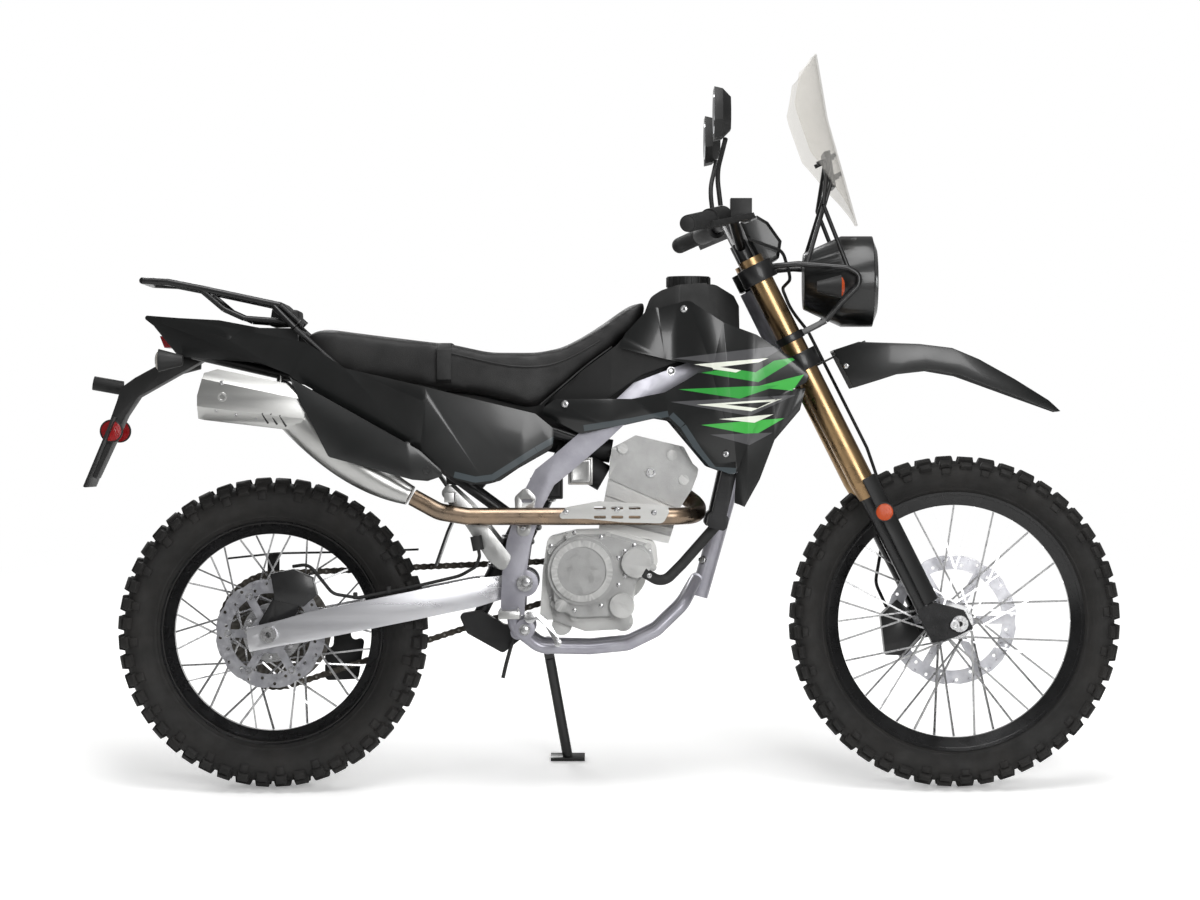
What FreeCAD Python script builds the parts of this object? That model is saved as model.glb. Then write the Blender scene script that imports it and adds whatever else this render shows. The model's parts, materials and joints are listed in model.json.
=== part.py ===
import FreeCAD
import Part
import json
import math
import os
from FreeCAD import Placement, Rotation, Vector

# Dual sport motorcycle, in millimetres. +X forward, +Y left, +Z up. It is modelled upright with the
# rear tyre on the ground at X = 0, then leaned to the left onto its side stand.

# Driving dimensions
LEAN_DEG = 10.0
REAR_TYRE_RADIUS = 327.0
FRONT_TYRE_RADIUS = 350.0
PIVOT_CLEARANCE = 207.0
PIVOT_RISE = 107.0
FRAME_REACH = 514.0
FORK_LENGTH = 738.3
RAKE_DEG = 26.7
AXLE_LEAD = 68.0
LEG_LEAD = 20.0
LEG_SPACING = 210.0
HEAD_TUBE_LENGTH = 160.0
BAR_WIDTH = 816.0

# Clearances
RUN_GAP = 0.3
SEAT_GAP = 0.3
CUT_OVERRUN = 2.0

# Tyres, rims and spokes
FRONT_TYRE_WIDTH = 84.0
REAR_TYRE_WIDTH = 120.0
FRONT_SECTION_HEIGHT = 82.0
REAR_SECTION_HEIGHT = 97.0
FRONT_RIM_WIDTH = 46.0
REAR_RIM_WIDTH = 70.0
RIM_DEPTH = 22.0
RIM_WALL = 6.0
TYRE_WALL = 9.0
SPOKE_COUNT = 36
SPOKE_SIZE = 3.6
SPOKE_LAYER_GAP = 2.4
SPOKE_SEAT = 1.0
SPOKE_HUB_SEAT = 2.6
FLANGE_THICKNESS = 6.0
FRONT_FLANGE_RADIUS = 37.0
FRONT_FLANGE_Y = 32.0
FRONT_BARREL_RADIUS = 24.0
REAR_FLANGE_RADIUS = 62.0
REAR_FLANGE_Y = 34.0
REAR_BARREL_RADIUS = 44.0
FRONT_HUB_HALF = 48.0
REAR_HUB_HALF = 66.0
FRONT_END_RADIUS = 22.0
REAR_END_RADIUS = 30.0
LACING_SHARE = 0.9

# Axles
FRONT_AXLE_RADIUS = 10.0
REAR_AXLE_RADIUS = 11.0
AXLE_BORE_RADIUS = 5.5
AXLE_NUT_RADIUS = 17.0
AXLE_NUT_THICKNESS = 10.0

# Brake discs and sprockets
FRONT_DISC_RADIUS = 138.0
FRONT_DISC_Y = 56.0
REAR_DISC_RADIUS = 115.0
REAR_DISC_Y = 74.0
DISC_THICKNESS = 4.5
DISC_BAND = 30.0
DISC_WAVE = 3.0
DISC_WAVES = 12
DISC_SPIDERS = 6
DISC_ARM_WIDTH = 17.0
DISC_EYE = 14.0
DISC_SEAT = 4.0
DISC_HOLES = 24
DISC_HOLE_RADIUS = 3.5
DISC_HOLE_SHARES = (0.32, 0.68)
CHAIN_PITCH = 15.875
REAR_TEETH = 48
FRONT_TEETH = 14
SPROCKET_THICKNESS = 6.5
SPROCKET_Y = 76.0
SPROCKET_AHEAD = 84.0
SPROCKET_RISE = 6.0
ROLLER_RADIUS = 5.1
CHAIN_PLATE_HEIGHT = 15.0
CHAIN_WIDTH = 19.0

# Fork
TUBE_RADIUS = 26.0
TUBE_LOW = 356.0
COLLAR_LENGTH = 36.0
SLIDER_RADIUS = 20.0
LUG_RADIUS = 21.0
LUG_LENGTH = 64.0
LUG_WIDTH = 40.0
CLAMP_THICKNESS = 38.0
CLAMP_GAP = 4.0
CLAMP_WALL = 12.0
TUBE_ABOVE_CLAMP = 16.0
HEAD_RADIUS = 27.0
HEAD_BORE_RADIUS = 18.0
STEM_RADIUS = 14.0
BEARING_LENGTH = 14.0

# Handlebar
BAR_RADIUS = 11.0
BAR_ABOVE_CLAMP = 48.0
BAR_AHEAD_OF_STEM = 17.0
BAR_RISE = 62.0
BAR_END_DROP = 34.0
BAR_SWEEP = 96.0
BAR_BEND_RADIUS = 60.0
BAR_STRAIGHT_SHARE = 0.15
BAR_TOP_SHARE = 0.44
RISER_Y = 46.0
RISER_RADIUS = 16.0
GRIP_RADIUS = 17.0
GRIP_LENGTH = 122.0
SWITCH_RADIUS = 21.0
SWITCH_LENGTH = 52.0

# Frame
SPAR_DEPTH = 50.0
SPAR_WIDTH = 26.0
PLATE_INNER_Y = 90.0
DOWN_TUBE_RADIUS = 19.0
CRADLE_RADIUS = 12.5
CRADLE_BEND = 45.0
PIVOT_BOSS_RADIUS = 28.0
PIVOT_BOLT_RADIUS = 9.0
CROSS_TUBE_RADIUS = 15.0
RAIL_RADIUS = 11.0

# Swingarm
ARM_HEIGHT = 60.0
ARM_WIDTH = 27.0
ARM_REAR_Y = 107.0
ARM_FRONT_Y = 71.0
PIVOT_HALF = 86.0
PIVOT_TUBE_RADIUS = 24.0

# Side stand
STAND_AHEAD = 44.0
STAND_DROP = 142.0
STAND_Y = 128.0
STAND_SPLAY_DEG = 22.0
STAND_FORWARD_DEG = 9.0
STAND_TUBE_RADIUS = 11.0
STAND_EYE_RADIUS = 15.0
STAND_EYE_WIDTH = 12.0
STAND_PIN_RADIUS = 6.0
STAND_EAR = 7.0
STAND_EAR_GAP = 1.0
STAND_FOOT_LENGTH = 74.0
STAND_FOOT_WIDTH = 46.0
STAND_FOOT_THICKNESS = 7.0

SKIN = 5.0

# Bends
BEND_ROOM_SHARE = 0.45
PLAN_ROUNDING_SHARE = 2.0
FLAT = 0.5

# Derived places
PIVOT_X = REAR_TYRE_RADIUS + PIVOT_CLEARANCE
PIVOT_Z = REAR_TYRE_RADIUS + PIVOT_RISE
FRONT_BEAD_RADIUS = FRONT_TYRE_RADIUS - FRONT_SECTION_HEIGHT
REAR_BEAD_RADIUS = REAR_TYRE_RADIUS - REAR_SECTION_HEIGHT
RAKE = math.radians(RAKE_DEG)
UP_X, UP_Z = -math.sin(RAKE), math.cos(RAKE)
HEAD_X = PIVOT_X + FRAME_REACH
HEAD_T = FORK_LENGTH
HEAD_Z = FRONT_TYRE_RADIUS + HEAD_T * UP_Z + AXLE_LEAD * UP_X
FRAME_RISE = HEAD_Z - PIVOT_Z
WHEELBASE = HEAD_X - HEAD_T * UP_X + AXLE_LEAD * UP_Z
HEAD_LOW_T = HEAD_T - HEAD_TUBE_LENGTH / 2
HEAD_HIGH_T = HEAD_T + HEAD_TUBE_LENGTH / 2
LOW_CLAMP_T = HEAD_LOW_T - CLAMP_GAP - CLAMP_THICKNESS
HIGH_CLAMP_T = HEAD_HIGH_T + CLAMP_GAP
TUBE_HIGH = HIGH_CLAMP_T + CLAMP_THICKNESS + TUBE_ABOVE_CLAMP
LEG_Y = LEG_SPACING / 2
LEG_S = LEG_LEAD - AXLE_LEAD
STEM_S = -AXLE_LEAD
BAR_T = HIGH_CLAMP_T + CLAMP_THICKNESS + BAR_ABOVE_CLAMP
BAR_S = STEM_S + BAR_AHEAD_OF_STEM
REAR_PITCH_RADIUS = CHAIN_PITCH / 2 / math.sin(math.pi / REAR_TEETH)
FRONT_PITCH_RADIUS = CHAIN_PITCH / 2 / math.sin(math.pi / FRONT_TEETH)
SPROCKET_X = PIVOT_X + SPROCKET_AHEAD
SPROCKET_Z = PIVOT_Z + SPROCKET_RISE
ARM_ANGLE = math.atan2(PIVOT_RISE, PIVOT_X)
ARM_LENGTH = math.hypot(PIVOT_X, PIVOT_RISE)
Y_AXIS = Vector(0, 1, 0)


def grid(share_x, share_z):
    """Place in side view, as shares of the span from the swingarm pivot to the steering head."""
    return PIVOT_X + share_x * FRAME_REACH, PIVOT_Z + share_z * FRAME_RISE


def grid_line(shares):
    return [grid(a, b) for a, b in shares]


def fork_xz(t, s):
    """Place in side view, t up the fork from the front axle and s ahead of it."""
    return WHEELBASE + t * UP_X + s * UP_Z, FRONT_TYRE_RADIUS + t * UP_Z - s * UP_X


def fork_point(t, s, y):
    x, z = fork_xz(t, s)
    return Vector(x, y, z)


def arm_xz(t, n):
    """Place in side view, t from the rear axle towards the pivot and n above that line."""
    return (t * math.cos(ARM_ANGLE) - n * math.sin(ARM_ANGLE),
            REAR_TYRE_RADIUS + t * math.sin(ARM_ANGLE) + n * math.cos(ARM_ANGLE))


def face(points):
    return Part.Face(Part.makePolygon(points + points[:1]))


def side_slab(points, y_low, y_high):
    """A side view outline, cut through from y_low to y_high."""
    return face([Vector(x, y_low, z) for x, z in points]).extrude(Vector(0, y_high - y_low, 0))


def plan_slab(points, z_low, z_high):
    """A top view outline, cut through from z_low to z_high."""
    return face([Vector(x, y, z_low) for x, y in points]).extrude(Vector(0, 0, z_high - z_low))


def front_slab(points, x_low, x_high):
    """A front view outline, cut through from x_low to x_high."""
    return face([Vector(x_low, y, z) for y, z in points]).extrude(Vector(x_high - x_low, 0, 0))


def ribbon(centres, half):
    """The outline of a band that follows a line of points, half wide to each side."""
    left, right = [], []
    for i, (x, z) in enumerate(centres):
        before = centres[max(i - 1, 0)]
        after = centres[min(i + 1, len(centres) - 1)]
        into = math.atan2(z - before[1], x - before[0]) if i else None
        out = math.atan2(after[1] - z, after[0] - x) if i < len(centres) - 1 else None
        into = out if into is None else into
        out = into if out is None else out
        turn = (out - into + math.pi) % (2 * math.pi) - math.pi
        middle = into + turn / 2
        reach = half / math.cos(turn / 2)
        left.append((x - reach * math.sin(middle), z + reach * math.cos(middle)))
        right.append((x + reach * math.sin(middle), z - reach * math.cos(middle)))
    return left + right[::-1]


def flipped(shape):
    return shape.mirror(Vector(0, 0, 0), Y_AXIS)


def both_sides(shape):
    return [shape, flipped(shape)]


def joined(shapes):
    whole = shapes[0]
    for shape in shapes[1:]:
        whole = whole.fuse(shape)
    return whole.removeSplitter()


def rod(start, end, radius):
    return Part.makeCylinder(radius, (end - start).Length, start, end - start)


def post(start, end, radius, carrier):
    """A round mounting post, cut back to the surface of what carries it."""
    return rod(start, end, radius).cut(carrier)


def bar(start, end, width, height):
    """A square bar between two points."""
    length = (end - start).Length
    box = Part.makeBox(width, height, length, Vector(-width / 2, -height / 2, 0))
    box.Placement = Placement(start, Rotation(Vector(0, 0, 1), end - start))
    return box


def corner_arc(before, corner, after, bend_radius):
    """Start, middle and end of the tangent arc that rounds a corner."""
    into = (corner - before).normalize()
    out = (after - corner).normalize()
    turn = into.getAngle(out)
    room = min((corner - before).Length, (after - corner).Length) * BEND_ROOM_SHARE
    reach = min(bend_radius * math.tan(turn / 2), room)
    radius = reach / math.tan(turn / 2)
    inward = (out - into).normalize()
    middle = corner + inward * (radius / math.cos(turn / 2) - radius)
    return corner - into * reach, middle, corner + out * reach


def bent_line(points, bend_radius):
    """Straight runs joined by tangent arcs."""
    edges, at = [], points[0]
    for before, corner, after in zip(points, points[1:], points[2:]):
        first, middle, last = corner_arc(before, corner, after, bend_radius)
        edges.append(Part.LineSegment(at, first).toShape())
        edges.append(Part.Arc(first, middle, last).toShape())
        at = last
    edges.append(Part.LineSegment(at, points[-1]).toShape())
    return Part.Wire(edges)


def round_face(points, bend_radius):
    """A flat face whose corners are rounded by tangent arcs."""
    arcs = [corner_arc(before, corner, after, bend_radius)
            for before, corner, after in zip(points[-1:] + points, points, points[1:] + points[:1])]
    edges = []
    for (first, middle, last), (following, _, _) in zip(arcs, arcs[1:] + arcs[:1]):
        edges.append(Part.Arc(first, middle, last).toShape())
        edges.append(Part.LineSegment(last, following).toShape())
    return Part.Face(Part.Wire(edges))


def round_slab(points, y_low, y_high, bend_radius):
    """A side view outline with rounded corners, cut through from y_low to y_high."""
    outline = round_face([Vector(x, y_low, z) for x, z in points], bend_radius)
    return outline.extrude(Vector(0, y_high - y_low, 0))


def tube(points, radius, bend_radius):
    """A round tube along straight runs and tangent arcs."""
    path = bent_line(points, bend_radius)
    circle = Part.Wire(Part.makeCircle(radius, points[0], points[1] - points[0]))
    return path.makePipeShell([circle], True, False)


def slot(x, z, length, width, y_low, y_high):
    """A long hole with rounded ends, cut from y_low to y_high and a little beyond."""
    corners = [(x - length / 2, z - width / 2), (x + length / 2, z - width / 2),
               (x + length / 2, z + width / 2), (x - length / 2, z + width / 2)]
    return round_slab(corners, y_low - CUT_OVERRUN, y_high + CUT_OVERRUN, width / 2)


def counterclockwise(points):
    area = sum(a[0] * b[1] - b[0] * a[1] for a, b in zip(points, points[1:] + points[:1]))
    return points if area > 0 else points[::-1]


def ring(profile, centre):
    """A closed outline of (radius, y) points turned about the wheel's axle."""
    outline = face([Vector(r, y, 0) for r, y in counterclockwise(profile)])
    return outline.revolve(Vector(0, 0, 0), Y_AXIS, 360).translate(centre)


def drum(radius, y_low, y_high, x, z):
    return Part.makeCylinder(radius, y_high - y_low, Vector(x, y_low, z), Y_AXIS)


FRONT_CENTRE = Vector(WHEELBASE, 0, FRONT_TYRE_RADIUS)
REAR_CENTRE = Vector(0, 0, REAR_TYRE_RADIUS)

TREAD_CELLS = 48
TREAD_CENTRE_HALF = 13.0
TREAD_HEIGHT = 9.0
TREAD_LEAN = 5.5
TYRE_OUTER_SHARES = [(0.55, 1.0), (0.82, 0.90), (0.94, 0.66)]
TYRE_INNER_SHARE = (0.52, 0.72)


def tyre(radius, width, bead_radius, rim_width, centre):
    """A casing of flat cells with a middle row and two shoulder rows of raised tread blocks.

    The outline in (radius, y) goes round the casing once. A block stands on every second cell of its
    row, and the middle row is one cell out of step with the shoulders.
    """
    base = radius - TREAD_HEIGHT
    height = base - bead_radius
    bead_y = rim_width / 2 - RIM_WALL / 2 - SEAT_GAP
    half = [(bead_radius, bead_y), (bead_radius + RIM_WALL + SEAT_GAP, bead_y)]
    half += [(bead_radius + a * height, b * width / 2) for a, b in TYRE_OUTER_SHARES]
    half.append((base, TREAD_CENTRE_HALF))
    up, out = TYRE_INNER_SHARE
    inner = [(bead_radius, TYRE_WALL - bead_y), (bead_radius + up * height, TYRE_WALL - out * width / 2),
             (base - TYRE_WALL, 0)]
    line = half + [(r, -y) for r, y in half[::-1]] + inner + [(r, -y) for r, y in inner[-2::-1]]
    middle = len(half) - 1
    raised = {middle - 1: 0, middle: 1, middle + 1: 0}

    def corners(low, high, step):
        turns = [2 * math.pi * count / TREAD_CELLS for count in (step, step + 1)]
        places = [(low, turns[0]), (high, turns[0]), (high, turns[1]), (low, turns[1])]
        return [Vector(r * math.cos(turn), y, r * math.sin(turn)) for (r, y), turn in places]

    faces = []
    for step in range(TREAD_CELLS):
        for i, low in enumerate(line):
            high = line[(i + 1) % len(line)]
            foot = corners(low, high, step)
            if raised.get(i) != step % 2:
                faces.append(face(foot))
                continue
            if i == middle:
                tops = [(r + TREAD_HEIGHT, y) for r, y in (low, high)]
            else:
                tops = [(r + TREAD_LEAN, y + math.copysign(TREAD_LEAN, y)) for r, y in (low, high)]
            top = corners(*tops, step)
            faces.append(face(top))
            faces += [face([foot[k - 1], foot[k], top[k], top[k - 1]]) for k in range(len(foot))]
    shell = Part.Shell(faces)
    shell.sewShape()
    return Part.Solid(shell).translate(centre)


def rim(bead_radius, width, centre):
    """A drop centre rim with a bead wall each side."""
    seat = bead_radius - SEAT_GAP
    floor = seat - RIM_DEPTH
    half = width / 2
    return ring([(seat + RIM_WALL, half), (seat + RIM_WALL, half - RIM_WALL / 2), (seat, half - RIM_WALL / 2),
                 (floor + RIM_WALL, half / 3), (floor + RIM_WALL, -half / 3),
                 (seat, RIM_WALL / 2 - half), (seat + RIM_WALL, RIM_WALL / 2 - half),
                 (seat + RIM_WALL, -half), (floor, -half / 3), (floor, half / 3)], centre)


def hub(half, flange_y, flange_radius, barrel_radius, end_radius, axle_radius, centre):
    bore = axle_radius + RUN_GAP
    inner = flange_y - FLANGE_THICKNESS
    right = [(bore, half), (end_radius, half), (end_radius, flange_y), (flange_radius, flange_y),
             (flange_radius, inner), (barrel_radius, inner)]
    return ring(right + [(r, -y) for r, y in right[::-1]], centre)


def spokes(rim_radius, flange_radius, flange_y, centre):
    """Spokes laced from both flanges, leading and trailing in turn."""
    solids = []
    for i in range(SPOKE_COUNT):
        side = 1 if i % 2 else -1
        lead = 1 if i % 4 < 2 else -1
        at_rim = 2 * math.pi * i / SPOKE_COUNT
        at_hub = at_rim + lead * LACING_SHARE
        y_hub = side * (flange_y - FLANGE_THICKNESS / 2 + lead * SPOKE_LAYER_GAP)
        y_rim = side * (SPOKE_SIZE + SPOKE_LAYER_GAP)
        start_radius = flange_radius + SPOKE_HUB_SEAT
        start = Vector(start_radius * math.cos(at_hub), y_hub, start_radius * math.sin(at_hub))
        end_radius = rim_radius - SPOKE_SEAT
        end = Vector(end_radius * math.cos(at_rim), y_rim, end_radius * math.sin(at_rim))
        solids.append(bar(start, end, SPOKE_SIZE, SPOKE_SIZE).translate(centre))
    return Part.makeCompound(solids)


def brake_disc(radius, y_middle, hub_radius, hub_half, centre):
    """A wavy disc band on a carrier with spider arms, its seat against the hub's end."""
    half = DISC_THICKNESS / 2
    count = DISC_WAVES * 4
    edge = []
    for i in range(count):
        angle = 2 * math.pi * i / count
        reach = radius - DISC_WAVE * (i % 4 == 0)
        edge.append(Vector(reach * math.cos(angle), y_middle - half, reach * math.sin(angle)))
    band = face(edge).extrude(Vector(0, DISC_THICKNESS, 0))
    low, high = hub_half - CUT_OVERRUN, y_middle + half + CUT_OVERRUN
    band = band.cut(drum(radius - DISC_BAND, low, high, 0, 0))
    carrier = drum(hub_radius + DISC_ARM_WIDTH, y_middle - half, y_middle + half, 0, 0)
    pieces = [band, carrier]
    for i in range(DISC_SPIDERS):
        angle = 2 * math.pi * i / DISC_SPIDERS
        reach = radius - DISC_BAND / 2
        end = Vector(reach * math.cos(angle), y_middle, reach * math.sin(angle))
        pieces.append(bar(Vector(0, y_middle, 0), end, DISC_ARM_WIDTH, DISC_THICKNESS))
    pieces.append(drum(hub_radius + CLAMP_WALL, hub_half, y_middle, 0, 0))
    disc = joined(pieces).cut(drum(hub_radius + SEAT_GAP - DISC_SEAT, low, high, 0, 0))
    holes = []
    for i in range(DISC_HOLES):
        angle = 2 * math.pi * (i + DISC_HOLE_SHARES[0]) / DISC_HOLES
        reach = radius - DISC_BAND * DISC_HOLE_SHARES[i % len(DISC_HOLE_SHARES)]
        holes.append(drum(DISC_HOLE_RADIUS, low, high, reach * math.cos(angle), reach * math.sin(angle)))
    return disc.cut(Part.makeCompound(holes)).translate(centre)


def axle(radius, y_low, y_high, nut_low, nut_high, x, z):
    """A hollow axle with its end nuts outside what it clamps."""
    whole = joined([drum(radius, y_low, y_high, x, z),
                    drum(AXLE_NUT_RADIUS, nut_high, nut_high + AXLE_NUT_THICKNESS, x, z),
                    drum(AXLE_NUT_RADIUS, nut_low - AXLE_NUT_THICKNESS, nut_low, x, z)])
    reach = AXLE_NUT_THICKNESS + CUT_OVERRUN
    return whole.cut(drum(AXLE_BORE_RADIUS, nut_low - reach, nut_high + reach, x, z))


# Wheels

def front_wheel():
    c = FRONT_CENTRE
    rim_inner = FRONT_BEAD_RADIUS - SEAT_GAP - RIM_DEPTH
    return {
        "front_tyre": tyre(FRONT_TYRE_RADIUS, FRONT_TYRE_WIDTH, FRONT_BEAD_RADIUS, FRONT_RIM_WIDTH, c),
        "front_rim": rim(FRONT_BEAD_RADIUS, FRONT_RIM_WIDTH, c),
        "front_spokes": spokes(rim_inner, FRONT_FLANGE_RADIUS, FRONT_FLANGE_Y, c),
        "front_hub": hub(FRONT_HUB_HALF, FRONT_FLANGE_Y, FRONT_FLANGE_RADIUS, FRONT_BARREL_RADIUS,
                         FRONT_END_RADIUS, FRONT_AXLE_RADIUS, c),
        "front_disc": brake_disc(FRONT_DISC_RADIUS, FRONT_DISC_Y, FRONT_AXLE_RADIUS + DISC_EYE,
                                 FRONT_HUB_HALF, c),
    }


def sprocket(teeth, pitch_radius, x, z, bore):
    """A plain toothed wheel, its root a roller's radius inside the pitch circle."""
    root = pitch_radius - ROLLER_RADIUS
    low, high = SPROCKET_Y - SPROCKET_THICKNESS / 2, SPROCKET_Y + SPROCKET_THICKNESS / 2
    return drum(root, low, high, x, z).cut(drum(bore, low - CUT_OVERRUN, high + CUT_OVERRUN, x, z))


def rear_sprocket():
    """The driven wheel with the shouldered seat that meets the hub."""
    plate = sprocket(REAR_TEETH, REAR_PITCH_RADIUS, 0, REAR_TYRE_RADIUS, REAR_END_RADIUS)
    seat = drum(REAR_END_RADIUS + CLAMP_WALL, REAR_HUB_HALF, SPROCKET_Y, 0, REAR_TYRE_RADIUS)
    return plate.fuse(seat.cut(drum(REAR_END_RADIUS - SEAT_GAP, 0, FRAME_REACH, 0, REAR_TYRE_RADIUS)))


def rear_wheel():
    c = REAR_CENTRE
    rim_inner = REAR_BEAD_RADIUS - SEAT_GAP - RIM_DEPTH
    disc = flipped(brake_disc(REAR_DISC_RADIUS, REAR_DISC_Y, REAR_AXLE_RADIUS + DISC_EYE, REAR_HUB_HALF, c))
    return {
        "rear_tyre": tyre(REAR_TYRE_RADIUS, REAR_TYRE_WIDTH, REAR_BEAD_RADIUS, REAR_RIM_WIDTH, c),
        "rear_rim": rim(REAR_BEAD_RADIUS, REAR_RIM_WIDTH, c),
        "rear_spokes": spokes(rim_inner, REAR_FLANGE_RADIUS, REAR_FLANGE_Y, c),
        "rear_hub": hub(REAR_HUB_HALF, REAR_FLANGE_Y, REAR_FLANGE_RADIUS, REAR_BARREL_RADIUS,
                        REAR_END_RADIUS, REAR_AXLE_RADIUS, c),
        "rear_disc": disc,
        "rear_sprocket": rear_sprocket(),
    }


# Fork and steering

def legs(shape):
    return Part.makeCompound(both_sides(shape))


def fork_tubes():
    outer = rod(fork_point(TUBE_LOW, LEG_S, LEG_Y), fork_point(TUBE_HIGH, LEG_S, LEG_Y), TUBE_RADIUS)
    low = fork_point(TUBE_LOW - COLLAR_LENGTH, LEG_S, LEG_Y)
    along = fork_point(TUBE_LOW, LEG_S, LEG_Y) - low
    collar = Part.makeCone(SLIDER_RADIUS + RIM_WALL / 2, TUBE_RADIUS, COLLAR_LENGTH, low, along)
    bore = rod(low - along, fork_point(TUBE_LOW, LEG_S, LEG_Y) + along, SLIDER_RADIUS)
    return legs(outer.fuse(collar).cut(bore))


def fork_sliders():
    """Chrome sliders with an axle lug at the foot of each."""
    top = fork_point(TUBE_LOW + COLLAR_LENGTH, LEG_S, LEG_Y)
    stem = rod(fork_point(LUG_LENGTH / 2, LEG_S, LEG_Y), top, SLIDER_RADIUS)
    side = [fork_xz(LUG_LENGTH, LEG_S - LUG_RADIUS), fork_xz(-LUG_RADIUS / 2, LEG_S - LUG_RADIUS),
            fork_xz(-LUG_RADIUS, -LUG_RADIUS), fork_xz(-LUG_RADIUS, LUG_RADIUS),
            fork_xz(LUG_RADIUS, LUG_RADIUS), fork_xz(LUG_LENGTH, LEG_S + LUG_RADIUS)]
    lug = side_slab(side, LEG_Y - LUG_WIDTH / 2, LEG_Y + LUG_WIDTH / 2)
    eye = drum(FRONT_AXLE_RADIUS + RUN_GAP, LEG_Y - LUG_WIDTH, LEG_Y + LUG_WIDTH,
               WHEELBASE, FRONT_TYRE_RADIUS)
    return legs(lug.fuse(stem).cut(eye))


GUARD_THICKNESS = 4.0
GUARD_STANDOFF = 3.0


def fork_guards():
    """A curved shield in front of each slider, from the axle to above the collar."""
    low = fork_point(LUG_LENGTH + GUARD_STANDOFF, LEG_S, LEG_Y)
    high = fork_point(TUBE_LOW + GUARD_STANDOFF, LEG_S, LEG_Y)
    inner = TUBE_RADIUS + GUARD_STANDOFF
    shell = rod(low, high, inner + GUARD_THICKNESS).cut(rod(low - (high - low), high + (high - low), inner))
    reach = inner + GUARD_THICKNESS + CUT_OVERRUN
    keep = side_slab([fork_xz(0, LEG_S), fork_xz(0, LEG_S + reach), fork_xz(TUBE_HIGH, LEG_S + reach),
                      fork_xz(TUBE_HIGH, LEG_S)], LEG_Y - reach, LEG_Y + reach)
    lug_room = side_slab([fork_xz(-LUG_LENGTH, -reach), fork_xz(-LUG_LENGTH, reach),
                          fork_xz(LUG_LENGTH, reach), fork_xz(LUG_LENGTH, -reach)], 0, LEG_Y + reach)
    pad = side_slab([fork_xz(TUBE_LOW - COLLAR_LENGTH - SLIDER_RADIUS, LEG_S + SLIDER_RADIUS / 2),
                     fork_xz(TUBE_LOW - COLLAR_LENGTH - SLIDER_RADIUS, LEG_S + inner + RUN_GAP),
                     fork_xz(TUBE_LOW - COLLAR_LENGTH - GUARD_STANDOFF, LEG_S + inner + RUN_GAP),
                     fork_xz(TUBE_LOW - COLLAR_LENGTH - GUARD_STANDOFF, LEG_S + SLIDER_RADIUS / 2)],
                    LEG_Y - SLIDER_RADIUS / 2, LEG_Y + SLIDER_RADIUS / 2)
    pad = pad.cut(rod(fork_point(0, LEG_S, LEG_Y), fork_point(TUBE_LOW, LEG_S, LEG_Y),
                      SLIDER_RADIUS + RUN_GAP))
    return legs(shell.common(keep).cut(lug_room).fuse(pad))


def clamp_plate(t_low):
    """One clamp plate with a split eye for each leg and a stem eye."""
    eyes = [rod(fork_point(t_low, LEG_S, y), fork_point(t_low + CLAMP_THICKNESS, LEG_S, y),
                TUBE_RADIUS + CLAMP_WALL) for y in (-LEG_Y, LEG_Y)]
    middle = rod(fork_point(t_low, STEM_S, 0), fork_point(t_low + CLAMP_THICKNESS, STEM_S, 0),
                 STEM_RADIUS + CLAMP_WALL)
    web = side_slab([fork_xz(t_low, LEG_S + CLAMP_WALL), fork_xz(t_low, STEM_S - CLAMP_WALL),
                     fork_xz(t_low + CLAMP_THICKNESS, STEM_S - CLAMP_WALL),
                     fork_xz(t_low + CLAMP_THICKNESS, LEG_S + CLAMP_WALL)], -LEG_Y, LEG_Y)
    plate = joined(eyes + [middle, web])
    for y in (-LEG_Y, LEG_Y):
        plate = plate.cut(rod(fork_point(t_low - CUT_OVERRUN, LEG_S, y),
                              fork_point(t_low + CLAMP_THICKNESS + CUT_OVERRUN, LEG_S, y), TUBE_RADIUS))
    return plate


def triple_clamps():
    stem = rod(fork_point(LOW_CLAMP_T + CUT_OVERRUN, STEM_S, 0), fork_point(HIGH_CLAMP_T, STEM_S, 0),
               STEM_RADIUS)
    bearings = [rod(fork_point(t, STEM_S, 0), fork_point(t + BEARING_LENGTH, STEM_S, 0),
                    HEAD_BORE_RADIUS - RUN_GAP) for t in (HEAD_LOW_T, HEAD_HIGH_T - BEARING_LENGTH)]
    return joined([clamp_plate(LOW_CLAMP_T), stem, clamp_plate(HIGH_CLAMP_T)] + bearings)


def bar_points():
    """Handlebar centre line, from its middle to the left end."""
    half = BAR_WIDTH / 2
    middle = fork_point(BAR_T, BAR_S, 0)
    bend = middle + Vector(0, BAR_STRAIGHT_SHARE * half, 0)
    top = middle + Vector(-BAR_SWEEP / 4, BAR_TOP_SHARE * half, BAR_RISE)
    end = middle + Vector(-BAR_SWEEP - BAR_SWEEP / 4, half, BAR_RISE - BAR_END_DROP)
    return [middle, bend, top, end]


def handlebar():
    middle, bend, top, end = bar_points()
    mirror = [Vector(p.x, -p.y, p.z) for p in (end, top, bend)]
    tube_bar = tube(mirror + [bend, top, end], BAR_RADIUS, BAR_BEND_RADIUS)
    risers = []
    for y in (-RISER_Y, RISER_Y):
        foot = fork_point(HIGH_CLAMP_T + CLAMP_THICKNESS, BAR_S, y)
        risers.append(rod(foot, fork_point(BAR_T + BAR_RADIUS, BAR_S, y), RISER_RADIUS))
    return joined([tube_bar] + risers)


def along_bar(outside, length, radius):
    """A sleeve on the left bar end, its outer end so far in from the bar's tip."""
    middle, bend, top, end = bar_points()
    way = (end - top).normalize()
    start = end - way * outside
    sleeve = rod(start - way * length, start, radius)
    return sleeve.cut(rod(start - way * (length + CUT_OVERRUN), start + way * CUT_OVERRUN, BAR_RADIUS))


def grips():
    return Part.makeCompound(both_sides(along_bar(0, GRIP_LENGTH, GRIP_RADIUS)))


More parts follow.
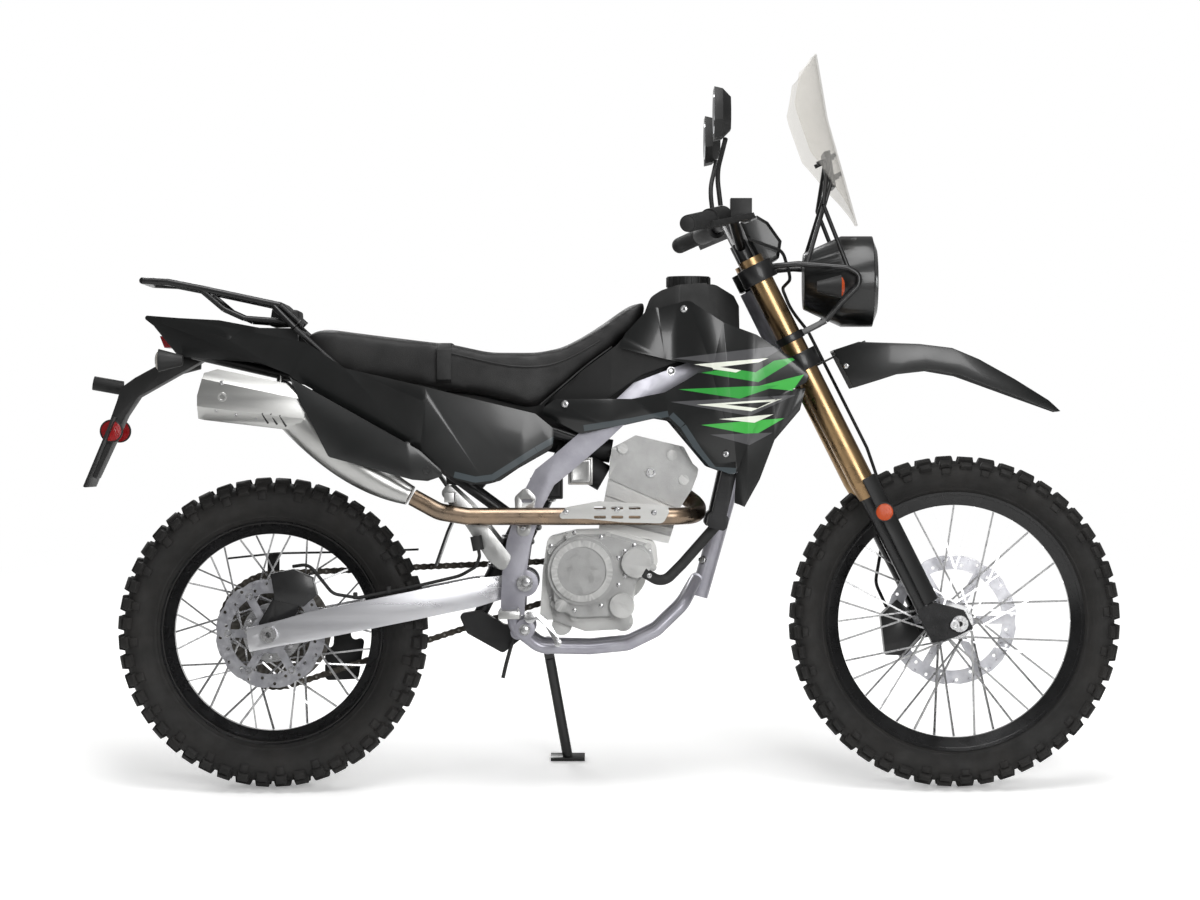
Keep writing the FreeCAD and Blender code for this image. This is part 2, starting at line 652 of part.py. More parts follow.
LEVER_LENGTH = 150.0
LEVER_AHEAD = 62.0
LEVER_SIZE = 11.0
RESERVOIR_SIZE = 44.0
RESERVOIR_HEIGHT = 34.0
LEVER_TIP_SHARE = 0.9


def controls():
    """Switch housing, lever and reservoir on each bar end."""
    middle, bend, top, end = bar_points()
    way = (end - top).normalize()
    switch = along_bar(GRIP_LENGTH + RUN_GAP, SWITCH_LENGTH, SWITCH_RADIUS)
    perch = along_bar(GRIP_LENGTH + SWITCH_LENGTH, SWITCH_LENGTH / 2, SWITCH_RADIUS)
    root = end - way * (GRIP_LENGTH + SWITCH_LENGTH + SWITCH_LENGTH / 4)
    ahead = Vector(LEVER_AHEAD, 0, 0)
    arm = bar(root + ahead / 3, root + ahead, LEVER_SIZE * 2, LEVER_SIZE)
    tip = root + ahead * LEVER_TIP_SHARE + way * (LEVER_LENGTH + SWITCH_LENGTH)
    lever = bar(root + ahead - way * LEVER_SIZE, tip, LEVER_SIZE, LEVER_SIZE)
    left = joined([switch, perch, arm, lever])
    box = Part.makeBox(RESERVOIR_SIZE, RESERVOIR_SIZE, RESERVOIR_HEIGHT,
                       root + ahead / 3 - Vector(0, RESERVOIR_SIZE, -LEVER_SIZE / 3))
    right = flipped(joined([left, box.cut(rod(top, end, BAR_RADIUS + RUN_GAP))]))
    return Part.makeCompound([left, right])


MIRROR_STEM_RADIUS = 5.0
MIRROR_STEM_HEIGHT = 132.0
MIRROR_SEAT = 1.0
MIRROR_IN = 8.0
MIRROR_OUT = 62.0
MIRROR_WIDTH = 150.0
MIRROR_HEIGHT = 104.0
MIRROR_DEPTH = 34.0
MIRROR_TUCK_SHARE = 0.62
MIRROR_BACK_SHARE = 0.93


def mirrors():
    """A stem from each lever perch, and a housing that tapers away from its glass."""
    middle, bend, top, end = bar_points()
    way = (end - top).normalize()
    root = end - way * (GRIP_LENGTH + SWITCH_LENGTH + SWITCH_LENGTH / 4)
    root = root + Vector(0, 0, SWITCH_RADIUS + MIRROR_SEAT)
    knee = root + Vector(-MIRROR_IN, 0, MIRROR_STEM_HEIGHT / 2)
    tip = root + Vector(MIRROR_IN, MIRROR_OUT, MIRROR_STEM_HEIGHT)
    middle_y = root.y + MIRROR_OUT + MIRROR_WIDTH / 4
    base_z = root.z + MIRROR_STEM_HEIGHT - MIRROR_STEM_RADIUS
    rear_x = root.x - MIRROR_DEPTH / 2

    def outline(x, share):
        half, tall = MIRROR_WIDTH / 2 * share, MIRROR_HEIGHT * share
        low = base_z + (MIRROR_HEIGHT - tall) / 2
        corners = [(-half * MIRROR_TUCK_SHARE, 0), (half * MIRROR_TUCK_SHARE, 0), (half, tall / 3),
                   (half, tall * MIRROR_TUCK_SHARE), (half * MIRROR_TUCK_SHARE, tall),
                   (-half * MIRROR_TUCK_SHARE, tall), (-half, tall * MIRROR_TUCK_SHARE), (-half, tall / 3)]
        points = [Vector(x, middle_y + y, low + z) for y, z in corners]
        return Part.makePolygon(points + points[:1])

    housing = Part.makeLoft([outline(rear_x, 1), outline(rear_x + MIRROR_DEPTH / 2, MIRROR_BACK_SHARE),
                             outline(rear_x + MIRROR_DEPTH, MIRROR_TUCK_SHARE)], True, True)
    stem = tube([root, knee, tip], MIRROR_STEM_RADIUS, MIRROR_STEM_HEIGHT / 2)
    return Part.makeCompound(both_sides(housing.fuse(stem)))


LAMP_RADIUS = 96.0
LAMP_WALL = 4.0
LAMP_PLACE_SHARES = (0.975, 0.227)
LAMP_SHELL_LENGTH = 66.0
LAMP_BOWL_LENGTH = 80.0
LAMP_LENS_DOME = 12.0
LAMP_BACK_SHARE = 0.62
LENS_SHOULDER_SHARE = 0.75


def fork_share(share_t, share_s):
    """Place in side view, as shares of the height of the steering head along the fork."""
    return fork_xz(share_t * HEAD_T, share_s * HEAD_T)


def fork_line(shares):
    return [fork_share(a, b) for a, b in shares]


def lamp_face():
    x, z = fork_share(*LAMP_PLACE_SHARES)
    return x, z


def turned(profile, x, z):
    """A closed outline of (x, radius) points turned about a lengthwise line."""
    outline = face([Vector(a, 0, r) for a, r in counterclockwise(profile)])
    return outline.revolve(Vector(0, 0, 0), Vector(1, 0, 0), 360).translate(Vector(x, 0, z))


def headlight():
    """A deep bowl, open in front, where the lens is set in."""
    x, z = lamp_face()
    back = -LAMP_SHELL_LENGTH - LAMP_BOWL_LENGTH
    rear = LAMP_RADIUS * LAMP_BACK_SHARE
    return turned([(back, 0), (back, rear), (-LAMP_SHELL_LENGTH, LAMP_RADIUS), (0, LAMP_RADIUS),
                   (0, LAMP_RADIUS - LAMP_WALL), (-LAMP_SHELL_LENGTH, LAMP_RADIUS - LAMP_WALL),
                   (back + LAMP_WALL, rear - LAMP_WALL), (back + LAMP_WALL, 0)], x, z)


def headlight_lens():
    x, z = lamp_face()
    inner = LAMP_RADIUS - LAMP_WALL - SEAT_GAP
    return turned([(-LAMP_WALL, 0), (-LAMP_WALL, inner), (0, inner), (LAMP_LENS_DOME * LENS_SHOULDER_SHARE,
                   inner * LENS_SHOULDER_SHARE), (LAMP_LENS_DOME, 0)], x, z)


BRACKET_SHARES = [(1.140, -0.020), (1.112, 0.052), (1.041, 0.170), (1.01, 0.191), (0.982, 0.177),
                  (0.958, 0.104), (0.934, 0.048)]
BRACKET_RADIUS = 6.0
BRACKET_BEND = 22.0
BRACKET_Y = 110.0
BRACKET_COLLAR = 5.0
BRACKET_COLLAR_LENGTH = 16.0
STRUT_SHARES = [[(1.041, 0.172), (1.229, 0.189), (1.336, 0.262)], [(1.10, 0.072), (1.285, 0.248)]]
STRUT_RADIUS = 4.5
STRUT_TOP_Y = 60.0
LAMP_LUG_SHARES = (0.998, 0.186)
STUD_SHARES = [(1.290, 0.285), (1.345, 0.2955)]
STUD_Y = 42.0
BRIDGE_SHARES = [(1.366, 0.265), (1.362, 0.281), (1.262, 0.250), (1.268, 0.233)]


def headlight_bracket():
    """A tube loop each side, held to the fork legs, with the struts that carry the screen."""
    loop = [Vector(x, BRACKET_Y, z) for x, z in fork_line(BRACKET_SHARES)]
    side = [tube(loop, BRACKET_RADIUS, BRACKET_BEND)]
    t = BRACKET_SHARES[-1][0] * HEAD_T
    low = fork_point(t - BRACKET_COLLAR_LENGTH / 2, LEG_S, LEG_Y)
    high = fork_point(t + BRACKET_COLLAR_LENGTH / 2, LEG_S, LEG_Y)
    side += [bar(fork_point(t, LEG_S, LEG_Y), loop[-1], BRACKET_RADIUS * 2, BRACKET_RADIUS * 2),
             rod(low, high, TUBE_RADIUS + BRACKET_COLLAR)]
    for shares in STRUT_SHARES:
        line = [Vector(x, BRACKET_Y, z) for x, z in fork_line(shares)]
        line[-1] = line[-1] + Vector(0, STRUT_TOP_Y - BRACKET_Y, 0)
        side += [rod(a, b, STRUT_RADIUS) for a, b in zip(line, line[1:])]
    x, z = fork_share(*LAMP_LUG_SHARES)
    side.append(drum(BRACKET_RADIUS, LAMP_RADIUS, BRACKET_Y, x, z))
    side = joined(side)
    side = side.cut(rod(fork_point(0, LEG_S, LEG_Y), fork_point(BAR_T * 2, LEG_S, LEG_Y), TUBE_RADIUS))
    side = side.cut(clamp_plate(HIGH_CLAMP_T))
    bridge = side_slab(fork_line(BRIDGE_SHARES), -STRUT_TOP_Y - STRUT_RADIUS, STRUT_TOP_Y + STRUT_RADIUS)
    back = BRIDGE_SHARES[-1][1] * HEAD_T
    studs = [rod(fork_point(a * HEAD_T, back, y), fork_point(a * HEAD_T, b * HEAD_T, y), STRUT_RADIUS)
             for a, b in STUD_SHARES for y in (-STUD_Y, STUD_Y)]
    return joined([side, flipped(side), bridge] + studs).cut(windshield())


SCREEN_SHARES = [(1.137, 0.262), (1.279, 0.290), (1.447, 0.322), (1.626, 0.377)]
SCREEN_THICKNESS = 3.5
SCREEN_HALF = 165.0
SCREEN_SWEEP = 74.0
SCREEN_HALF_SHARES = [(0.0, 0.12), (0.10, 0.42), (0.22, 0.72), (0.40, 0.96), (0.68, 1.0), (0.86, 0.86),
                      (0.96, 0.52), (1.0, 0.20)]


def windshield():
    """A screen bowed in plan, cut to its outline as seen from the front."""
    side = fork_line(SCREEN_SHARES)
    edge = SCREEN_HALF + CUT_OVERRUN

    def bow(x, z):
        front, back = [Part.Arc(Vector(at - SCREEN_SWEEP, -edge, z), Vector(at, 0, z),
                                Vector(at - SCREEN_SWEEP, edge, z)) for at in (x, x - SCREEN_THICKNESS)]
        ends = [Part.LineSegment(front.EndPoint, back.EndPoint),
                Part.LineSegment(back.StartPoint, front.StartPoint)]
        return Part.Wire([front.toShape(), ends[0].toShape(), back.toShape(), ends[1].toShape()])

    sheet = Part.makeLoft([bow(x, z) for x, z in side], True, True)
    low, high = side[0][1], side[-1][1]
    outline = [(SCREEN_HALF * b, low + a * (high - low)) for a, b in SCREEN_HALF_SHARES]
    outline += [(-y, z) for y, z in outline[::-1]]
    x_low = side[-1][0] - SCREEN_SWEEP - SCREEN_HALF
    return sheet.common(front_slab(outline, x_low, side[0][0] + SCREEN_HALF))


COWL_SHARES = [(1.294, -0.038), (1.290, 0.013), (1.259, 0.033), (1.193, 0.043), (1.154, 0.015),
               (1.151, -0.031), (1.173, -0.042), (1.248, -0.042)]
COWL_HALF = 62.0
COWL_STAY_SHARES = [(1.140, -0.060), (1.190, -0.020)]
COWL_STAY_RADIUS = 6.0
COWL_TUCK = 14.0
COWL_EDGE_SHARE = 1.9


def instrument():
    """A dash cowl above the upper clamp, its back leaning to the rider."""
    line = fork_line(COWL_SHARES)
    middle = side_slab(line, -COWL_HALF, COWL_HALF)
    rims = [e for e in middle.Edges
            if e.Length < COWL_HALF * COWL_EDGE_SHARE and abs(e.Vertexes[0].Y) > COWL_HALF / 2]
    middle = middle.makeChamfer(COWL_TUCK / 2, rims)
    (t_low, s_low), (t_high, s_high) = COWL_STAY_SHARES
    clamp = clamp_plate(HIGH_CLAMP_T)
    stays = [post(fork_point(t_high * HEAD_T, s_high * HEAD_T, y),
                  fork_point(t_low * HEAD_T, s_low * HEAD_T, y), COWL_STAY_RADIUS, clamp)
             for y in (-COWL_HALF / 2, COWL_HALF / 2)]
    return joined([middle] + stays)


FENDER_TOP_SHARES = [(0.850, 0.034), (0.839, 0.108), (0.756, 0.259), (0.704, 0.337), (0.641, 0.392),
                     (0.546, 0.458), (0.446, 0.522), (0.401, 0.541)]
FENDER_LOW_SHARES = [(0.406, 0.526), (0.536, 0.406), (0.625, 0.323), (0.676, 0.254), (0.706, 0.173),
                     (0.715, 0.114), (0.728, 0.036)]
FENDER_PLAN_SHARES = [(0.0, 0.80), (0.25, 1.0), (0.55, 0.98), (0.80, 0.72), (0.97, 0.36), (1.0, 0.20)]
FENDER_HALF = 78.0
FENDER_SKIN = 4.0
FENDER_TONGUE = 34.0
FENDER_TONGUE_REACH = 96.0


def front_fender():
    """A high mudguard with turned down sides, bolted under the lower clamp."""
    top, low = fork_line(FENDER_TOP_SHARES), fork_line(FENDER_LOW_SHARES)
    x_low, x_high = top[0][0], top[-1][0]
    half = [(x_low + a * (x_high - x_low), b * FENDER_HALF) for a, b in FENDER_PLAN_SHARES]

    def plan(inset):
        side = [(x, y - inset) for x, y in half]
        outline = side + [(x, -y) for x, y in side[::-1]]
        return plan_slab(outline, FRONT_TYRE_RADIUS, HEAD_Z + HEAD_TUBE_LENGTH)

    outer = side_slab(top + low, -FENDER_HALF, FENDER_HALF).common(plan(0))
    under = ribbon(top, FENDER_SKIN)[len(top):][::-1]
    room = side_slab([(x_low - FENDER_HALF, under[0][1])] + under + [(x_high + FENDER_HALF, under[-1][1]),
                     (x_high + FENDER_HALF, FRONT_TYRE_RADIUS), (x_low - FENDER_HALF, FRONT_TYRE_RADIUS)],
                     -FENDER_HALF, FENDER_HALF)
    shell = outer.cut(room.common(plan(FENDER_SKIN)))
    seat = LOW_CLAMP_T - SEAT_GAP
    tongue = side_slab([fork_xz(seat, STEM_S - CLAMP_WALL), fork_xz(seat, FENDER_TONGUE_REACH),
                        fork_xz(seat - FENDER_SKIN, FENDER_TONGUE_REACH),
                        fork_xz(seat - FENDER_SKIN, STEM_S - CLAMP_WALL)], -FENDER_TONGUE, FENDER_TONGUE)
    return joined([shell, tongue])


SIGNAL_PLACE_SHARES = (1.015, 0.093)
SIGNAL_STALK_RADIUS = 6.0
SIGNAL_Y = 178.0
SIGNAL_ROOT_Y = 77.5
SIGNAL_RADIUS = 24.0
SIGNAL_DEPTH = 50.0
SIGNAL_TAIL_SHARE = 0.45


def signal(x, z, y_root, ahead):
    """A stalk out to a lamp pod, its lens ahead for 1 and behind for -1."""
    stalk = rod(Vector(x, y_root, z), Vector(x, SIGNAL_Y, z), SIGNAL_STALK_RADIUS)
    pod = Part.makeCone(SIGNAL_RADIUS * SIGNAL_TAIL_SHARE, SIGNAL_RADIUS, SIGNAL_DEPTH,
                        Vector(x - ahead * SIGNAL_DEPTH / 2, SIGNAL_Y, z), Vector(ahead, 0, 0))
    return stalk.fuse(pod)


def front_signals():
    x, z = fork_share(*SIGNAL_PLACE_SHARES)
    return Part.makeCompound(both_sides(signal(x, z, SIGNAL_ROOT_Y, 1).cut(headlight())))


CALIPER_SHARES = [(0.105, -0.178), (0.125, -0.116), (0.089, -0.100), (-0.005, -0.100), (-0.030, -0.167),
                  (-0.003, -0.217)]
CALIPER_INNER_Y = 40.0
CALIPER_OUTER_Y = 92.0
DISC_GAP = 2.0


def front_caliper():
    """A caliper that straddles the disc, on a bracket from the left axle lug."""
    body = side_slab(fork_line(CALIPER_SHARES), CALIPER_INNER_Y, CALIPER_OUTER_Y)
    lug_back = LEG_S - LUG_RADIUS - SEAT_GAP
    bracket = side_slab([fork_xz(LUG_LENGTH, lug_back), fork_xz(0, lug_back),
                         fork_xz(0, lug_back - LUG_WIDTH), fork_xz(LUG_LENGTH, lug_back - LUG_WIDTH)],
                        CALIPER_OUTER_Y - CLAMP_WALL, LEG_Y)
    slot = drum(FRONT_DISC_RADIUS + DISC_GAP, FRONT_DISC_Y - DISC_THICKNESS / 2 - DISC_GAP,
                FRONT_DISC_Y + DISC_THICKNESS / 2 + DISC_GAP, WHEELBASE, FRONT_TYRE_RADIUS)
    return joined([body, bracket]).cut(slot)


HOSE_RADIUS = 3.5
HOSE_BEND = 60.0
HOSE_FORK_SHARES = [(0.118, -0.150, 0.098), (0.190, -0.145, 0.150), (0.270, -0.080, 0.208),
                    (0.380, -0.010, 0.200), (0.550, 0.012, 0.188), (0.760, 0.012, 0.188),
                    (0.930, 0.012, 0.196), (1.010, -0.005, 0.190), (1.075, -0.006, 0.090),
                    (1.085, 0.020, -0.040), (1.165, 0.030, -0.115), (1.200, -0.010, -0.190),
                    (1.235, -0.050, -0.270)]


def brake_hose():
    """The front brake line, from the caliper up the left leg and behind the lamp to the right lever."""
    line = [fork_point(a * HEAD_T, b * HEAD_T, c * HEAD_T) for a, b, c in HOSE_FORK_SHARES]
    return tube(line, HOSE_RADIUS, HOSE_BEND)


def front_axle():
    outer = LEG_Y + LUG_WIDTH / 2
    return axle(FRONT_AXLE_RADIUS, -outer, outer, -outer, outer, WHEELBASE, FRONT_TYRE_RADIUS)


def steering_parts():
    return {
        "front_axle": front_axle(), "fork_tubes": fork_tubes(), "fork_sliders": fork_sliders(),
        "fork_guards": fork_guards(), "triple_clamps": triple_clamps(), "handlebar": handlebar(),
        "grips": grips(), "controls": controls(), "mirrors": mirrors(), "headlight": headlight(),
        "headlight_lens": headlight_lens(), "headlight_bracket": headlight_bracket(),
        "windshield": windshield(), "instrument": instrument(), "front_fender": front_fender(),
        "front_signals": front_signals(), "front_caliper": front_caliper(), "brake_hose": brake_hose(),
    }


# Frame

SPAR_SHARES = [(0.960, 0.915), (0.764, 0.834), (0.467, 0.727), (0.303, 0.581), (0.158, 0.463),
               (0.081, 0.405), (0.023, 0.300), (-0.025, 0.154), (-0.044, 0.027), (-0.050, -0.120)]
SPAR_PLAN_SHARES = [(0.985, 0.048), (0.880, 0.078), (0.764, 0.122), (0.467, 0.195), (0.25, 0.2),
                    (-0.2, 0.2)]
CRADLE_SHARES = [(0.700, 0.01, 0.05), (0.645, -0.085, 0.150), (0.534, -0.185, 0.172),
                 (0.418, -0.238, 0.176), (0.265, -0.252, 0.176), (0.060, -0.248, 0.180),
                 (-0.045, -0.170, 0.198), (-0.050, -0.10, 0.20)]
BRACKET_ROOT_SHARES = (0.086, -0.249, 0.180)
DOWN_TUBE_FOOT_SHARES = (0.712, -0.057)
LOW_BOSS_SHARES = (0.0, -0.176)
LOW_CROSS_SHARES = (-0.030, -0.190)
SHOCK_CROSS_SHARES = (0.125, 0.455)


def grid_point(share_x, share_z, share_y):
    x, z = grid(share_x, share_z)
    return Vector(x, share_y * FRAME_REACH, z)


def main_frame():
    """Twin box spars from the head to the pivot plates, a single down tube and a split cradle."""
    spar = side_slab(ribbon(grid_line(SPAR_SHARES), SPAR_DEPTH / 2), 0, FRAME_REACH)
    centre = [(PIVOT_X + a * FRAME_REACH, b * FRAME_REACH) for a, b in SPAR_PLAN_SHARES]
    spar = spar.common(plan_slab(ribbon(centre, SPAR_WIDTH / 2), 0, HEAD_Z + HEAD_TUBE_LENGTH))
    middle_x = PIVOT_X + FRAME_REACH / 2
    spar = spar.cut(plan_slab([(0, 0), (middle_x, 0), (middle_x, PLATE_INNER_Y - SPAR_WIDTH),
                               (PIVOT_X, PLATE_INNER_Y), (0, PLATE_INNER_Y)], 0, PIVOT_Z + SPAR_DEPTH))
    outer_y = FRAME_REACH * SPAR_PLAN_SHARES[-1][1] + SPAR_WIDTH / 2
    low_x, low_z = grid(*LOW_BOSS_SHARES)
    bosses = [drum(PIVOT_BOSS_RADIUS, PLATE_INNER_Y, outer_y, PIVOT_X, PIVOT_Z),
              drum(CROSS_TUBE_RADIUS + CLAMP_WALL / 2, PLATE_INNER_Y, outer_y, low_x, low_z)]
    cradle_line = [grid_point(*share) for share in CRADLE_SHARES]
    side = joined([spar, tube(cradle_line, CRADLE_RADIUS, CRADLE_BEND)] + bosses)
    head_low = fork_point(HEAD_LOW_T, STEM_S, 0)
    head_high = fork_point(HEAD_HIGH_T, STEM_S, 0)
    foot_x, foot_z = grid(*DOWN_TUBE_FOOT_SHARES)
    down = rod(fork_point(HEAD_LOW_T + DOWN_TUBE_RADIUS * 2, STEM_S - DOWN_TUBE_RADIUS, 0),
               Vector(foot_x, 0, foot_z), DOWN_TUBE_RADIUS)
    start = cradle_line[0]
    crosses = [rod(Vector(start.x, -start.y, start.z), start, CRADLE_RADIUS)]
    for shares, radius in ((LOW_CROSS_SHARES, CROSS_TUBE_RADIUS), (SHOCK_CROSS_SHARES, CROSS_TUBE_RADIUS)):
        x, z = grid(*shares)
        crosses.append(drum(radius, -PLATE_INNER_Y - RIM_WALL, PLATE_INNER_Y + RIM_WALL, x, z))
    frame = joined([side, flipped(side), rod(head_low, head_high, HEAD_RADIUS), down] + crosses)
    bolt = PIVOT_BOLT_RADIUS + SEAT_GAP
    frame = frame.cut(drum(bolt, -PIVOT_X, PIVOT_X, PIVOT_X, PIVOT_Z))
    head = head_high - head_low
    frame = frame.cut(rod(head_low - head, head_high + head, HEAD_BORE_RADIUS))
    return joined([frame, stand_bracket()])


RAIL_SHARES = [(0.200, 0.553, 0.175), (-0.179, 0.672, 0.165), (-0.583, 0.728, 0.150),
               (-0.905, 0.782, 0.135), (-1.36, 0.880, 0.105)]
STAY_SHARES = [(-0.044, 0.24, 0.178), (-0.45, 0.52, 0.165), (-0.86, 0.752, 0.138)]
RAIL_CROSS_SHARES = [(-1.34, 0.876, 0.108), (-0.583, 0.728, 0.150)]


def rear_subframe():
    """Seat rails with a stay each side and two cross tubes."""
    rail = [grid_point(*share) for share in RAIL_SHARES]
    stay = [grid_point(*share) for share in STAY_SHARES]
    side = joined([tube(rail, RAIL_RADIUS, CRADLE_BEND * 4), tube(stay, RAIL_RADIUS, CRADLE_BEND * 4)])
    crosses = []
    for a, b, c in RAIL_CROSS_SHARES:
        end = grid_point(a, b, c)
        crosses.append(rod(Vector(end.x, -end.y, end.z), end, RAIL_RADIUS))
    return joined([side, flipped(side)] + crosses).cut(main_frame())


ARM_SIDE_SHARES = [(-0.085, -0.46), (-0.085, 0.36), (0.07, 0.42), (0.16, 0.5), (0.80, 0.5),
                   (0.985, 0.34), (0.985, -0.34), (0.80, -0.5), (0.13, -0.5), (0.04, -0.46)]
ARM_PLAN_SHARES = [(-0.085, 1.0), (0.56, 1.0), (0.86, 0.0), (0.98, 0.0)]
BRIDGE_T_SHARES = [(0.665, -0.42), (0.665, 0.40), (0.76, 0.44), (0.76, -0.42)]


def swingarm():
    """Two box arms with axle plates, a bridge ahead of the tyre and the pivot tube."""
    outline = [arm_xz(a * ARM_LENGTH, b * ARM_HEIGHT) for a, b in ARM_SIDE_SHARES]
    centre = [(a * PIVOT_X, ARM_FRONT_Y + b * (ARM_REAR_Y - ARM_FRONT_Y)) for a, b in ARM_PLAN_SHARES]
    arm = side_slab(outline, 0, PIVOT_X).common(plan_slab(ribbon(centre, ARM_WIDTH / 2), 0, PIVOT_Z * 2))
    half = (ARM_FRONT_Y + ARM_REAR_Y) / 2
    bridge = side_slab([arm_xz(a * ARM_LENGTH, b * ARM_HEIGHT) for a, b in BRIDGE_T_SHARES], -half, half)
    pivot = drum(PIVOT_TUBE_RADIUS, -PIVOT_HALF, PIVOT_HALF, PIVOT_X, PIVOT_Z)
    whole = joined([arm, flipped(arm), bridge, pivot])
    whole = whole.cut(drum(PIVOT_BOLT_RADIUS + SEAT_GAP, -PIVOT_X, PIVOT_X, PIVOT_X, PIVOT_Z))
    return whole.cut(drum(REAR_AXLE_RADIUS + SEAT_GAP, -PIVOT_X, PIVOT_X, 0, REAR_TYRE_RADIUS))


def rear_axle():
    """The wheel's axle and the pivot bolt, each with its nuts."""
    outer = ARM_REAR_Y + ARM_WIDTH / 2 + SEAT_GAP
    wheel = axle(REAR_AXLE_RADIUS, -outer, outer, -outer, outer, 0, REAR_TYRE_RADIUS)
    plate = FRAME_REACH * SPAR_PLAN_SHARES[-1][1] + SPAR_WIDTH / 2 + SEAT_GAP
    bolt = joined([drum(PIVOT_BOLT_RADIUS, -plate, plate, PIVOT_X, PIVOT_Z),
                   drum(AXLE_NUT_RADIUS, plate, plate + AXLE_NUT_THICKNESS, PIVOT_X, PIVOT_Z),
                   drum(AXLE_NUT_RADIUS, -plate - AXLE_NUT_THICKNESS, -plate, PIVOT_X, PIVOT_Z)])
    return Part.makeCompound([wheel, bolt])


# Engine

CASE_SHARES = [(0.092, 0.174), (0.207, 0.201), (0.342, 0.205), (0.533, 0.156), (0.543, 0.066),
               (0.457, 0.020), (0.437, -0.097), (0.418, -0.178), (0.246, -0.187), (0.111, -0.142),
               (0.060, -0.142), (0.072, 0.05)]
CASE_RIGHT = 80.0
CASE_LEFT = 62.0
COVER_STEP = 38.0
COVER_SHARES = [(0.110, 0.120), (0.18, 0.175), (0.34, 0.180), (0.50, 0.140), (0.520, 0.060),
                (0.44, 0.005), (0.42, -0.085), (0.36, -0.125), (0.20, -0.130), (0.12, -0.08)]
BARREL_SHARES = [(0.340, 0.400), (0.628, 0.281), (0.585, 0.150), (0.30, 0.204)]
BARREL_HALF = 56.0
HEAD_SHARES = [(0.353, 0.519), (0.383, 0.532), (0.451, 0.567), (0.647, 0.523), (0.685, 0.457),
               (0.708, 0.439), (0.703, 0.413), (0.680, 0.356), (0.628, 0.281), (0.340, 0.400),
               (0.350, 0.492)]
HEAD_HALF = 62.0
CLUTCH_SHARES = (0.232, 0.047)
PUMP_SHARES = (0.453, 0.079)
PUMP_RADIUS = 31.0
PUMP_STEP = 22.0
ROTOR_SHARES = (0.378, 0.03)
ROTOR_RADIUS = 62.0
ROTOR_STEP = 44.0


CASE_ROUNDING = 18.0
COVER_ROUNDING = 24.0
HEAD_ROUNDING = 7.0
FLANGE_STEP = 6.0
FLANGE_LIP = 5.0
BOSS_RADIUS = 8.0
CLUTCH_RINGS = [(71.0, 10.0), (64.0, 18.0)]
CLUTCH_DISH_RADIUS = 51.0
CLUTCH_DISH_DEPTH = 5.0
FILTER_SHARES = (0.395, -0.085)
FILTER_RADIUS = 26.0
FILTER_STEP = 14.0
PLUG_SHARES = (0.150, -0.085)
PLUG_RADIUS = 14.0
PLUG_STEP = 7.0
HEAD_BOSS_SHARES = [(0.398, 0.515), (0.513, 0.424), (0.600, 0.490), (0.648, 0.395)]
HEAD_BOSS_RADIUS = 11.0
HEAD_BOSS_STEP = 4.0
GROOVE_SHARES = [0.22, 0.44, 0.66]
GROOVE_DEPTH = 5.0
GROOVE_WIDTH = 4.0
SUMP_BOSS_SHARES = [(0.150, -0.165), (0.400, -0.150)]
SUMP_BOSS_RADIUS = 21.0


def engine_cases():
    """The crankcase halves with the round mounting bosses below them."""
    block = round_slab(grid_line(CASE_SHARES), -CASE_RIGHT, CASE_LEFT, CASE_ROUNDING)
    bosses = [drum(SUMP_BOSS_RADIUS, -CASE_LEFT, CASE_LEFT, *grid(*shares)) for shares in SUMP_BOSS_SHARES]
    return joined([block] + bosses)


def cylinder():
    """The barrel leaning forward, grooved round its sides, with its head and cam cover."""
    barrel = side_slab(grid_line(BARREL_SHARES), -BARREL_HALF, BARREL_HALF)
    top_back, top_front, low_front, low_back = grid_line(BARREL_SHARES)
    for share in GROOVE_SHARES:
        line = [(low[0] + share * (top[0] - low[0]), low[1] + share * (top[1] - low[1]))
                for low, top in ((low_back, top_back), (low_front, top_front))]
        for side in (-1, 1):
            ends = sorted((side * BARREL_HALF, side * (BARREL_HALF - GROOVE_DEPTH)))
            barrel = barrel.cut(side_slab(ribbon(line, GROOVE_WIDTH / 2), *ends))
    head = round_slab(grid_line(HEAD_SHARES), -HEAD_HALF, HEAD_HALF, HEAD_ROUNDING)
    bosses = [drum(HEAD_BOSS_RADIUS, -HEAD_HALF - HEAD_BOSS_STEP, HEAD_HALF, *grid(*shares))
              for shares in HEAD_BOSS_SHARES]
    return joined([barrel, head] + bosses).cut(engine_cases())


def clutch_cover():
    """The right hand cover on its wider joint flange, with a bolt boss at every corner."""
    face_y = CASE_RIGHT + COVER_STEP
    line = grid_line(COVER_SHARES)
    centre = grid(*CLUTCH_SHARES)
    wide = [(x + math.copysign(FLANGE_LIP, x - centre[0]), z + math.copysign(FLANGE_LIP, z - centre[1]))
            for x, z in line]
    pieces = [round_slab(line, -face_y, -CASE_RIGHT, COVER_ROUNDING),
              round_slab(wide, -CASE_RIGHT - FLANGE_STEP, -CASE_RIGHT, COVER_ROUNDING)]
    pieces += [drum(BOSS_RADIUS, -face_y + COVER_STEP / 2, -CASE_RIGHT, *point) for point in line]
    pieces += [drum(radius, -face_y - step, -face_y, *centre) for radius, step in CLUTCH_RINGS]
    for shares, radius, step in ((PUMP_SHARES, PUMP_RADIUS, PUMP_STEP), (PLUG_SHARES, PLUG_RADIUS, PLUG_STEP),
                                 (FILTER_SHARES, FILTER_RADIUS, FILTER_STEP)):
        pieces.append(drum(radius, -face_y - step, -CASE_RIGHT - FLANGE_STEP, *grid(*shares)))
    outer = face_y + CLUTCH_RINGS[-1][1]
    dish = drum(CLUTCH_DISH_RADIUS, -outer - CUT_OVERRUN, CLUTCH_DISH_DEPTH - outer, *centre)
    return joined(pieces).cut(dish)


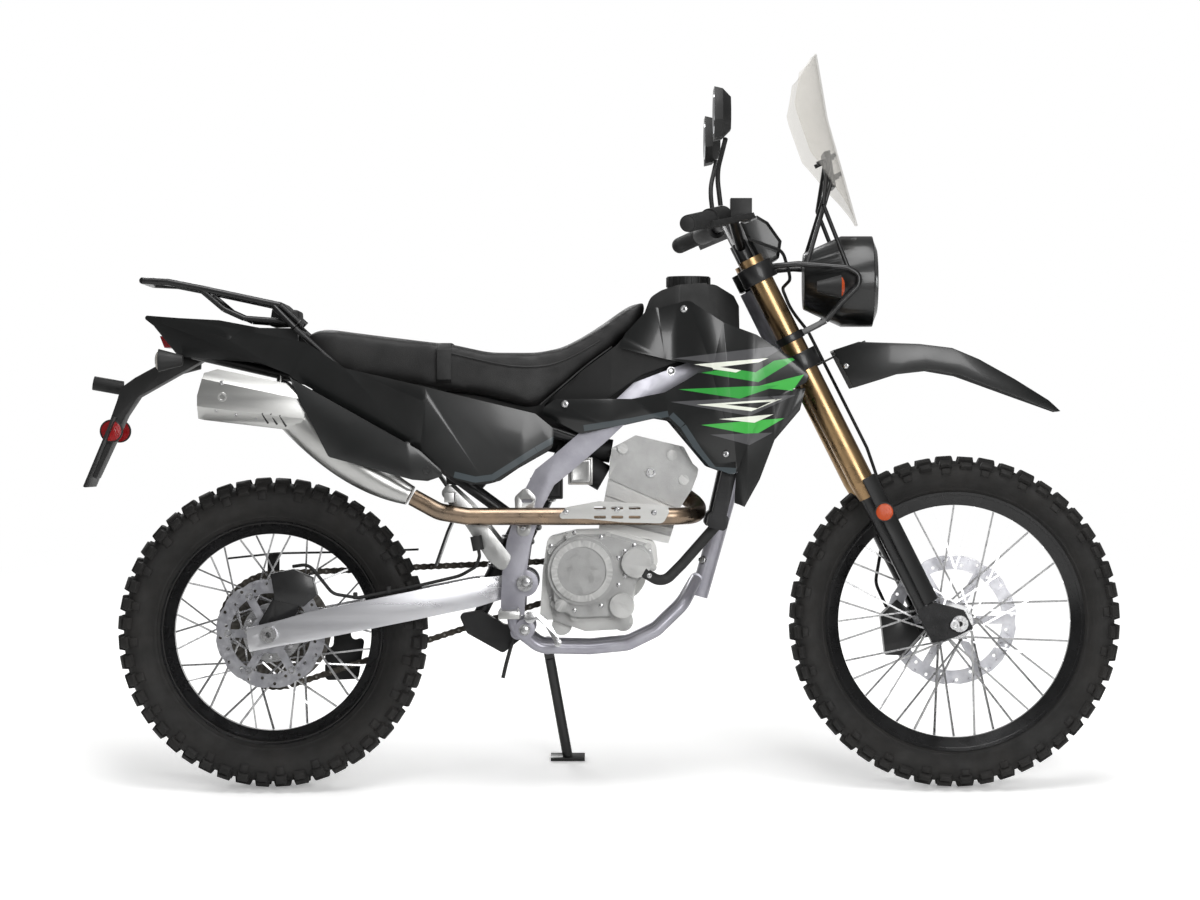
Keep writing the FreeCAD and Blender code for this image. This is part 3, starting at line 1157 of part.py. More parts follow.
def engine_covers():
    """Clutch cover, water pump and oil filter on the right, rotor cover on the left."""
    rotor = drum(ROTOR_RADIUS, CASE_LEFT, CASE_LEFT + ROTOR_STEP, *grid(*ROTOR_SHARES))
    return Part.makeCompound([clutch_cover(), rotor])


RADIATOR_SHARES = [(0.775, 0.208), (0.885, 0.664)]
RADIATOR_DEPTH = 42.0
COLLAR_ROUNDING = 10.0
RADIATOR_IN = 84.0
RADIATOR_OUT = 160.0
RADIATOR_STAY_SHARES = [[(0.880, 0.62, 0.175), (0.870, 0.88, 0.095)], [(0.805, 0.30, 0.175),
                        (0.805, 0.30, 0.0)]]
RADIATOR_STAY_RADIUS = 6.0
CORE_DEPTH = 30.0
TANK_END_SHARE = 0.13
COOLANT_SHARES = [(0.775, 0.220, -0.235), (0.640, 0.075, -0.225), (0.560, 0.0, -0.235),
                  (0.480, 0.045, -0.262)]
COOLANT_RADIUS = 11.0
COOLANT_BEND = 40.0


def radiators():
    """A core between two end tanks, each side of the down tube."""
    low, high = grid_line(RADIATOR_SHARES)
    step = [(high[i] - low[i]) * TANK_END_SHARE for i in range(2)]
    core = side_slab(ribbon([low, high], CORE_DEPTH / 2), RADIATOR_IN, RADIATOR_OUT)
    tanks = [round_slab(ribbon([end, (end[0] + way * step[0], end[1] + way * step[1])], RADIATOR_DEPTH / 2),
                        RADIATOR_IN, RADIATOR_OUT, COLLAR_ROUNDING) for end, way in ((low, 1), (high, -1))]
    frame = main_frame()
    stays = [post(grid_point(*a), grid_point(*b), RADIATOR_STAY_RADIUS, frame)
             for a, b in RADIATOR_STAY_SHARES]
    return Part.makeCompound(both_sides(joined([core] + tanks + stays)))


def coolant_hose():
    """The hose from the foot of the right radiator to the water pump."""
    hose = tube([grid_point(*share) for share in COOLANT_SHARES], COOLANT_RADIUS, COOLANT_BEND)
    return hose.cut(radiators()).cut(engine_covers())


# Exhaust

PIPE_SHARES = [(0.650, 0.335, -0.04), (0.705, 0.296, -0.10), (0.700, 0.262, -0.22),
               (0.612, 0.257, -0.290), (-0.231, 0.257, -0.290), (-0.345, 0.275, -0.288),
               (-0.452, 0.330, -0.278)]
PIPE_RADIUS = 18.0
PIPE_BEND = 60.0
GUARD_SHARES = [(0.127, 0.249), (0.170, 0.293), (0.303, 0.316), (0.598, 0.298), (0.560, 0.231),
                (0.398, 0.235), (0.246, 0.249)]
GUARD_PLATE = 3.0
GUARD_STUD_SHARES = [(0.24, 0.270), (0.50, 0.268)]
GUARD_SLOT_SHARES = [(0.305, 0.255), (0.375, 0.255), (0.445, 0.255), (0.305, 0.290), (0.375, 0.290),
                     (0.445, 0.290)]
GUARD_SLOT_LENGTH = 25.0
GUARD_SLOT_WIDTH = 6.0
GUARD_ROUNDING = 12.0
CONE_SHARES = [(-0.965, 0.680, -0.253), (-0.850, 0.585, -0.254), (-0.640, 0.425, -0.256),
               (-0.462, 0.336, -0.277)]
CONE_RADII = [40.0, 46.0, 38.0, 21.0]
CAN_SHARES = [(-1.316, 0.716), (-1.290, 0.803), (-1.239, 0.818), (-0.962, 0.764), (-0.880, 0.687),
              (-0.885, 0.629), (-0.937, 0.585), (-1.290, 0.624), (-1.316, 0.629)]
CAN_INNER = 78.0
CAN_HANGER_SHARES = [(-1.0, 0.740), (-1.0, 0.803, -0.131)]
CAN_HANGER_RADIUS = 7.0
CAN_OUTER = 184.0
CAN_CHAMFER = 26.0


def exhaust_pipe():
    """The header, out of the head's front and back along the right side."""
    pipe = tube([grid_point(*share) for share in PIPE_SHARES], PIPE_RADIUS, PIPE_BEND)
    return pipe.cut(cylinder())


def heat_guard():
    """A pierced plate held off the header by two studs."""
    outer = PIPE_SHARES[3][2] * FRAME_REACH - PIPE_RADIUS
    low, high = outer - GUARD_STANDOFF - GUARD_PLATE, outer - GUARD_STANDOFF
    plate = round_slab(grid_line(GUARD_SHARES), low, high, GUARD_ROUNDING)
    for share in GUARD_SLOT_SHARES:
        plate = plate.cut(slot(*grid(*share), GUARD_SLOT_LENGTH, GUARD_SLOT_WIDTH, low, high))
    studs = []
    for share in GUARD_STUD_SHARES:
        x, z = grid(*share)
        studs.append(drum(GUARD_PLATE * 2, outer - GUARD_STANDOFF, outer + PIPE_RADIUS / 3, x, z))
    return joined([plate] + studs).cut(exhaust_pipe())


def muffler():
    """A chamfered can with the cone that brings the header to it."""
    can = side_slab(grid_line(CAN_SHARES), -CAN_OUTER, -CAN_INNER)
    can = can.makeChamfer(CAN_CHAMFER, [e for e in can.Edges if e.Length > CAN_CHAMFER * 4 and
                                        abs(e.Vertexes[0].Y - e.Vertexes[1].Y) < FLAT])
    stations = [grid_point(*share) for share in CONE_SHARES]
    rings = []
    for i, (middle, radius) in enumerate(zip(stations, CONE_RADII)):
        along = stations[min(i + 1, len(stations) - 1)] - stations[max(i - 1, 0)]
        rings.append(Part.Wire(Part.makeCircle(radius, middle, along)))
    cone = Part.makeLoft(rings, True, False)
    x, z = grid(*CAN_HANGER_SHARES[0])
    hanger = post(Vector(x, -CAN_INNER - CAN_HANGER_RADIUS, z), grid_point(*CAN_HANGER_SHARES[1]),
                  CAN_HANGER_RADIUS, rear_subframe())
    return joined([can, cone.cut(exhaust_pipe()), hanger])


# Tank, seat and bodywork

TANK_SHARES = [(0.509, 1.094), (0.553, 1.120), (0.620, 1.141), (0.776, 1.152), (0.842, 1.115),
               (0.876, 1.094), (0.878, 0.947), (0.770, 0.901), (0.469, 0.796), (0.323, 0.699),
               (0.206, 0.662), (0.058, 0.662), (0.113, 0.716), (0.246, 0.824), (0.370, 0.909),
               (0.399, 0.940), (0.467, 0.987)]
TANK_PLAN_SHARES = [(0.05, 0.16), (0.35, 0.225), (0.62, 0.262), (0.80, 0.235), (0.88, 0.17)]
TANK_ROUNDING = 30.0
NOSE_SHARE = 0.5
SWING_GAP = 6.0
CAP_SHARES = (0.669, 1.135)
CAP_RADIUS = 45.0
CAP_HEIGHT = 26.0


def tapered_body(side_shares, plan_shares, rounding):
    """A rounded side outline cut to a rounded plan outline that is the same on both sides."""
    plan = [Vector(PIVOT_X + a * FRAME_REACH, b * FRAME_REACH, 0) for a, b in plan_shares]
    outline = plan + [Vector(p.x, -p.y, p.z) for p in plan[::-1]]
    block = round_slab(grid_line(side_shares), -FRAME_REACH, FRAME_REACH, rounding)
    return block.common(round_face(outline, rounding * PLAN_ROUNDING_SHARE).extrude(Vector(0, 0, HEAD_Z * 2)))


def fuel_tank():
    body = tapered_body(TANK_SHARES, TANK_PLAN_SHARES, TANK_ROUNDING)
    return body.cut(cap_room()).cut(steering_room())


def steering_room():
    """The space that the fork swings through, with a wedge behind it left for the tank's nose."""
    low = fork_point(LOW_CLAMP_T - CLAMP_THICKNESS, STEM_S, 0)
    up = fork_point(TUBE_HIGH + CLAMP_THICKNESS, STEM_S, 0) - low
    reach = math.hypot(LEG_Y, LEG_S - STEM_S) + TUBE_RADIUS + CLAMP_WALL + SWING_GAP
    back = fork_point(LOW_CLAMP_T - CLAMP_THICKNESS, STEM_S - reach * 2, 0)
    spread = Y_AXIS * (reach * 2 * NOSE_SHARE)
    nose = face([low, back + spread, back - spread]).extrude(up)
    return rod(low, low + up, reach).cut(nose).fuse(rod(low, low + up, HEAD_RADIUS + CLAMP_WALL + SWING_GAP))


def cap_room():
    x, z = grid(*CAP_SHARES)
    foot = Vector(x, 0, z - SEAT_GAP)
    return Part.makeCylinder(CAP_RADIUS + SEAT_GAP, CAP_HEIGHT * 4, foot, Vector(0, 0, 1))


def fuel_cap():
    x, z = grid(*CAP_SHARES)
    return Part.makeCylinder(CAP_RADIUS, CAP_HEIGHT, Vector(x, 0, z), Vector(0, 0, 1))


SEAT_SHARES = [(-0.915, 0.984), (-0.679, 0.954), (-0.363, 0.917), (-0.311, 0.914), (-0.144, 0.880),
               (0.050, 0.880), (0.148, 0.898), (0.226, 0.935), (0.303, 0.981), (0.471, 1.093),
               (0.505, 1.098), (0.4665, 0.988), (0.396, 0.944), (0.367, 0.912), (0.246, 0.828),
               (0.112, 0.720), (0.057, 0.666), (-0.179, 0.722), (-0.353, 0.744), (-0.583, 0.779),
               (-0.906, 0.833)]
SEAT_PLAN_SHARES = [(-0.92, 0.20), (-0.80, 0.235), (-0.30, 0.245), (0.30, 0.185), (0.51, 0.16)]
SEAT_ROUNDING = 45.0


def seat():
    """One cushion, crowned at the pillion end and narrow where it climbs the tank."""
    return tapered_body(SEAT_SHARES, SEAT_PLAN_SHARES, SEAT_ROUNDING)


SHROUD_SHARES = [(0.509, 1.058), (0.545, 1.051), (0.649, 1.077), (0.671, 1.077), (0.803, 0.994),
                 (0.935, 0.947), (1.100, 0.843), (1.155, 0.776), (1.078, 0.740), (1.012, 0.699),
                 (0.984, 0.723), (0.899, 0.535), (0.852, 0.411), (0.748, 0.446), (0.587, 0.625),
                 (0.530, 0.634), (0.341, 0.594), (0.228, 0.571), (0.052, 0.656), (0.123, 0.705),
                 (0.436, 0.705), (0.568, 0.730), (0.653, 0.776), (0.700, 0.803), (0.800, 0.815),
                 (0.568, 0.857), (0.379, 0.902), (0.398, 0.937), (0.406, 0.953)]
SHROUD_PLAN_SHARES = [(0.02, 0.225), (0.35, 0.262), (0.62, 0.305), (0.90, 0.375), (1.17, 0.420)]
SHROUD_SKIN = 6.0
SHROUD_POST_SHARES = [[(0.640, 1.000, 0.300), (0.640, 1.000, 0.150)], [(0.860, 0.460, 0.360),
                      (0.830, 0.460, 0.290)]]
LOUVRE_SHARES = [(1.108, 0.661), (1.007, 0.548), (0.947, 0.397), (0.887, 0.294), (0.847, 0.310),
                 (0.852, 0.411), (0.899, 0.535), (0.984, 0.723), (1.012, 0.699), (1.078, 0.740),
                 (1.13, 0.745)]
SHROUD_ROUNDING = 14.0


def plan_wall(plan_shares, skin, inset=0.0):
    """A standing wall that follows a line in plan, left side."""
    centre = [(PIVOT_X + a * FRAME_REACH, b * FRAME_REACH - inset - skin / 2) for a, b in plan_shares]
    return plan_slab(ribbon(centre, skin / 2), 0, HEAD_Z * 2)


def shrouds():
    """A radiator shroud each side, with the deeper louvre box inside its front edge."""
    outer = round_slab(grid_line(SHROUD_SHARES), 0, FRAME_REACH, SHROUD_ROUNDING)
    outer = outer.common(plan_wall(SHROUD_PLAN_SHARES, SHROUD_SKIN))
    inner = side_slab(grid_line(LOUVRE_SHARES), 0, FRAME_REACH).common(
        plan_wall(SHROUD_PLAN_SHARES, SHROUD_SKIN, SHROUD_SKIN))
    upper = [grid_point(*share) for share in SHROUD_POST_SHARES[0]]
    lower = [grid_point(*share) for share in SHROUD_POST_SHARES[1]]
    posts = [post(*upper, PANEL_POST_RADIUS, fuel_tank()), post(*lower, PANEL_POST_RADIUS, radiators())]
    return Part.makeCompound(both_sides(joined([outer, inner] + posts)))


PANEL_SHARES = [(-1.537, 1.019), (-1.373, 1.011), (-1.147, 0.968), (-0.880, 0.919), (-0.726, 0.822),
                (-0.418, 0.755), (-0.228, 0.710), (0.045, 0.648), (0.120, 0.590), (0.113, 0.518),
                (-0.038, 0.437), (-0.114, 0.388), (-0.152, 0.379), (-0.209, 0.379), (-0.275, 0.397),
                (-0.332, 0.437), (-0.418, 0.509), (-0.937, 0.784), (-0.952, 0.798)]
PANEL_PLAN_SHARES = [(-1.56, 0.185), (-1.25, 0.235), (-0.85, 0.300), (-0.40, 0.330), (0.0, 0.320),
                     (0.30, 0.262)]
PANEL_SKIN = 6.0
PANEL_ROUNDING = 12.0
LOWER_COVER_SHARES = [(-0.948, 0.796), (-0.937, 0.782), (-0.418, 0.507), (-0.336, 0.436),
                      (-0.326, 0.412), (-0.387, 0.392), (-0.449, 0.397), (-0.786, 0.484),
                      (-0.870, 0.640), (-0.899, 0.687)]
PANEL_POST_SHARES = [[(-1.20, 0.945, 0.245), (-1.20, 0.930, 0.172)], [(-0.40, 0.703, 0.330),
                     (-0.40, 0.703, 0.158)]]
PANEL_POST_RADIUS = 6.0
COVER_POST_SHARES = [(-0.47, 0.531, 0.375), (-0.47, 0.531, 0.165)]
COVER_PLAN_SHARES = [(-1.0, 0.375), (-0.30, 0.375)]


def side_panels():
    """A tail and side panel each side, and the heat cover below the right one."""
    panel = round_slab(grid_line(PANEL_SHARES), 0, FRAME_REACH, PANEL_ROUNDING)
    panel = panel.common(plan_wall(PANEL_PLAN_SHARES, PANEL_SKIN))
    cover = round_slab(grid_line(LOWER_COVER_SHARES), 0, FRAME_REACH, PANEL_ROUNDING)
    cover = cover.common(plan_wall(COVER_PLAN_SHARES, PANEL_SKIN))
    rails = rear_subframe()
    carriers = rails.fuse(rear_fender())
    panel = joined([panel] + [post(grid_point(*a), grid_point(*b), PANEL_POST_RADIUS, carriers)
                              for a, b in PANEL_POST_SHARES])
    a, b = COVER_POST_SHARES
    cover = joined([cover, post(grid_point(*a), grid_point(*b), PANEL_POST_RADIUS, rails)])
    return Part.makeCompound(both_sides(panel) + [flipped(cover)])


TAIL_SHARES = [(-1.577, 1.031), (-1.414, 1.018), (-1.246, 1.009), (-1.078, 0.979), (-0.920, 0.977),
               (-0.920, 0.840), (-1.151, 0.850), (-1.414, 0.870), (-1.519, 0.989)]
TAIL_PLAN_SHARES = [(-1.60, 0.10), (-1.40, 0.15), (-1.10, 0.19), (-0.90, 0.20)]
TAIL_ROUNDING = 6.0
FLAP_SHARES = [(-1.26, 1.000), (-1.12, 0.868), (-0.95, 0.745), (-0.62, 0.660), (-0.42, 0.50),
               (-0.27, 0.30), (-0.319, 0.194), (-0.368, 0.062)]
FLAP_HALF = 62.0


def rear_fender():
    """The tail shell over the rails, open below, and the strip over the tyre."""
    tail = tapered_body(TAIL_SHARES, TAIL_PLAN_SHARES, TAIL_ROUNDING)
    inner = [(a + (SKIN / FRAME_REACH), b) for a, b in TAIL_SHARES]
    lowered = [(PIVOT_X + a * FRAME_REACH, PIVOT_Z + b * FRAME_RISE - SKIN * 2) for a, b in inner]
    plan = [(PIVOT_X + a * FRAME_REACH + SKIN, b * FRAME_REACH - SKIN) for a, b in TAIL_PLAN_SHARES]
    room = side_slab(lowered, -FRAME_REACH, FRAME_REACH).common(
        plan_slab(plan + [(x, -y) for x, y in plan[::-1]], 0, HEAD_Z * 2))
    flap = side_slab(ribbon(grid_line(FLAP_SHARES), SKIN / 2), -FLAP_HALF, FLAP_HALF)
    return joined([tail.cut(room), flap]).cut(rear_subframe())


LIGHT_SHARES = [(-1.498, 0.950), (-1.440, 0.950), (-1.430, 0.905), (-1.479, 0.905)]
LIGHT_HALF = 44.0
LIGHT_POST_SHARES = [(-1.460, 0.930, 0.0), (-1.460, 1.008, 0.0)]
LIGHT_POST_RADIUS = 12.0
REAR_SIGNAL_SHARES = (-1.423, 0.850)


def rear_lights():
    """The tail lamp under the tail's tip, and a signal lamp each side."""
    lamp = side_slab(grid_line(LIGHT_SHARES), -LIGHT_HALF, LIGHT_HALF)
    foot, head = [grid_point(*share) for share in LIGHT_POST_SHARES]
    lamp = joined([lamp, post(foot, head, LIGHT_POST_RADIUS, rear_fender())])
    x, z = grid(*REAR_SIGNAL_SHARES)
    pair = both_sides(signal(x, z, HOLDER_HALF + SEAT_GAP, -1))
    return Part.makeCompound([lamp] + pair)


HOLDER_SHARES = [(-1.42, 0.874), (-1.30, 0.868), (-1.43, 0.800), (-1.589, 0.715), (-1.641, 0.641),
                 (-1.760, 0.40), (-1.785, 0.41), (-1.675, 0.70), (-1.66, 0.75), (-1.60, 0.79),
                 (-1.46, 0.862)]
HOLDER_HALF = 36.0
PLATE_SHARES = [(-1.800, 0.370), (-1.680, 0.640), (-1.672, 0.636), (-1.792, 0.366)]
PLATE_HALF = 90.0
PLATE_HOLE_SPACING = 146.0
PLATE_HOLE_RADIUS = 3.5
PLATE_HOLE_DROP = 14.0
PLATE_ARM_SHARES = [(-1.66, 0.750), (-1.78, 0.770)]


def plate_holes():
    """Place and normal of each of the two holes near the plate's upper edge."""
    corners = [Vector(x, 0, z) for x, z in grid_line(PLATE_SHARES)]
    along = (corners[1] - corners[0]).normalize()
    normal = along.cross(Y_AXIS)
    middle = (corners[1] + corners[2]) / 2 - along * PLATE_HOLE_DROP
    return [(middle + Y_AXIS * side * PLATE_HOLE_SPACING / 2, normal) for side in (-1, 1)]


def plate_holder():
    """The arm below the tail lamp with its blank number plate."""
    arm = side_slab(grid_line(HOLDER_SHARES), -HOLDER_HALF, HOLDER_HALF)
    plate = side_slab(grid_line(PLATE_SHARES), -PLATE_HALF, PLATE_HALF)
    a, b = grid_line(PLATE_ARM_SHARES)
    light = rod(Vector(a[0], 0, a[1]), Vector(b[0], 0, b[1]), CROSS_TUBE_RADIUS)
    whole = joined([arm, plate, light]).cut(rear_subframe())
    for point, normal in plate_holes():
        whole = whole.cut(rod(point - normal * HOLDER_HALF, point + normal * HOLDER_HALF, PLATE_HOLE_RADIUS))
    return whole


RACK_TOP_SHARES = [(-1.556, 1.160), (-1.452, 1.155), (-1.307, 1.128), (-0.996, 1.065), (-0.976, 1.048),
                   (-0.92, 1.0)]
RACK_SIDE_SHARES = [(-1.025, 1.064, 0.187), (-0.930, 0.975, 0.258), (-0.740, 0.815, 0.262),
                    (-0.735, 0.758, 0.250), (-0.735, 0.7535, 0.143)]
RACK_LOW_SHARES = [(-1.312, 1.120, 0.187), (-1.224, 1.050, 0.187), (-1.141, 1.015, 0.187),
                   (-0.960, 1.002, 0.187)]
RACK_RADIUS = 7.0
RACK_STRUT_RADIUS = 6.0
RACK_Y = 96.0
RACK_PLATE = 4.0
RACK_PLATE_SHARES = [[(-1.500, 1.158), (-1.410, 1.149)], [(-1.250, 1.118), (-1.040, 1.076)]]
RACK_PLATE_HALF = 90.0


def rear_rack():
    """A luggage rack of round tube with a cross plate, on struts to the seat rails."""
    top = [Vector(x, RACK_Y, z) for x, z in grid_line(RACK_TOP_SHARES)]
    side = [rod(a, b, RACK_RADIUS) for a, b in zip(top, top[1:])]
    for shares in (RACK_SIDE_SHARES, RACK_LOW_SHARES):
        line = [grid_point(*share) for share in shares]
        side += [rod(a, b, RACK_STRUT_RADIUS) for a, b in zip(line, line[1:])]
    side = joined(side).cut(rear_subframe())
    crosses = [rod(Vector(p.x, -p.y, p.z), p, RACK_RADIUS) for p in (top[0], top[2], top[3])]
    plates = [side_slab(ribbon(grid_line(shares), RACK_PLATE / 2), -RACK_PLATE_HALF, RACK_PLATE_HALF)
              for shares in RACK_PLATE_SHARES]
    return joined([side, flipped(side)] + crosses + plates)


# Running gear

PEG_SHARES = (-0.060, -0.10)
PEG_LENGTH = 96.0
PEG_WIDTH = 44.0
PEG_THICKNESS = 16.0
HANGER_SHARES = [(-0.312, 0.384), (-0.342, 0.345), (-0.235, 0.215), (-0.150, 0.090), (-0.085, 0.040),
                 (-0.052, 0.10), (-0.219, 0.301)]
HANGER_PLATE = 7.0
HANGER_ROUNDING = 12.0
HEEL_SHARES = [(-0.030, 0.180), (-0.042, 0.330), (0.005, 0.372), (0.046, 0.330), (0.020, 0.180)]
HEEL_PLATE = 4.0
HEEL_SLOT_SHARES = [(-0.006, 0.225), (0.002, 0.270), (0.008, 0.315)]
HEEL_SLOT_LENGTH = 22.0
HEEL_SLOT_WIDTH = 7.0
PILLION_SHARES = (-0.30, 0.33)
PILLION_LENGTH = 84.0
PILLION_SIZE = 20.0
PILLION_SEAT = 1.0


def footpegs():
    """A rider's peg, a slotted heel plate and a pillion peg on its hanger, each side."""
    outer = FRAME_REACH * SPAR_PLAN_SHARES[-1][1] + SPAR_WIDTH / 2 + SEAT_GAP
    x, z = grid(*PEG_SHARES)
    peg = Part.makeBox(PEG_WIDTH, PEG_LENGTH, PEG_THICKNESS,
                       Vector(x - PEG_WIDTH / 2, outer, z - PEG_THICKNESS))
    hanger = round_slab(grid_line(HANGER_SHARES), outer, outer + HANGER_PLATE, HANGER_ROUNDING)
    heel = round_slab(grid_line(HEEL_SHARES), outer, outer + HEEL_PLATE, HANGER_ROUNDING)
    for share in HEEL_SLOT_SHARES:
        heel = heel.cut(slot(*grid(*share), HEEL_SLOT_LENGTH, HEEL_SLOT_WIDTH, outer, outer + HEEL_PLATE))
    x, z = grid(*PILLION_SHARES)
    pillion = Part.makeBox(PILLION_SIZE, PILLION_LENGTH, PILLION_SIZE,
                           Vector(x - PILLION_SIZE / 2, outer + HANGER_PLATE - PILLION_SEAT,
                                  z - PILLION_SIZE / 2))
    pieces = (peg, heel, hanger.fuse(pillion))
    return Part.makeCompound([half for piece in pieces for half in both_sides(piece)])


BRAKE_PEDAL_SHARES = [(0.022, -0.130), (0.059, -0.128), (0.093, -0.155), (0.135, -0.225)]
SHIFT_LEVER_SHARES = [(0.130, -0.110), (0.20, -0.105), (0.360, -0.170)]
PEDAL_HALF = 6.0
PEDAL_Y = 128.0
PEDAL_WIDTH = 10.0
PEDAL_TIP = 34.0
PEDAL_TIP_RADIUS = 8.0


def pedals():
    """Brake pedal on the right and gear lever on the left."""
    shapes = []
    plate = PLATE_INNER_Y + SPAR_WIDTH + SEAT_GAP
    for shares, side, root in ((BRAKE_PEDAL_SHARES, -1, plate), (SHIFT_LEVER_SHARES, 1, CASE_LEFT)):
        line = grid_line(shares)
        arm = side_slab(ribbon(line, PEDAL_HALF), PEDAL_Y, PEDAL_Y + PEDAL_WIDTH)
        tip = drum(PEDAL_TIP_RADIUS, PEDAL_Y, PEDAL_Y + PEDAL_TIP, *line[-1])
        pivot = drum(PEDAL_HALF * 2, root, PEDAL_Y + PEDAL_WIDTH, *line[0])
        whole = joined([arm, tip, pivot])
        shapes.append(whole if side > 0 else flipped(whole))
    return Part.makeCompound(shapes)


SHOCK_TOP_SHARES = (0.125, 0.455)
SHOCK_LOW_SHARES = (-0.200, -0.150)
SHOCK_RADIUS = 14.0
SPRING_RADIUS = 29.0
SPRING_SHARES = (0.22, 0.86)
ROCKER_SHARES = [(-0.276, -0.125), (-0.183, -0.110), (-0.090, -0.165), (-0.010, -0.175),
                 (-0.010, -0.215), (-0.093, -0.277), (-0.240, -0.200)]
ROCKER_HALF = 22.0
ROCKER_ROUNDING = 9.0


def rear_shock():
    """Damper and spring from the frame's cross tube down to the rocker of its linkage."""
    a, b = grid(*SHOCK_LOW_SHARES), grid(*SHOCK_TOP_SHARES)
    low, high = Vector(a[0], 0, a[1]), Vector(b[0], 0, b[1])
    along = high - low
    damper = post(low, high, SHOCK_RADIUS, main_frame())
    spring = rod(low + along * SPRING_SHARES[0], low + along * SPRING_SHARES[1], SPRING_RADIUS)
    rocker = round_slab(grid_line(ROCKER_SHARES), -ROCKER_HALF, ROCKER_HALF, ROCKER_ROUNDING)
    return joined([damper, spring, rocker]).cut(main_frame())


def chain():
    """The chain as one loop round both sprockets, and the front sprocket."""
    low = SPROCKET_Y - CHAIN_WIDTH / 2
    dx, dz = SPROCKET_X, SPROCKET_Z - REAR_TYRE_RADIUS
    span = math.hypot(dx, dz)
    lower = math.atan2(dz, dx) + math.asin((REAR_PITCH_RADIUS - FRONT_PITCH_RADIUS) / span)
    upper = math.atan2(dz, dx) - math.asin((REAR_PITCH_RADIUS - FRONT_PITCH_RADIUS) / span)

    def loop(offset, y_low, y_high):
        rear, front = REAR_PITCH_RADIUS + offset, FRONT_PITCH_RADIUS + offset
        up = math.pi / 2 + upper
        down = -math.pi / 2 + lower

        def on(cx, cz, radius, angle):
            return Vector(cx + radius * math.cos(angle), y_low, cz + radius * math.sin(angle))

        a, b = on(0, REAR_TYRE_RADIUS, rear, up), on(0, REAR_TYRE_RADIUS, rear, down)
        c, d = on(SPROCKET_X, SPROCKET_Z, front, down), on(SPROCKET_X, SPROCKET_Z, front, up)
        back = on(0, REAR_TYRE_RADIUS, rear, (up + down) / 2 + math.pi)
        nose = on(SPROCKET_X, SPROCKET_Z, front, (up + down) / 2)
        wire = Part.Wire([Part.Arc(a, back, b).toShape(), Part.LineSegment(b, c).toShape(),
                          Part.Arc(c, nose, d).toShape(), Part.LineSegment(d, a).toShape()])
        return Part.Face(wire).extrude(Vector(0, y_high - y_low, 0))

    high = SPROCKET_Y + CHAIN_WIDTH / 2
    inside = loop(RUN_GAP - ROLLER_RADIUS, low - CUT_OVERRUN, high + CUT_OVERRUN)
    band = loop(CHAIN_PLATE_HEIGHT / 2, low, high).cut(inside)
    shaft = drum(FRONT_AXLE_RADIUS, CASE_LEFT, SPROCKET_Y + SPROCKET_THICKNESS, SPROCKET_X, SPROCKET_Z)
    drive = sprocket(FRONT_TEETH, FRONT_PITCH_RADIUS - RUN_GAP, SPROCKET_X, SPROCKET_Z, FRONT_AXLE_RADIUS)
    return Part.makeCompound([band, drive.fuse(shaft)])


CHAIN_GUARD_SHARES = [(-1.24, 0.085), (-1.04, 0.105), (-0.75, 0.110), (-0.45, 0.120)]
CHAIN_GUARD_INNER = 66.0
CHAIN_GUARD_OUTER = 96.0
GUARD_TAB_SHARES = [[(-0.62, 0.112), (-0.57, 0.112), (-0.57, -0.06), (-0.62, -0.06)], [(-1.08, 0.100),
                    (-1.03, 0.102), (-1.03, -0.14), (-1.08, -0.14)]]
GUIDE_SHARES = [(-0.840, -0.270), (-0.805, -0.262), (-0.800, -0.170), (-0.735, -0.165),
                (-0.730, -0.240), (-0.673, -0.222), (-0.701, -0.389), (-0.840, -0.395)]
GUIDE_PLATE = 4.0
GUIDE_ROUNDING = 10.0


def chain_guard():
    """A cover over the chain's upper run, and the guide outside its lower run."""
    band = ribbon(grid_line(CHAIN_GUARD_SHARES), GUARD_THICKNESS / 2)
    top = side_slab(band, CHAIN_GUARD_INNER, CHAIN_GUARD_OUTER)
    tabs = [side_slab(grid_line(shares), CHAIN_GUARD_OUTER - GUARD_THICKNESS, CHAIN_GUARD_OUTER)
            for shares in GUARD_TAB_SHARES]
    arm_inner = ARM_REAR_Y - ARM_WIDTH / 2 - SEAT_GAP
    guide = round_slab(grid_line(GUIDE_SHARES), arm_inner - GUIDE_PLATE, arm_inner, GUIDE_ROUNDING)
    return Part.makeCompound([joined([top] + tabs).cut(swingarm()), guide])


REAR_CALIPER_SHARES = [(0.02, 1.10), (0.42, 1.18), (0.78, 1.02), (0.86, 0.72), (0.62, 0.50), (0.10, 0.62)]
CALIPER_BRACKET_SHARES = [(0.15, 0.80), (0.68, 0.80), (0.24, -0.14), (-0.16, -0.14), (-0.20, 0.20)]
CALIPER_BRACKET_PLATE = 10.0
REAR_CALIPER_INNER = 56.0
REAR_CALIPER_OUTER = 104.0


def disc_line(shares):
    """Places in side view, as shares of the rear disc's radius from the rear axle."""
    return [(a * REAR_DISC_RADIUS, REAR_TYRE_RADIUS + b * REAR_DISC_RADIUS) for a, b in shares]


def rear_caliper():
    """A caliper over the rear disc, above the right arm."""
    body = side_slab(disc_line(REAR_CALIPER_SHARES), -REAR_CALIPER_OUTER, -REAR_CALIPER_INNER)
    body = body.cut(drum(REAR_DISC_RADIUS + DISC_GAP, -REAR_DISC_Y - DISC_THICKNESS / 2 - DISC_GAP,
                         -REAR_DISC_Y + DISC_THICKNESS / 2 + DISC_GAP, 0, REAR_TYRE_RADIUS))
    arm_inner = ARM_REAR_Y - ARM_WIDTH / 2 - SEAT_GAP
    bracket = side_slab(disc_line(CALIPER_BRACKET_SHARES), -arm_inner, CALIPER_BRACKET_PLATE - arm_inner)
    return body.fuse(bracket).cut(drum(REAR_AXLE_RADIUS + SEAT_GAP, -PIVOT_X, PIVOT_X, 0, REAR_TYRE_RADIUS))


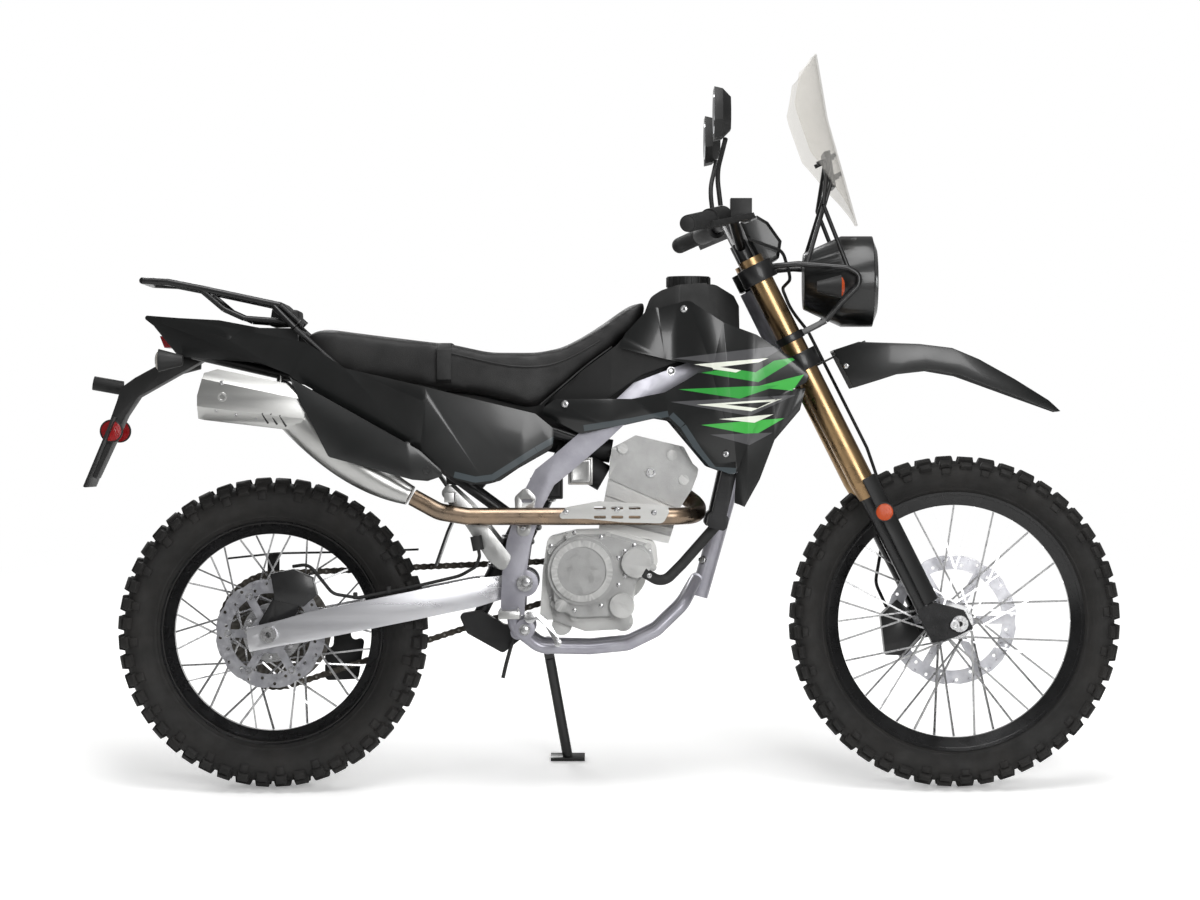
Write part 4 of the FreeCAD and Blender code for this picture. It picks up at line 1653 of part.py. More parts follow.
REAR_HOSE_SHARES = [(0.136, 2.15, 0.75), (0.200, 2.12, 0.86), (0.270, 0.95, 1.0), (0.360, 0.64, 1.0),
                    (0.600, 0.64, 0.935), (0.760, 0.68, 0.77), (0.830, 0.90, 1.0), (0.853, 1.25, 1.267),
                    (0.853, 1.45, 1.267)]
REAR_HOSE_BEND = 30.0
MASTER_RADIUS = 12.0
MASTER_LENGTH = 30.0


def rear_brake_hose():
    """The rear brake line along the top of the right arm, and its master cylinder on the hanger."""
    line = []
    for a, b, c in REAR_HOSE_SHARES:
        x, z = arm_xz(a * ARM_LENGTH, b * ARM_HEIGHT)
        line.append(Vector(x, -c * ARM_REAR_Y, z))
    way = (line[-1] - line[-2]).normalize()
    master = rod(line[-1], line[-1] + way * MASTER_LENGTH, MASTER_RADIUS)
    return joined([tube(line, HOSE_RADIUS, REAR_HOSE_BEND), master])


AIRBOX_SHARES = [(-0.36, 0.640), (0.012, 0.555), (0.012, 0.500), (-0.085, 0.470), (-0.18, 0.360),
                 (-0.32, 0.38)]
AIRBOX_HALF = 68.0
INTAKE_SHARES = [(0.010, 0.565, 0.0), (0.352, 0.505, 0.0)]
INTAKE_RADIUS = 25.0


def airbox():
    """The air filter box ahead of the rear wheel and the intake to the head."""
    box = side_slab(grid_line(AIRBOX_SHARES), -AIRBOX_HALF, AIRBOX_HALF)
    a, b = [grid_point(*share) for share in INTAKE_SHARES]
    return joined([box, rod(a, b, INTAKE_RADIUS)]).cut(cylinder())


def chassis_parts():
    return {
        "main_frame": main_frame(), "rear_subframe": rear_subframe(), "swingarm": swingarm(),
        "rear_axle": rear_axle(), "engine_cases": engine_cases(), "cylinder": cylinder(),
        "engine_covers": engine_covers(), "radiators": radiators(), "coolant_hose": coolant_hose(),
        "exhaust_pipe": exhaust_pipe(),
        "heat_guard": heat_guard(), "muffler": muffler(), "fuel_tank": fuel_tank(), "fuel_cap": fuel_cap(),
        "seat": seat(), "shrouds": shrouds(), "side_panels": side_panels(), "rear_fender": rear_fender(),
        "rear_lights": rear_lights(), "plate_holder": plate_holder(),
        "rear_rack": rear_rack(), "footpegs": footpegs(), "pedals": pedals(), "rear_shock": rear_shock(),
        "chain": chain(), "chain_guard": chain_guard(), "rear_caliper": rear_caliper(),
        "rear_brake_hose": rear_brake_hose(), "airbox": airbox(),
    }


# Side stand

LEAN = math.radians(LEAN_DEG)
CROWN_SHARE = 0.6


def stand_geometry():
    """Pivot, leg direction and foot of the stand, the foot on the ground when the machine leans."""
    pivot = Vector(PIVOT_X + STAND_AHEAD, STAND_Y, PIVOT_Z - STAND_DROP)
    splay, forward = math.radians(STAND_SPLAY_DEG), math.radians(STAND_FORWARD_DEG)
    way = Vector(math.sin(forward), math.cos(forward) * math.sin(splay), -math.cos(forward) * math.cos(splay))
    crown = (FRONT_TYRE_WIDTH + REAR_TYRE_WIDTH) / 4
    ground = -crown * CROWN_SHARE * (1 - math.cos(LEAN))
    length = (pivot.z * math.cos(LEAN) - pivot.y * math.sin(LEAN) - ground) / (
        way.y * math.sin(LEAN) - way.z * math.cos(LEAN))
    hinge = Vector(0, math.cos(splay), math.sin(splay))
    return pivot, way, length, hinge


def side_stand():
    """A leg with an eye at its pivot and a foot plate flat on the ground when it leans."""
    pivot, way, length, hinge = stand_geometry()
    foot = pivot + way * length
    up = Vector(0, -math.sin(LEAN), math.cos(LEAN))
    leg = rod(pivot, foot + up * (STAND_FOOT_THICKNESS / 2), STAND_TUBE_RADIUS)
    eye = rod(pivot - hinge * (STAND_EYE_WIDTH / 2), pivot + hinge * (STAND_EYE_WIDTH / 2), STAND_EYE_RADIUS)
    plate = Part.makeBox(STAND_FOOT_LENGTH, STAND_FOOT_WIDTH, STAND_FOOT_THICKNESS,
                         Vector(-STAND_FOOT_LENGTH / 2, -STAND_FOOT_WIDTH / 2, 0))
    plate.Placement = Placement(foot, Rotation(Vector(1, 0, 0), LEAN_DEG))
    reach = STAND_EYE_RADIUS * 3
    slab = rod(pivot - hinge * (STAND_EYE_WIDTH / 2), pivot + hinge * (STAND_EYE_WIDTH / 2), reach)
    neck = slab.common(rod(pivot, pivot + way * reach, STAND_TUBE_RADIUS))
    beyond = rod(pivot - hinge * reach, pivot + hinge * reach, STAND_EYE_RADIUS * 2)
    whole = joined([leg.cut(beyond), neck, eye, plate])
    below = Part.makeBox(STAND_FOOT_LENGTH * 4, STAND_FOOT_WIDTH * 4, STAND_FOOT_LENGTH,
                         Vector(-STAND_FOOT_LENGTH * 2, -STAND_FOOT_WIDTH * 2, -STAND_FOOT_LENGTH))
    below.Placement = Placement(foot, Rotation(Vector(1, 0, 0), LEAN_DEG))
    side = hinge * STAND_EYE_WIDTH
    pin_room = rod(pivot - side, pivot + side, STAND_PIN_RADIUS + RUN_GAP)
    return whole.cut(below).cut(pin_room)


def stand_bracket():
    """Two ears and a pin on an arm from the left cradle tube, for the stand's eye."""
    pivot, way, length, hinge = stand_geometry()
    inner = STAND_EYE_WIDTH / 2 + STAND_EAR_GAP
    outer = inner + STAND_EAR
    ears = [rod(pivot - hinge * outer, pivot - hinge * inner, STAND_EYE_RADIUS),
            rod(pivot + hinge * inner, pivot + hinge * outer, STAND_EYE_RADIUS)]
    pin = rod(pivot - hinge * outer, pivot + hinge * outer, STAND_PIN_RADIUS)
    root = grid_point(*BRACKET_ROOT_SHARES)
    arm = bar(pivot - hinge * (inner + STAND_EAR / 2), root, STAND_EYE_RADIUS, CRADLE_RADIUS)
    return joined(ears + [pin, arm])


def leaned(shape, shift):
    placed = shape.copy()
    placed.rotate(Vector(0, 0, 0), Vector(1, 0, 0), -LEAN_DEG)
    placed.translate(shift)
    return placed


def main():
    os.makedirs("parts", exist_ok=True)
    parts = {**front_wheel(), **rear_wheel(), **steering_parts(), **chassis_parts()}
    parts["side_stand"] = side_stand()
    whole = Part.makeCompound([leaned(shape, Vector(0, 0, 0)) for shape in parts.values()])
    box = whole.optimalBoundingBox(True, False)
    shift = Vector(-(box.XMin + box.XMax) / 2, -(box.YMin + box.YMax) / 2, -box.ZMin)
    for name, shape in parts.items():
        leaned(shape, shift).exportStep(f"parts/{name}.step")
        print(name, len(shape.Solids), shape.isValid(), round(shape.Volume))
    pivot, way, length, hinge = stand_geometry()
    lean = Rotation(Vector(1, 0, 0), -LEAN_DEG)

    def placed(point):
        return [round(a, 4) for a in lean.multVec(point) + shift]

    def turned_way(direction):
        return [round(a, 8) for a in lean.multVec(direction)]

    print("PLACES", json.dumps({
        "front_wheel": placed(FRONT_CENTRE), "rear_wheel": placed(REAR_CENTRE), "lateral": turned_way(Y_AXIS),
        "head": placed(fork_point(HEAD_T, STEM_S, 0)), "head_axis": turned_way(Vector(UP_X, 0, UP_Z)),
        "stand": placed(pivot), "stand_axis": turned_way(hinge),
        "box": [box.XMax - box.XMin, box.YMax - box.YMin, box.ZMax - box.ZMin]}))


main()
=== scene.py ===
"""Looks of a dual sport motorcycle that leans on its side stand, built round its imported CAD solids.

The motorcycle's own axes are upright: X forward, Y left and Z up, from the rear tyre's foot. Pieces
are modelled there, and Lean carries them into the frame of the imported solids. Named sizes and places
are in millimetres, but for those whose description says metres. Picture places count in the
photograph's 1200 by 900 units from its upper left corner.
"""

import json
import logging
import math
from collections.abc import Callable
from dataclasses import dataclass, field
from enum import Enum

import bpy
from mathutils import Matrix, Vector
from mathutils.bvhtree import BVHTree

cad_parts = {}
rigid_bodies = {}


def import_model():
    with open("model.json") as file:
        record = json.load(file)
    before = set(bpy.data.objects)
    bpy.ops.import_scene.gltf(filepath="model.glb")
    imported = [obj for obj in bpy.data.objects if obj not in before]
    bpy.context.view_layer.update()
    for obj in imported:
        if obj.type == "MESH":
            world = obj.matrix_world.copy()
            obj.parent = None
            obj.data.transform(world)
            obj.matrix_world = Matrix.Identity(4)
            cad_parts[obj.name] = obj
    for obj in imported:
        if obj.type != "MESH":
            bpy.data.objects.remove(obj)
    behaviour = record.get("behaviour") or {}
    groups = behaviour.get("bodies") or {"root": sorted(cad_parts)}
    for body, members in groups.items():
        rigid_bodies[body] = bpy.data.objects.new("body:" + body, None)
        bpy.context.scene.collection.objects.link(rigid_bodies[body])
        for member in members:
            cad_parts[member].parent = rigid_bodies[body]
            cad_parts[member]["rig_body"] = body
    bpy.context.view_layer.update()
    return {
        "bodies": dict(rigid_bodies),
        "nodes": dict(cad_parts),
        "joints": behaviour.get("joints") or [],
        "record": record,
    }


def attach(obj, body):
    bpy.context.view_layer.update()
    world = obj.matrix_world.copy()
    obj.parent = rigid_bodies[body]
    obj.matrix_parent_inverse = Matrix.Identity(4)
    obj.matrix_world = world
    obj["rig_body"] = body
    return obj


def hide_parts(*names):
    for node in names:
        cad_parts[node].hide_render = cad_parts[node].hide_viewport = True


Piece = bpy.types.Object
Tree = bpy.types.NodeTree
Socket = bpy.types.NodeSocket
Pair = tuple[float, float]
Pairs = tuple[Pair, ...]
Triple = tuple[float, float, float]

LOG = logging.getLogger("motorcycle")
MM = 0.001
FORWARD = Vector((1.0, 0.0, 0.0))
LEFT = Vector((0.0, 1.0, 0.0))
DOWN = Vector((0.0, 0.0, -1.0))
HANDS = (("left", 1), ("right", -1))

# the tyres' radii and the wheels' middles on the upright motorcycle
FRONT_RADIUS = 350.0
REAR_RADIUS = 327.0
FRONT_HUB = (1440.5, FRONT_RADIUS)
REAR_HUB = (0.0, REAR_RADIUS)

# where the photograph was taken from, and what one of its units covers there
PHOTO_EYE = (691.0, -7900.0, 712.0)
PHOTO_SIZE = (1200.0, 900.0)
PHOTO_UNIT = 2.117

# the spans of noise over which a colour drifts to its tint and a surface to its smears, the span of
# pointiness over which an edge wears, and the blur of a printed edge
TINT_SPAN = (0.38, 0.68)
SMEAR_SPAN = (0.3, 0.7)
WEAR_SPAN = (0.53, 0.62)
PRINT_BLUR = 0.4


class Body(Enum):
    """Bodies of the motorcycle that its pieces ride on."""

    CHASSIS = "chassis"
    STEERING = "steering"
    FRONT_WHEEL = "front_wheel"
    REAR_WHEEL = "rear_wheel"
    SIDE_STAND = "side_stand"


class Grain(Enum):
    """Kinds of fine relief that a surface can have."""

    NONE = "none"
    CAST = "cast"
    MOULDED = "moulded"
    LEATHER = "leather"
    BRUSHED = "brushed"


def spot(x: float, y: float, z: float) -> Vector:
    """Give a point in metres from its places in millimetres."""
    return Vector((x, y, z)) * MM


def linear(hex_colour: str) -> tuple[float, float, float, float]:
    """Turn an sRGB hex colour into linear light.

    Args:
        hex_colour: Colour as six hex digits after a hash.

    Returns:
        Red, green, blue and an alpha of one.
    """
    levels = [int(hex_colour[i : i + 2], 16) / 255 for i in (1, 3, 5)]
    red, green, blue = [
        level / 12.92 if level <= 0.04045 else ((level + 0.055) / 1.055) ** 2.4
        for level in levels
    ]
    return red, green, blue, 1.0


def add_node(
    tree: Tree, kind: str, inputs: dict | None = None, **settings: object
) -> bpy.types.Node:
    """Add one node with its settings, values and links.

    Args:
        tree: Node tree that gets the node.
        kind: Kind of shader node, such as Mix.
        inputs: Value or source socket for each input, by name or number.
        **settings: Properties of the node.

    Returns:
        The new node.
    """
    node = tree.nodes.new(f"ShaderNode{kind}")
    for name, value in settings.items():
        setattr(node, name, value)
    for name, value in (inputs or {}).items():
        if isinstance(value, Socket):
            tree.links.new(value, node.inputs[name])
        else:
            node.inputs[name].default_value = value
    return node


@dataclass(frozen=True)
class Finish:
    """One surface as its maker names it, with the relief and wear that the eye meets.

    Attributes:
        name: Common name of the material and its finish.
        colour: Main colour, sRGB hex.
        tint: Colour that the main one drifts to in patches, sRGB hex.
        metallic: One for bare metal, zero for the rest.
        roughness: Mean roughness.
        spread: How far the roughness drifts either way.
        patch: Size of the patches of tint, in metres.
        grain: Kind of fine relief.
        grain_size: Size of one grain, in metres.
        relief: Height of the relief, in metres.
        coat: Weight of a clear lacquer.
        coat_roughness: Roughness of that lacquer.
        wear: Colour that shows through on sharp edges, or an empty text for none.
        stretch: How much longer the grain is along each axis.
    """

    name: str
    colour: str
    tint: str
    metallic: float = 0.0
    roughness: float = 0.5
    spread: float = 0.08
    patch: float = 0.06
    grain: Grain = Grain.NONE
    grain_size: float = 0.001
    relief: float = 0.00005
    coat: float = 0.0
    coat_roughness: float = 0.12
    wear: str = ""
    stretch: Triple = (1.0, 1.0, 1.0)

    def place(self, tree: Tree) -> Socket:
        """Give the piece's own coordinates, stretched for the grain.

        Args:
            tree: Node tree of the material.

        Returns:
            Socket with the coordinates.
        """
        coordinates = add_node(tree, "TexCoord").outputs["Object"]
        scale = tuple(1.0 / part for part in self.stretch)
        mapping = add_node(tree, "Mapping", {"Vector": coordinates, "Scale": scale})
        return mapping.outputs["Vector"]

    def colouring(self, tree: Tree, place: Socket) -> Socket:
        """Mix the main colour with its tint and with the wear on edges.

        Args:
            tree: Node tree of the material.
            place: Coordinates of the pattern.

        Returns:
            Socket with the colour.
        """
        patches = add_node(
            tree,
            "TexNoise",
            {"Vector": place, "Scale": 1.0 / self.patch, "Detail": 5.0, "Roughness": 0.6},
        )
        ramp = add_node(tree, "ValToRGB", {"Fac": patches.outputs["Fac"]})
        for stop, level, colour in zip(ramp.color_ramp.elements, TINT_SPAN, (self.colour, self.tint)):
            stop.position = level
            stop.color = linear(colour)
        if not self.wear:
            return ramp.outputs["Color"]
        geometry = add_node(tree, "NewGeometry")
        edges = add_node(
            tree,
            "MapRange",
            {
                "Value": geometry.outputs["Pointiness"],
                "From Min": WEAR_SPAN[0],
                "From Max": WEAR_SPAN[1],
            },
        )
        worn = add_node(
            tree,
            "Mix",
            {"Factor": edges.outputs["Result"], "A": ramp.outputs["Color"], "B": linear(self.wear)},
            data_type="RGBA",
        )
        return worn.outputs[2]

    def fine_relief(self, tree: Tree, place: Socket) -> Socket:
        """Give the height of the fine relief.

        Args:
            tree: Node tree of the material.
            place: Coordinates of the pattern.

        Returns:
            Socket with the height, from zero to one.
        """
        if self.grain is Grain.LEATHER:
            cells = add_node(
                tree,
                "TexVoronoi",
                {"Vector": place, "Scale": 1.0 / self.grain_size},
                feature="DISTANCE_TO_EDGE",
            )
            return cells.outputs["Distance"]
        detail = 6.0 if self.grain is Grain.CAST else 2.0
        noise = add_node(
            tree, "TexNoise", {"Vector": place, "Scale": 1.0 / self.grain_size, "Detail": detail}
        )
        return noise.outputs["Fac"]

    def build(self) -> bpy.types.Material:
        """Make the material, once, and give it again when it is asked for again."""
        if self.name in bpy.data.materials:
            return bpy.data.materials[self.name]
        material = bpy.data.materials.new(self.name)
        material.use_nodes = True
        tree = material.node_tree
        shader = tree.nodes["Principled BSDF"]
        place = self.place(tree)
        tree.links.new(self.colouring(tree, place), shader.inputs["Base Color"])
        shader.inputs["Metallic"].default_value = self.metallic
        shader.inputs["Coat Weight"].default_value = self.coat
        shader.inputs["Coat Roughness"].default_value = self.coat_roughness
        smears = add_node(
            tree,
            "TexNoise",
            {"Vector": place, "Scale": 2.5 / self.patch, "Detail": 3.0},  # 2.5 smears to a patch
        )
        roughness = add_node(
            tree,
            "MapRange",
            {
                "Value": smears.outputs["Fac"],
                "From Min": SMEAR_SPAN[0],
                "From Max": SMEAR_SPAN[1],
                "To Min": self.roughness - self.spread,
                "To Max": self.roughness + self.spread,
            },
        )
        tree.links.new(roughness.outputs["Result"], shader.inputs["Roughness"])
        if self.grain is not Grain.NONE:
            bump = add_node(
                tree,
                "Bump",
                {"Height": self.fine_relief(tree, place), "Strength": 1.0, "Distance": self.relief},
            )
            tree.links.new(bump.outputs["Normal"], shader.inputs["Normal"])
        self.extras(tree, shader)
        return material

    def extras(self, tree: Tree, shader: bpy.types.Node) -> None:
        """Add what a plain surface doesn't have; finishes of other kinds fill this in."""


@dataclass(frozen=True)
class ClearFinish(Finish):
    """A transparent moulding, coloured through.

    Attributes:
        ior: Index of refraction.
        clearness: Share of the light that goes through.
    """

    ior: float = 1.49
    clearness: float = 1.0

    def extras(self, tree: Tree, shader: bpy.types.Node) -> None:
        """Let light through the surface.

        Args:
            tree: Node tree of the material.
            shader: The surface's shader.
        """
        shader.inputs["Transmission Weight"].default_value = self.clearness
        shader.inputs["IOR"].default_value = self.ior


@dataclass(frozen=True)
class SheetFinish(Finish):
    """A thin clear sheet, such as a screen, that bends no light but mirrors some of it.

    Attributes:
        haze: Share of the sheet that shows as its own colour, seen straight.
        edge_haze: That share where it is seen on edge.
        blend: How soon it counts as seen on edge, from zero to one.
    """

    haze: float = 0.05
    edge_haze: float = 0.4
    blend: float = 0.25

    def extras(self, tree: Tree, shader: bpy.types.Node) -> None:
        """Mix the tinted surface with plain see-through, more of it where the sheet is seen on edge.

        Args:
            tree: Node tree of the material.
            shader: The surface's shader.
        """
        through = add_node(tree, "BsdfTransparent", {"Color": linear(self.tint)})
        edge = add_node(tree, "LayerWeight", {"Blend": self.blend})
        share = add_node(
            tree,
            "MapRange",
            {"Value": edge.outputs["Facing"], "To Min": self.haze, "To Max": self.edge_haze},
        )
        mix = add_node(
            tree,
            "MixShader",
            {0: share.outputs["Result"], 1: through.outputs["BSDF"], 2: shader.outputs["BSDF"]},
        )
        tree.links.new(mix.outputs["Shader"], tree.nodes["Material Output"].inputs["Surface"])


@dataclass(frozen=True)
class Shard:
    """A patch of printed colour with three or four corners, seen from the side.

    Attributes:
        colour: Printed colour, sRGB hex.
        corners: Forward and upward place of each corner on the upright motorcycle.
    """

    colour: str
    corners: Pairs


def edging(points: Pairs, width: float, colour: str) -> tuple[Shard, ...]:
    """Give the shards of a band along an edge.

    Args:
        points: Forward and upward places along the edge.
        width: Width of the band on the edge's left side.
        colour: Its colour, sRGB hex.

    Returns:
        One four-cornered shard for each stretch.
    """
    shards = []
    for (x, z), (next_x, next_z) in zip(points, points[1:]):
        length = math.hypot(next_x - x, next_z - z)
        out_x, out_z = -(next_z - z) / length * width, (next_x - x) / length * width
        corners = ((x, z), (next_x, next_z), (next_x + out_x, next_z + out_z), (x + out_x, z + out_z))
        shards.append(Shard(colour, corners))
    return tuple(shards)


@dataclass(frozen=True)
class PrintedFinish(Finish):
    """A moulded panel with printed shards of colour under its lacquer.

    Attributes:
        shards: The printed patches, later ones over earlier ones.
    """

    shards: tuple[Shard, ...] = ()

    def extras(self, tree: Tree, shader: bpy.types.Node) -> None:
        """Lay each shard over the panel's own colour.

        Args:
            tree: Node tree of the material.
            shader: The surface's shader.
        """
        colour = shader.inputs["Base Color"].links[0].from_socket
        coordinates = add_node(tree, "TexCoord").outputs["Object"]
        for shard in self.shards:
            depth = self.depth(tree, coordinates, shard)
            mask = add_node(
                tree, "MapRange", {"Value": depth, "From Min": 0.0, "From Max": PRINT_BLUR * MM}
            )
            layer = add_node(
                tree,
                "Mix",
                {"Factor": mask.outputs["Result"], "A": colour, "B": linear(shard.colour)},
                data_type="RGBA",
            )
            colour = layer.outputs[2]
        tree.links.new(colour, shader.inputs["Base Color"])

    def depth(self, tree: Tree, coordinates: Socket, shard: Shard) -> Socket:
        """Give how deep a point lies inside a shard, by the edge that it is nearest to.

        Args:
            tree: Node tree of the material.
            coordinates: The piece's own coordinates.
            shard: The printed patch.

        Returns:
            Socket with the depth in metres, below zero outside.
        """
        points = [LEAN.matrix() @ spot(x, 0.0, z) for x, z in shard.corners]
        middle = sum(points, Vector()) / len(points)
        inside = None
        for start, end in zip(points, points[1:] + points[:1]):
            across = LEAN.side().cross(end - start).normalized()
            if across.dot(middle - start) < 0:
                across = -across
            reach = add_node(
                tree, "VectorMath", {0: coordinates, 1: across}, operation="DOT_PRODUCT"
            )
            depth = add_node(
                tree,
                "Math",
                {0: reach.outputs["Value"], 1: across.dot(start)},
                operation="SUBTRACT",
            ).outputs[0]
            if inside is not None:
                depth = add_node(
                    tree, "Math", {0: inside, 1: depth}, operation="MINIMUM"
                ).outputs[0]
            inside = depth
        return inside


@dataclass
class Lean:
    """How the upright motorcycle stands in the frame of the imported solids.

    Attributes:
        angle: Lean to the left, in degrees.
        shift: Where the upright origin lands, in metres.
    """

    angle: float = 10.0
    shift: Vector = field(default_factory=Vector)

    def turn(self) -> Matrix:
        """Give the lean alone."""
        return Matrix.Rotation(math.radians(-self.angle), 4, "X")

    def settle(self, hub: list[float], radius: float) -> None:
        """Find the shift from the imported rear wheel.

        Args:
            hub: The rear wheel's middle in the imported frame, in metres.
            radius: The rear tyre's radius.
        """
        self.shift = Vector(hub) - self.turn() @ Vector((0.0, 0.0, radius * MM))

    def matrix(self) -> Matrix:
        """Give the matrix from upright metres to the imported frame."""
        return Matrix.Translation(self.shift) @ self.turn()

    def side(self) -> Vector:
        """Give the motorcycle's own leftward direction."""
        return self.turn().to_3x3() @ LEFT


LEAN = Lean()
FRAME: dict = {}


def alone(piece: Piece, *others: Piece) -> None:
    """Leave edit mode and select these pieces only, the first one active.

    Args:
        piece: The piece that becomes active.
        *others: Pieces selected with it.
    """
    if bpy.context.mode != "OBJECT":
        bpy.ops.object.mode_set(mode="OBJECT")
    bpy.ops.object.select_all(action="DESELECT")
    for each in (piece, *others):
        each.select_set(True)
    bpy.context.view_layer.objects.active = piece


def choose(piece: Piece, wanted: Callable[[Vector, Vector], bool]) -> None:
    """Enter edit mode with some faces selected.

    Args:
        piece: The piece to edit.
        wanted: Says from a face's middle and normal if it is selected.
    """
    alone(piece)
    bpy.ops.object.mode_set(mode="EDIT")
    bpy.ops.mesh.select_mode(type="FACE")
    bpy.ops.mesh.select_all(action="DESELECT")
    bpy.ops.object.mode_set(mode="OBJECT")
    for face in piece.data.polygons:
        face.select = wanted(face.center, face.normal)
    bpy.ops.object.mode_set(mode="EDIT")


def applied(piece: Piece, kind: str, **settings: object) -> Piece:
    """Add a modifier and apply it.

    Args:
        piece: The piece that gets the modifier.
        kind: Modifier type, such as BEVEL.
        **settings: Properties of the modifier.

    Returns:
        The same piece.
    """
    alone(piece)
    modifier = piece.modifiers.new(kind.lower(), kind)
    for name, value in settings.items():
        setattr(modifier, name, value)
    bpy.ops.object.modifier_apply(modifier=modifier.name)
    return piece


def softened(piece: Piece, width: float, segments: int = 2) -> Piece:
    """Round the sharp edges of a piece by a bevel of this width."""
    limits = {"limit_method": "ANGLE", "angle_limit": 0.6}
    return applied(piece, "BEVEL", width=width * MM, segments=segments, **limits)


def edit_all(piece: Piece) -> None:
    """Enter edit mode with the whole of one piece selected."""
    alone(piece)
    bpy.ops.object.mode_set(mode="EDIT")
    bpy.ops.mesh.select_all(action="SELECT")


def faces_up(middle: Vector, normal: Vector) -> bool:
    """Say whether a face looks upwards."""
    return normal.z > 0.9


def outward(piece: Piece) -> Piece:
    """Merge doubled points and turn every face of a piece outwards."""
    edit_all(piece)
    bpy.ops.mesh.remove_doubles(threshold=0.01 * MM)
    bpy.ops.mesh.delete_loose()
    bpy.ops.mesh.normals_make_consistent(inside=False)
    bpy.ops.object.mode_set(mode="OBJECT")
    return piece


def placed(piece: Piece) -> Piece:
    """Put a primitive's place, turn and scale into its mesh."""
    alone(piece)
    bpy.ops.object.transform_apply(location=True, rotation=True, scale=True)
    return piece


def cross_bar(radius: float, length: float, sides: int) -> Piece:
    """Add a bar that lies leftward through the origin.

    Args:
        radius: Radius in millimetres.
        length: Length in millimetres.
        sides: Number of side faces.

    Returns:
        The bar.
    """
    bpy.ops.mesh.primitive_cylinder_add(
        vertices=sides, radius=radius * MM, depth=length * MM, rotation=(math.pi / 2, 0.0, 0.0)
    )
    return placed(bpy.context.object)


def block(size: Triple, at: Triple | Vector) -> Piece:
    """Add a box of this size with its middle at a point, both in millimetres."""
    bpy.ops.mesh.primitive_cube_add(size=1.0, location=spot(*at))
    bpy.context.object.scale = spot(*size)
    return placed(bpy.context.object)


def side_plate(corners: Pairs, y: float, depth: float) -> Piece:
    """Cut a plate that stands fore and aft.

    Args:
        corners: Forward and upward place of each corner.
        y: Leftward place of its right face.
        depth: Thickness towards the left.

    Returns:
        The plate, its faces outwards.
    """
    bpy.ops.mesh.primitive_circle_add(vertices=len(corners), radius=1.0, fill_type="NGON")
    piece = bpy.context.object
    for vertex, (x, z) in zip(piece.data.vertices, corners):
        vertex.co = spot(x, y, z)
    edit_all(piece)
    bpy.ops.mesh.extrude_region_move(TRANSFORM_OT_translate={"value": LEFT * depth * MM})
    return outward(piece)


def spun(profile: Pairs, steps: int) -> Piece:
    """Spin a profile round the upward axis through the origin.

    Args:
        profile: Radius and height of each point.
        steps: Number of steps in the full turn.

    Returns:
        The turned piece, its faces outwards.
    """
    bpy.ops.mesh.primitive_circle_add(vertices=len(profile), radius=1.0, fill_type="NOTHING")
    piece = bpy.context.object
    for vertex, (radius, height) in zip(piece.data.vertices, profile):
        vertex.co = spot(radius, 0.0, height)
    edit_all(piece)
    bpy.ops.mesh.spin(steps=steps, angle=math.tau, center=(0.0, 0.0, 0.0), axis=-DOWN)
    return outward(piece)


def tube(points: list[Vector], radius: float, fineness: int = 3) -> Piece:
    """Bend a round tube along a smooth line.

    Args:
        points: Points that steer the line, in metres.
        radius: Radius of the tube.
        fineness: Pairs of faces round it beyond the first four.

    Returns:
        The tube as a mesh.
    """
    line = bpy.data.curves.new("tube", "CURVE")
    line.dimensions = "3D"
    line.bevel_depth = radius * MM
    line.bevel_resolution = fineness
    line.use_fill_caps = True
    line.resolution_u = 8
    spline = line.splines.new("NURBS")
    spline.points.add(len(points) - 1)
    for knot, point in zip(spline.points, points):
        knot.co = (*point, 1.0)
    spline.order_u = 3
    spline.use_endpoint_u = True
    piece = bpy.data.objects.new("tube", line)
    bpy.context.scene.collection.objects.link(piece)
    alone(piece)
    bpy.ops.object.convert(target="MESH")
    return bpy.context.object


def moved(piece: Piece, matrix: Matrix) -> Piece:
    """Move a piece's mesh by a matrix."""
    piece.data.transform(matrix)
    return piece


def copies(pattern: Piece, places: list[Matrix]) -> Piece:
    """Repeat one modelled piece, each copy with its own mesh, and join the copies.

    Args:
        pattern: The piece that repeats, modelled at the origin.
        places: Matrix of each copy.

    Returns:
        The joined copies.
    """
    made = []
    for place in places:
        one = bpy.data.objects.new(pattern.name, pattern.data.copy())
        one.data.transform(place)
        bpy.context.scene.collection.objects.link(one)
        made.append(one)
    bpy.data.objects.remove(pattern)
    return joined(made)


def joined(pieces: list[Piece]) -> Piece:
    """Join pieces into the first one."""
    alone(*pieces)
    if len(pieces) > 1:
        bpy.ops.object.join()
    return bpy.context.view_layer.objects.active


def standing(at: Vector, along: Vector) -> Matrix:
    """Give the matrix that stands a piece on a point in metres, its upward axis along a direction."""
    return Matrix.Translation(at) @ along.to_track_quat("Z", "Y").to_matrix().to_4x4()


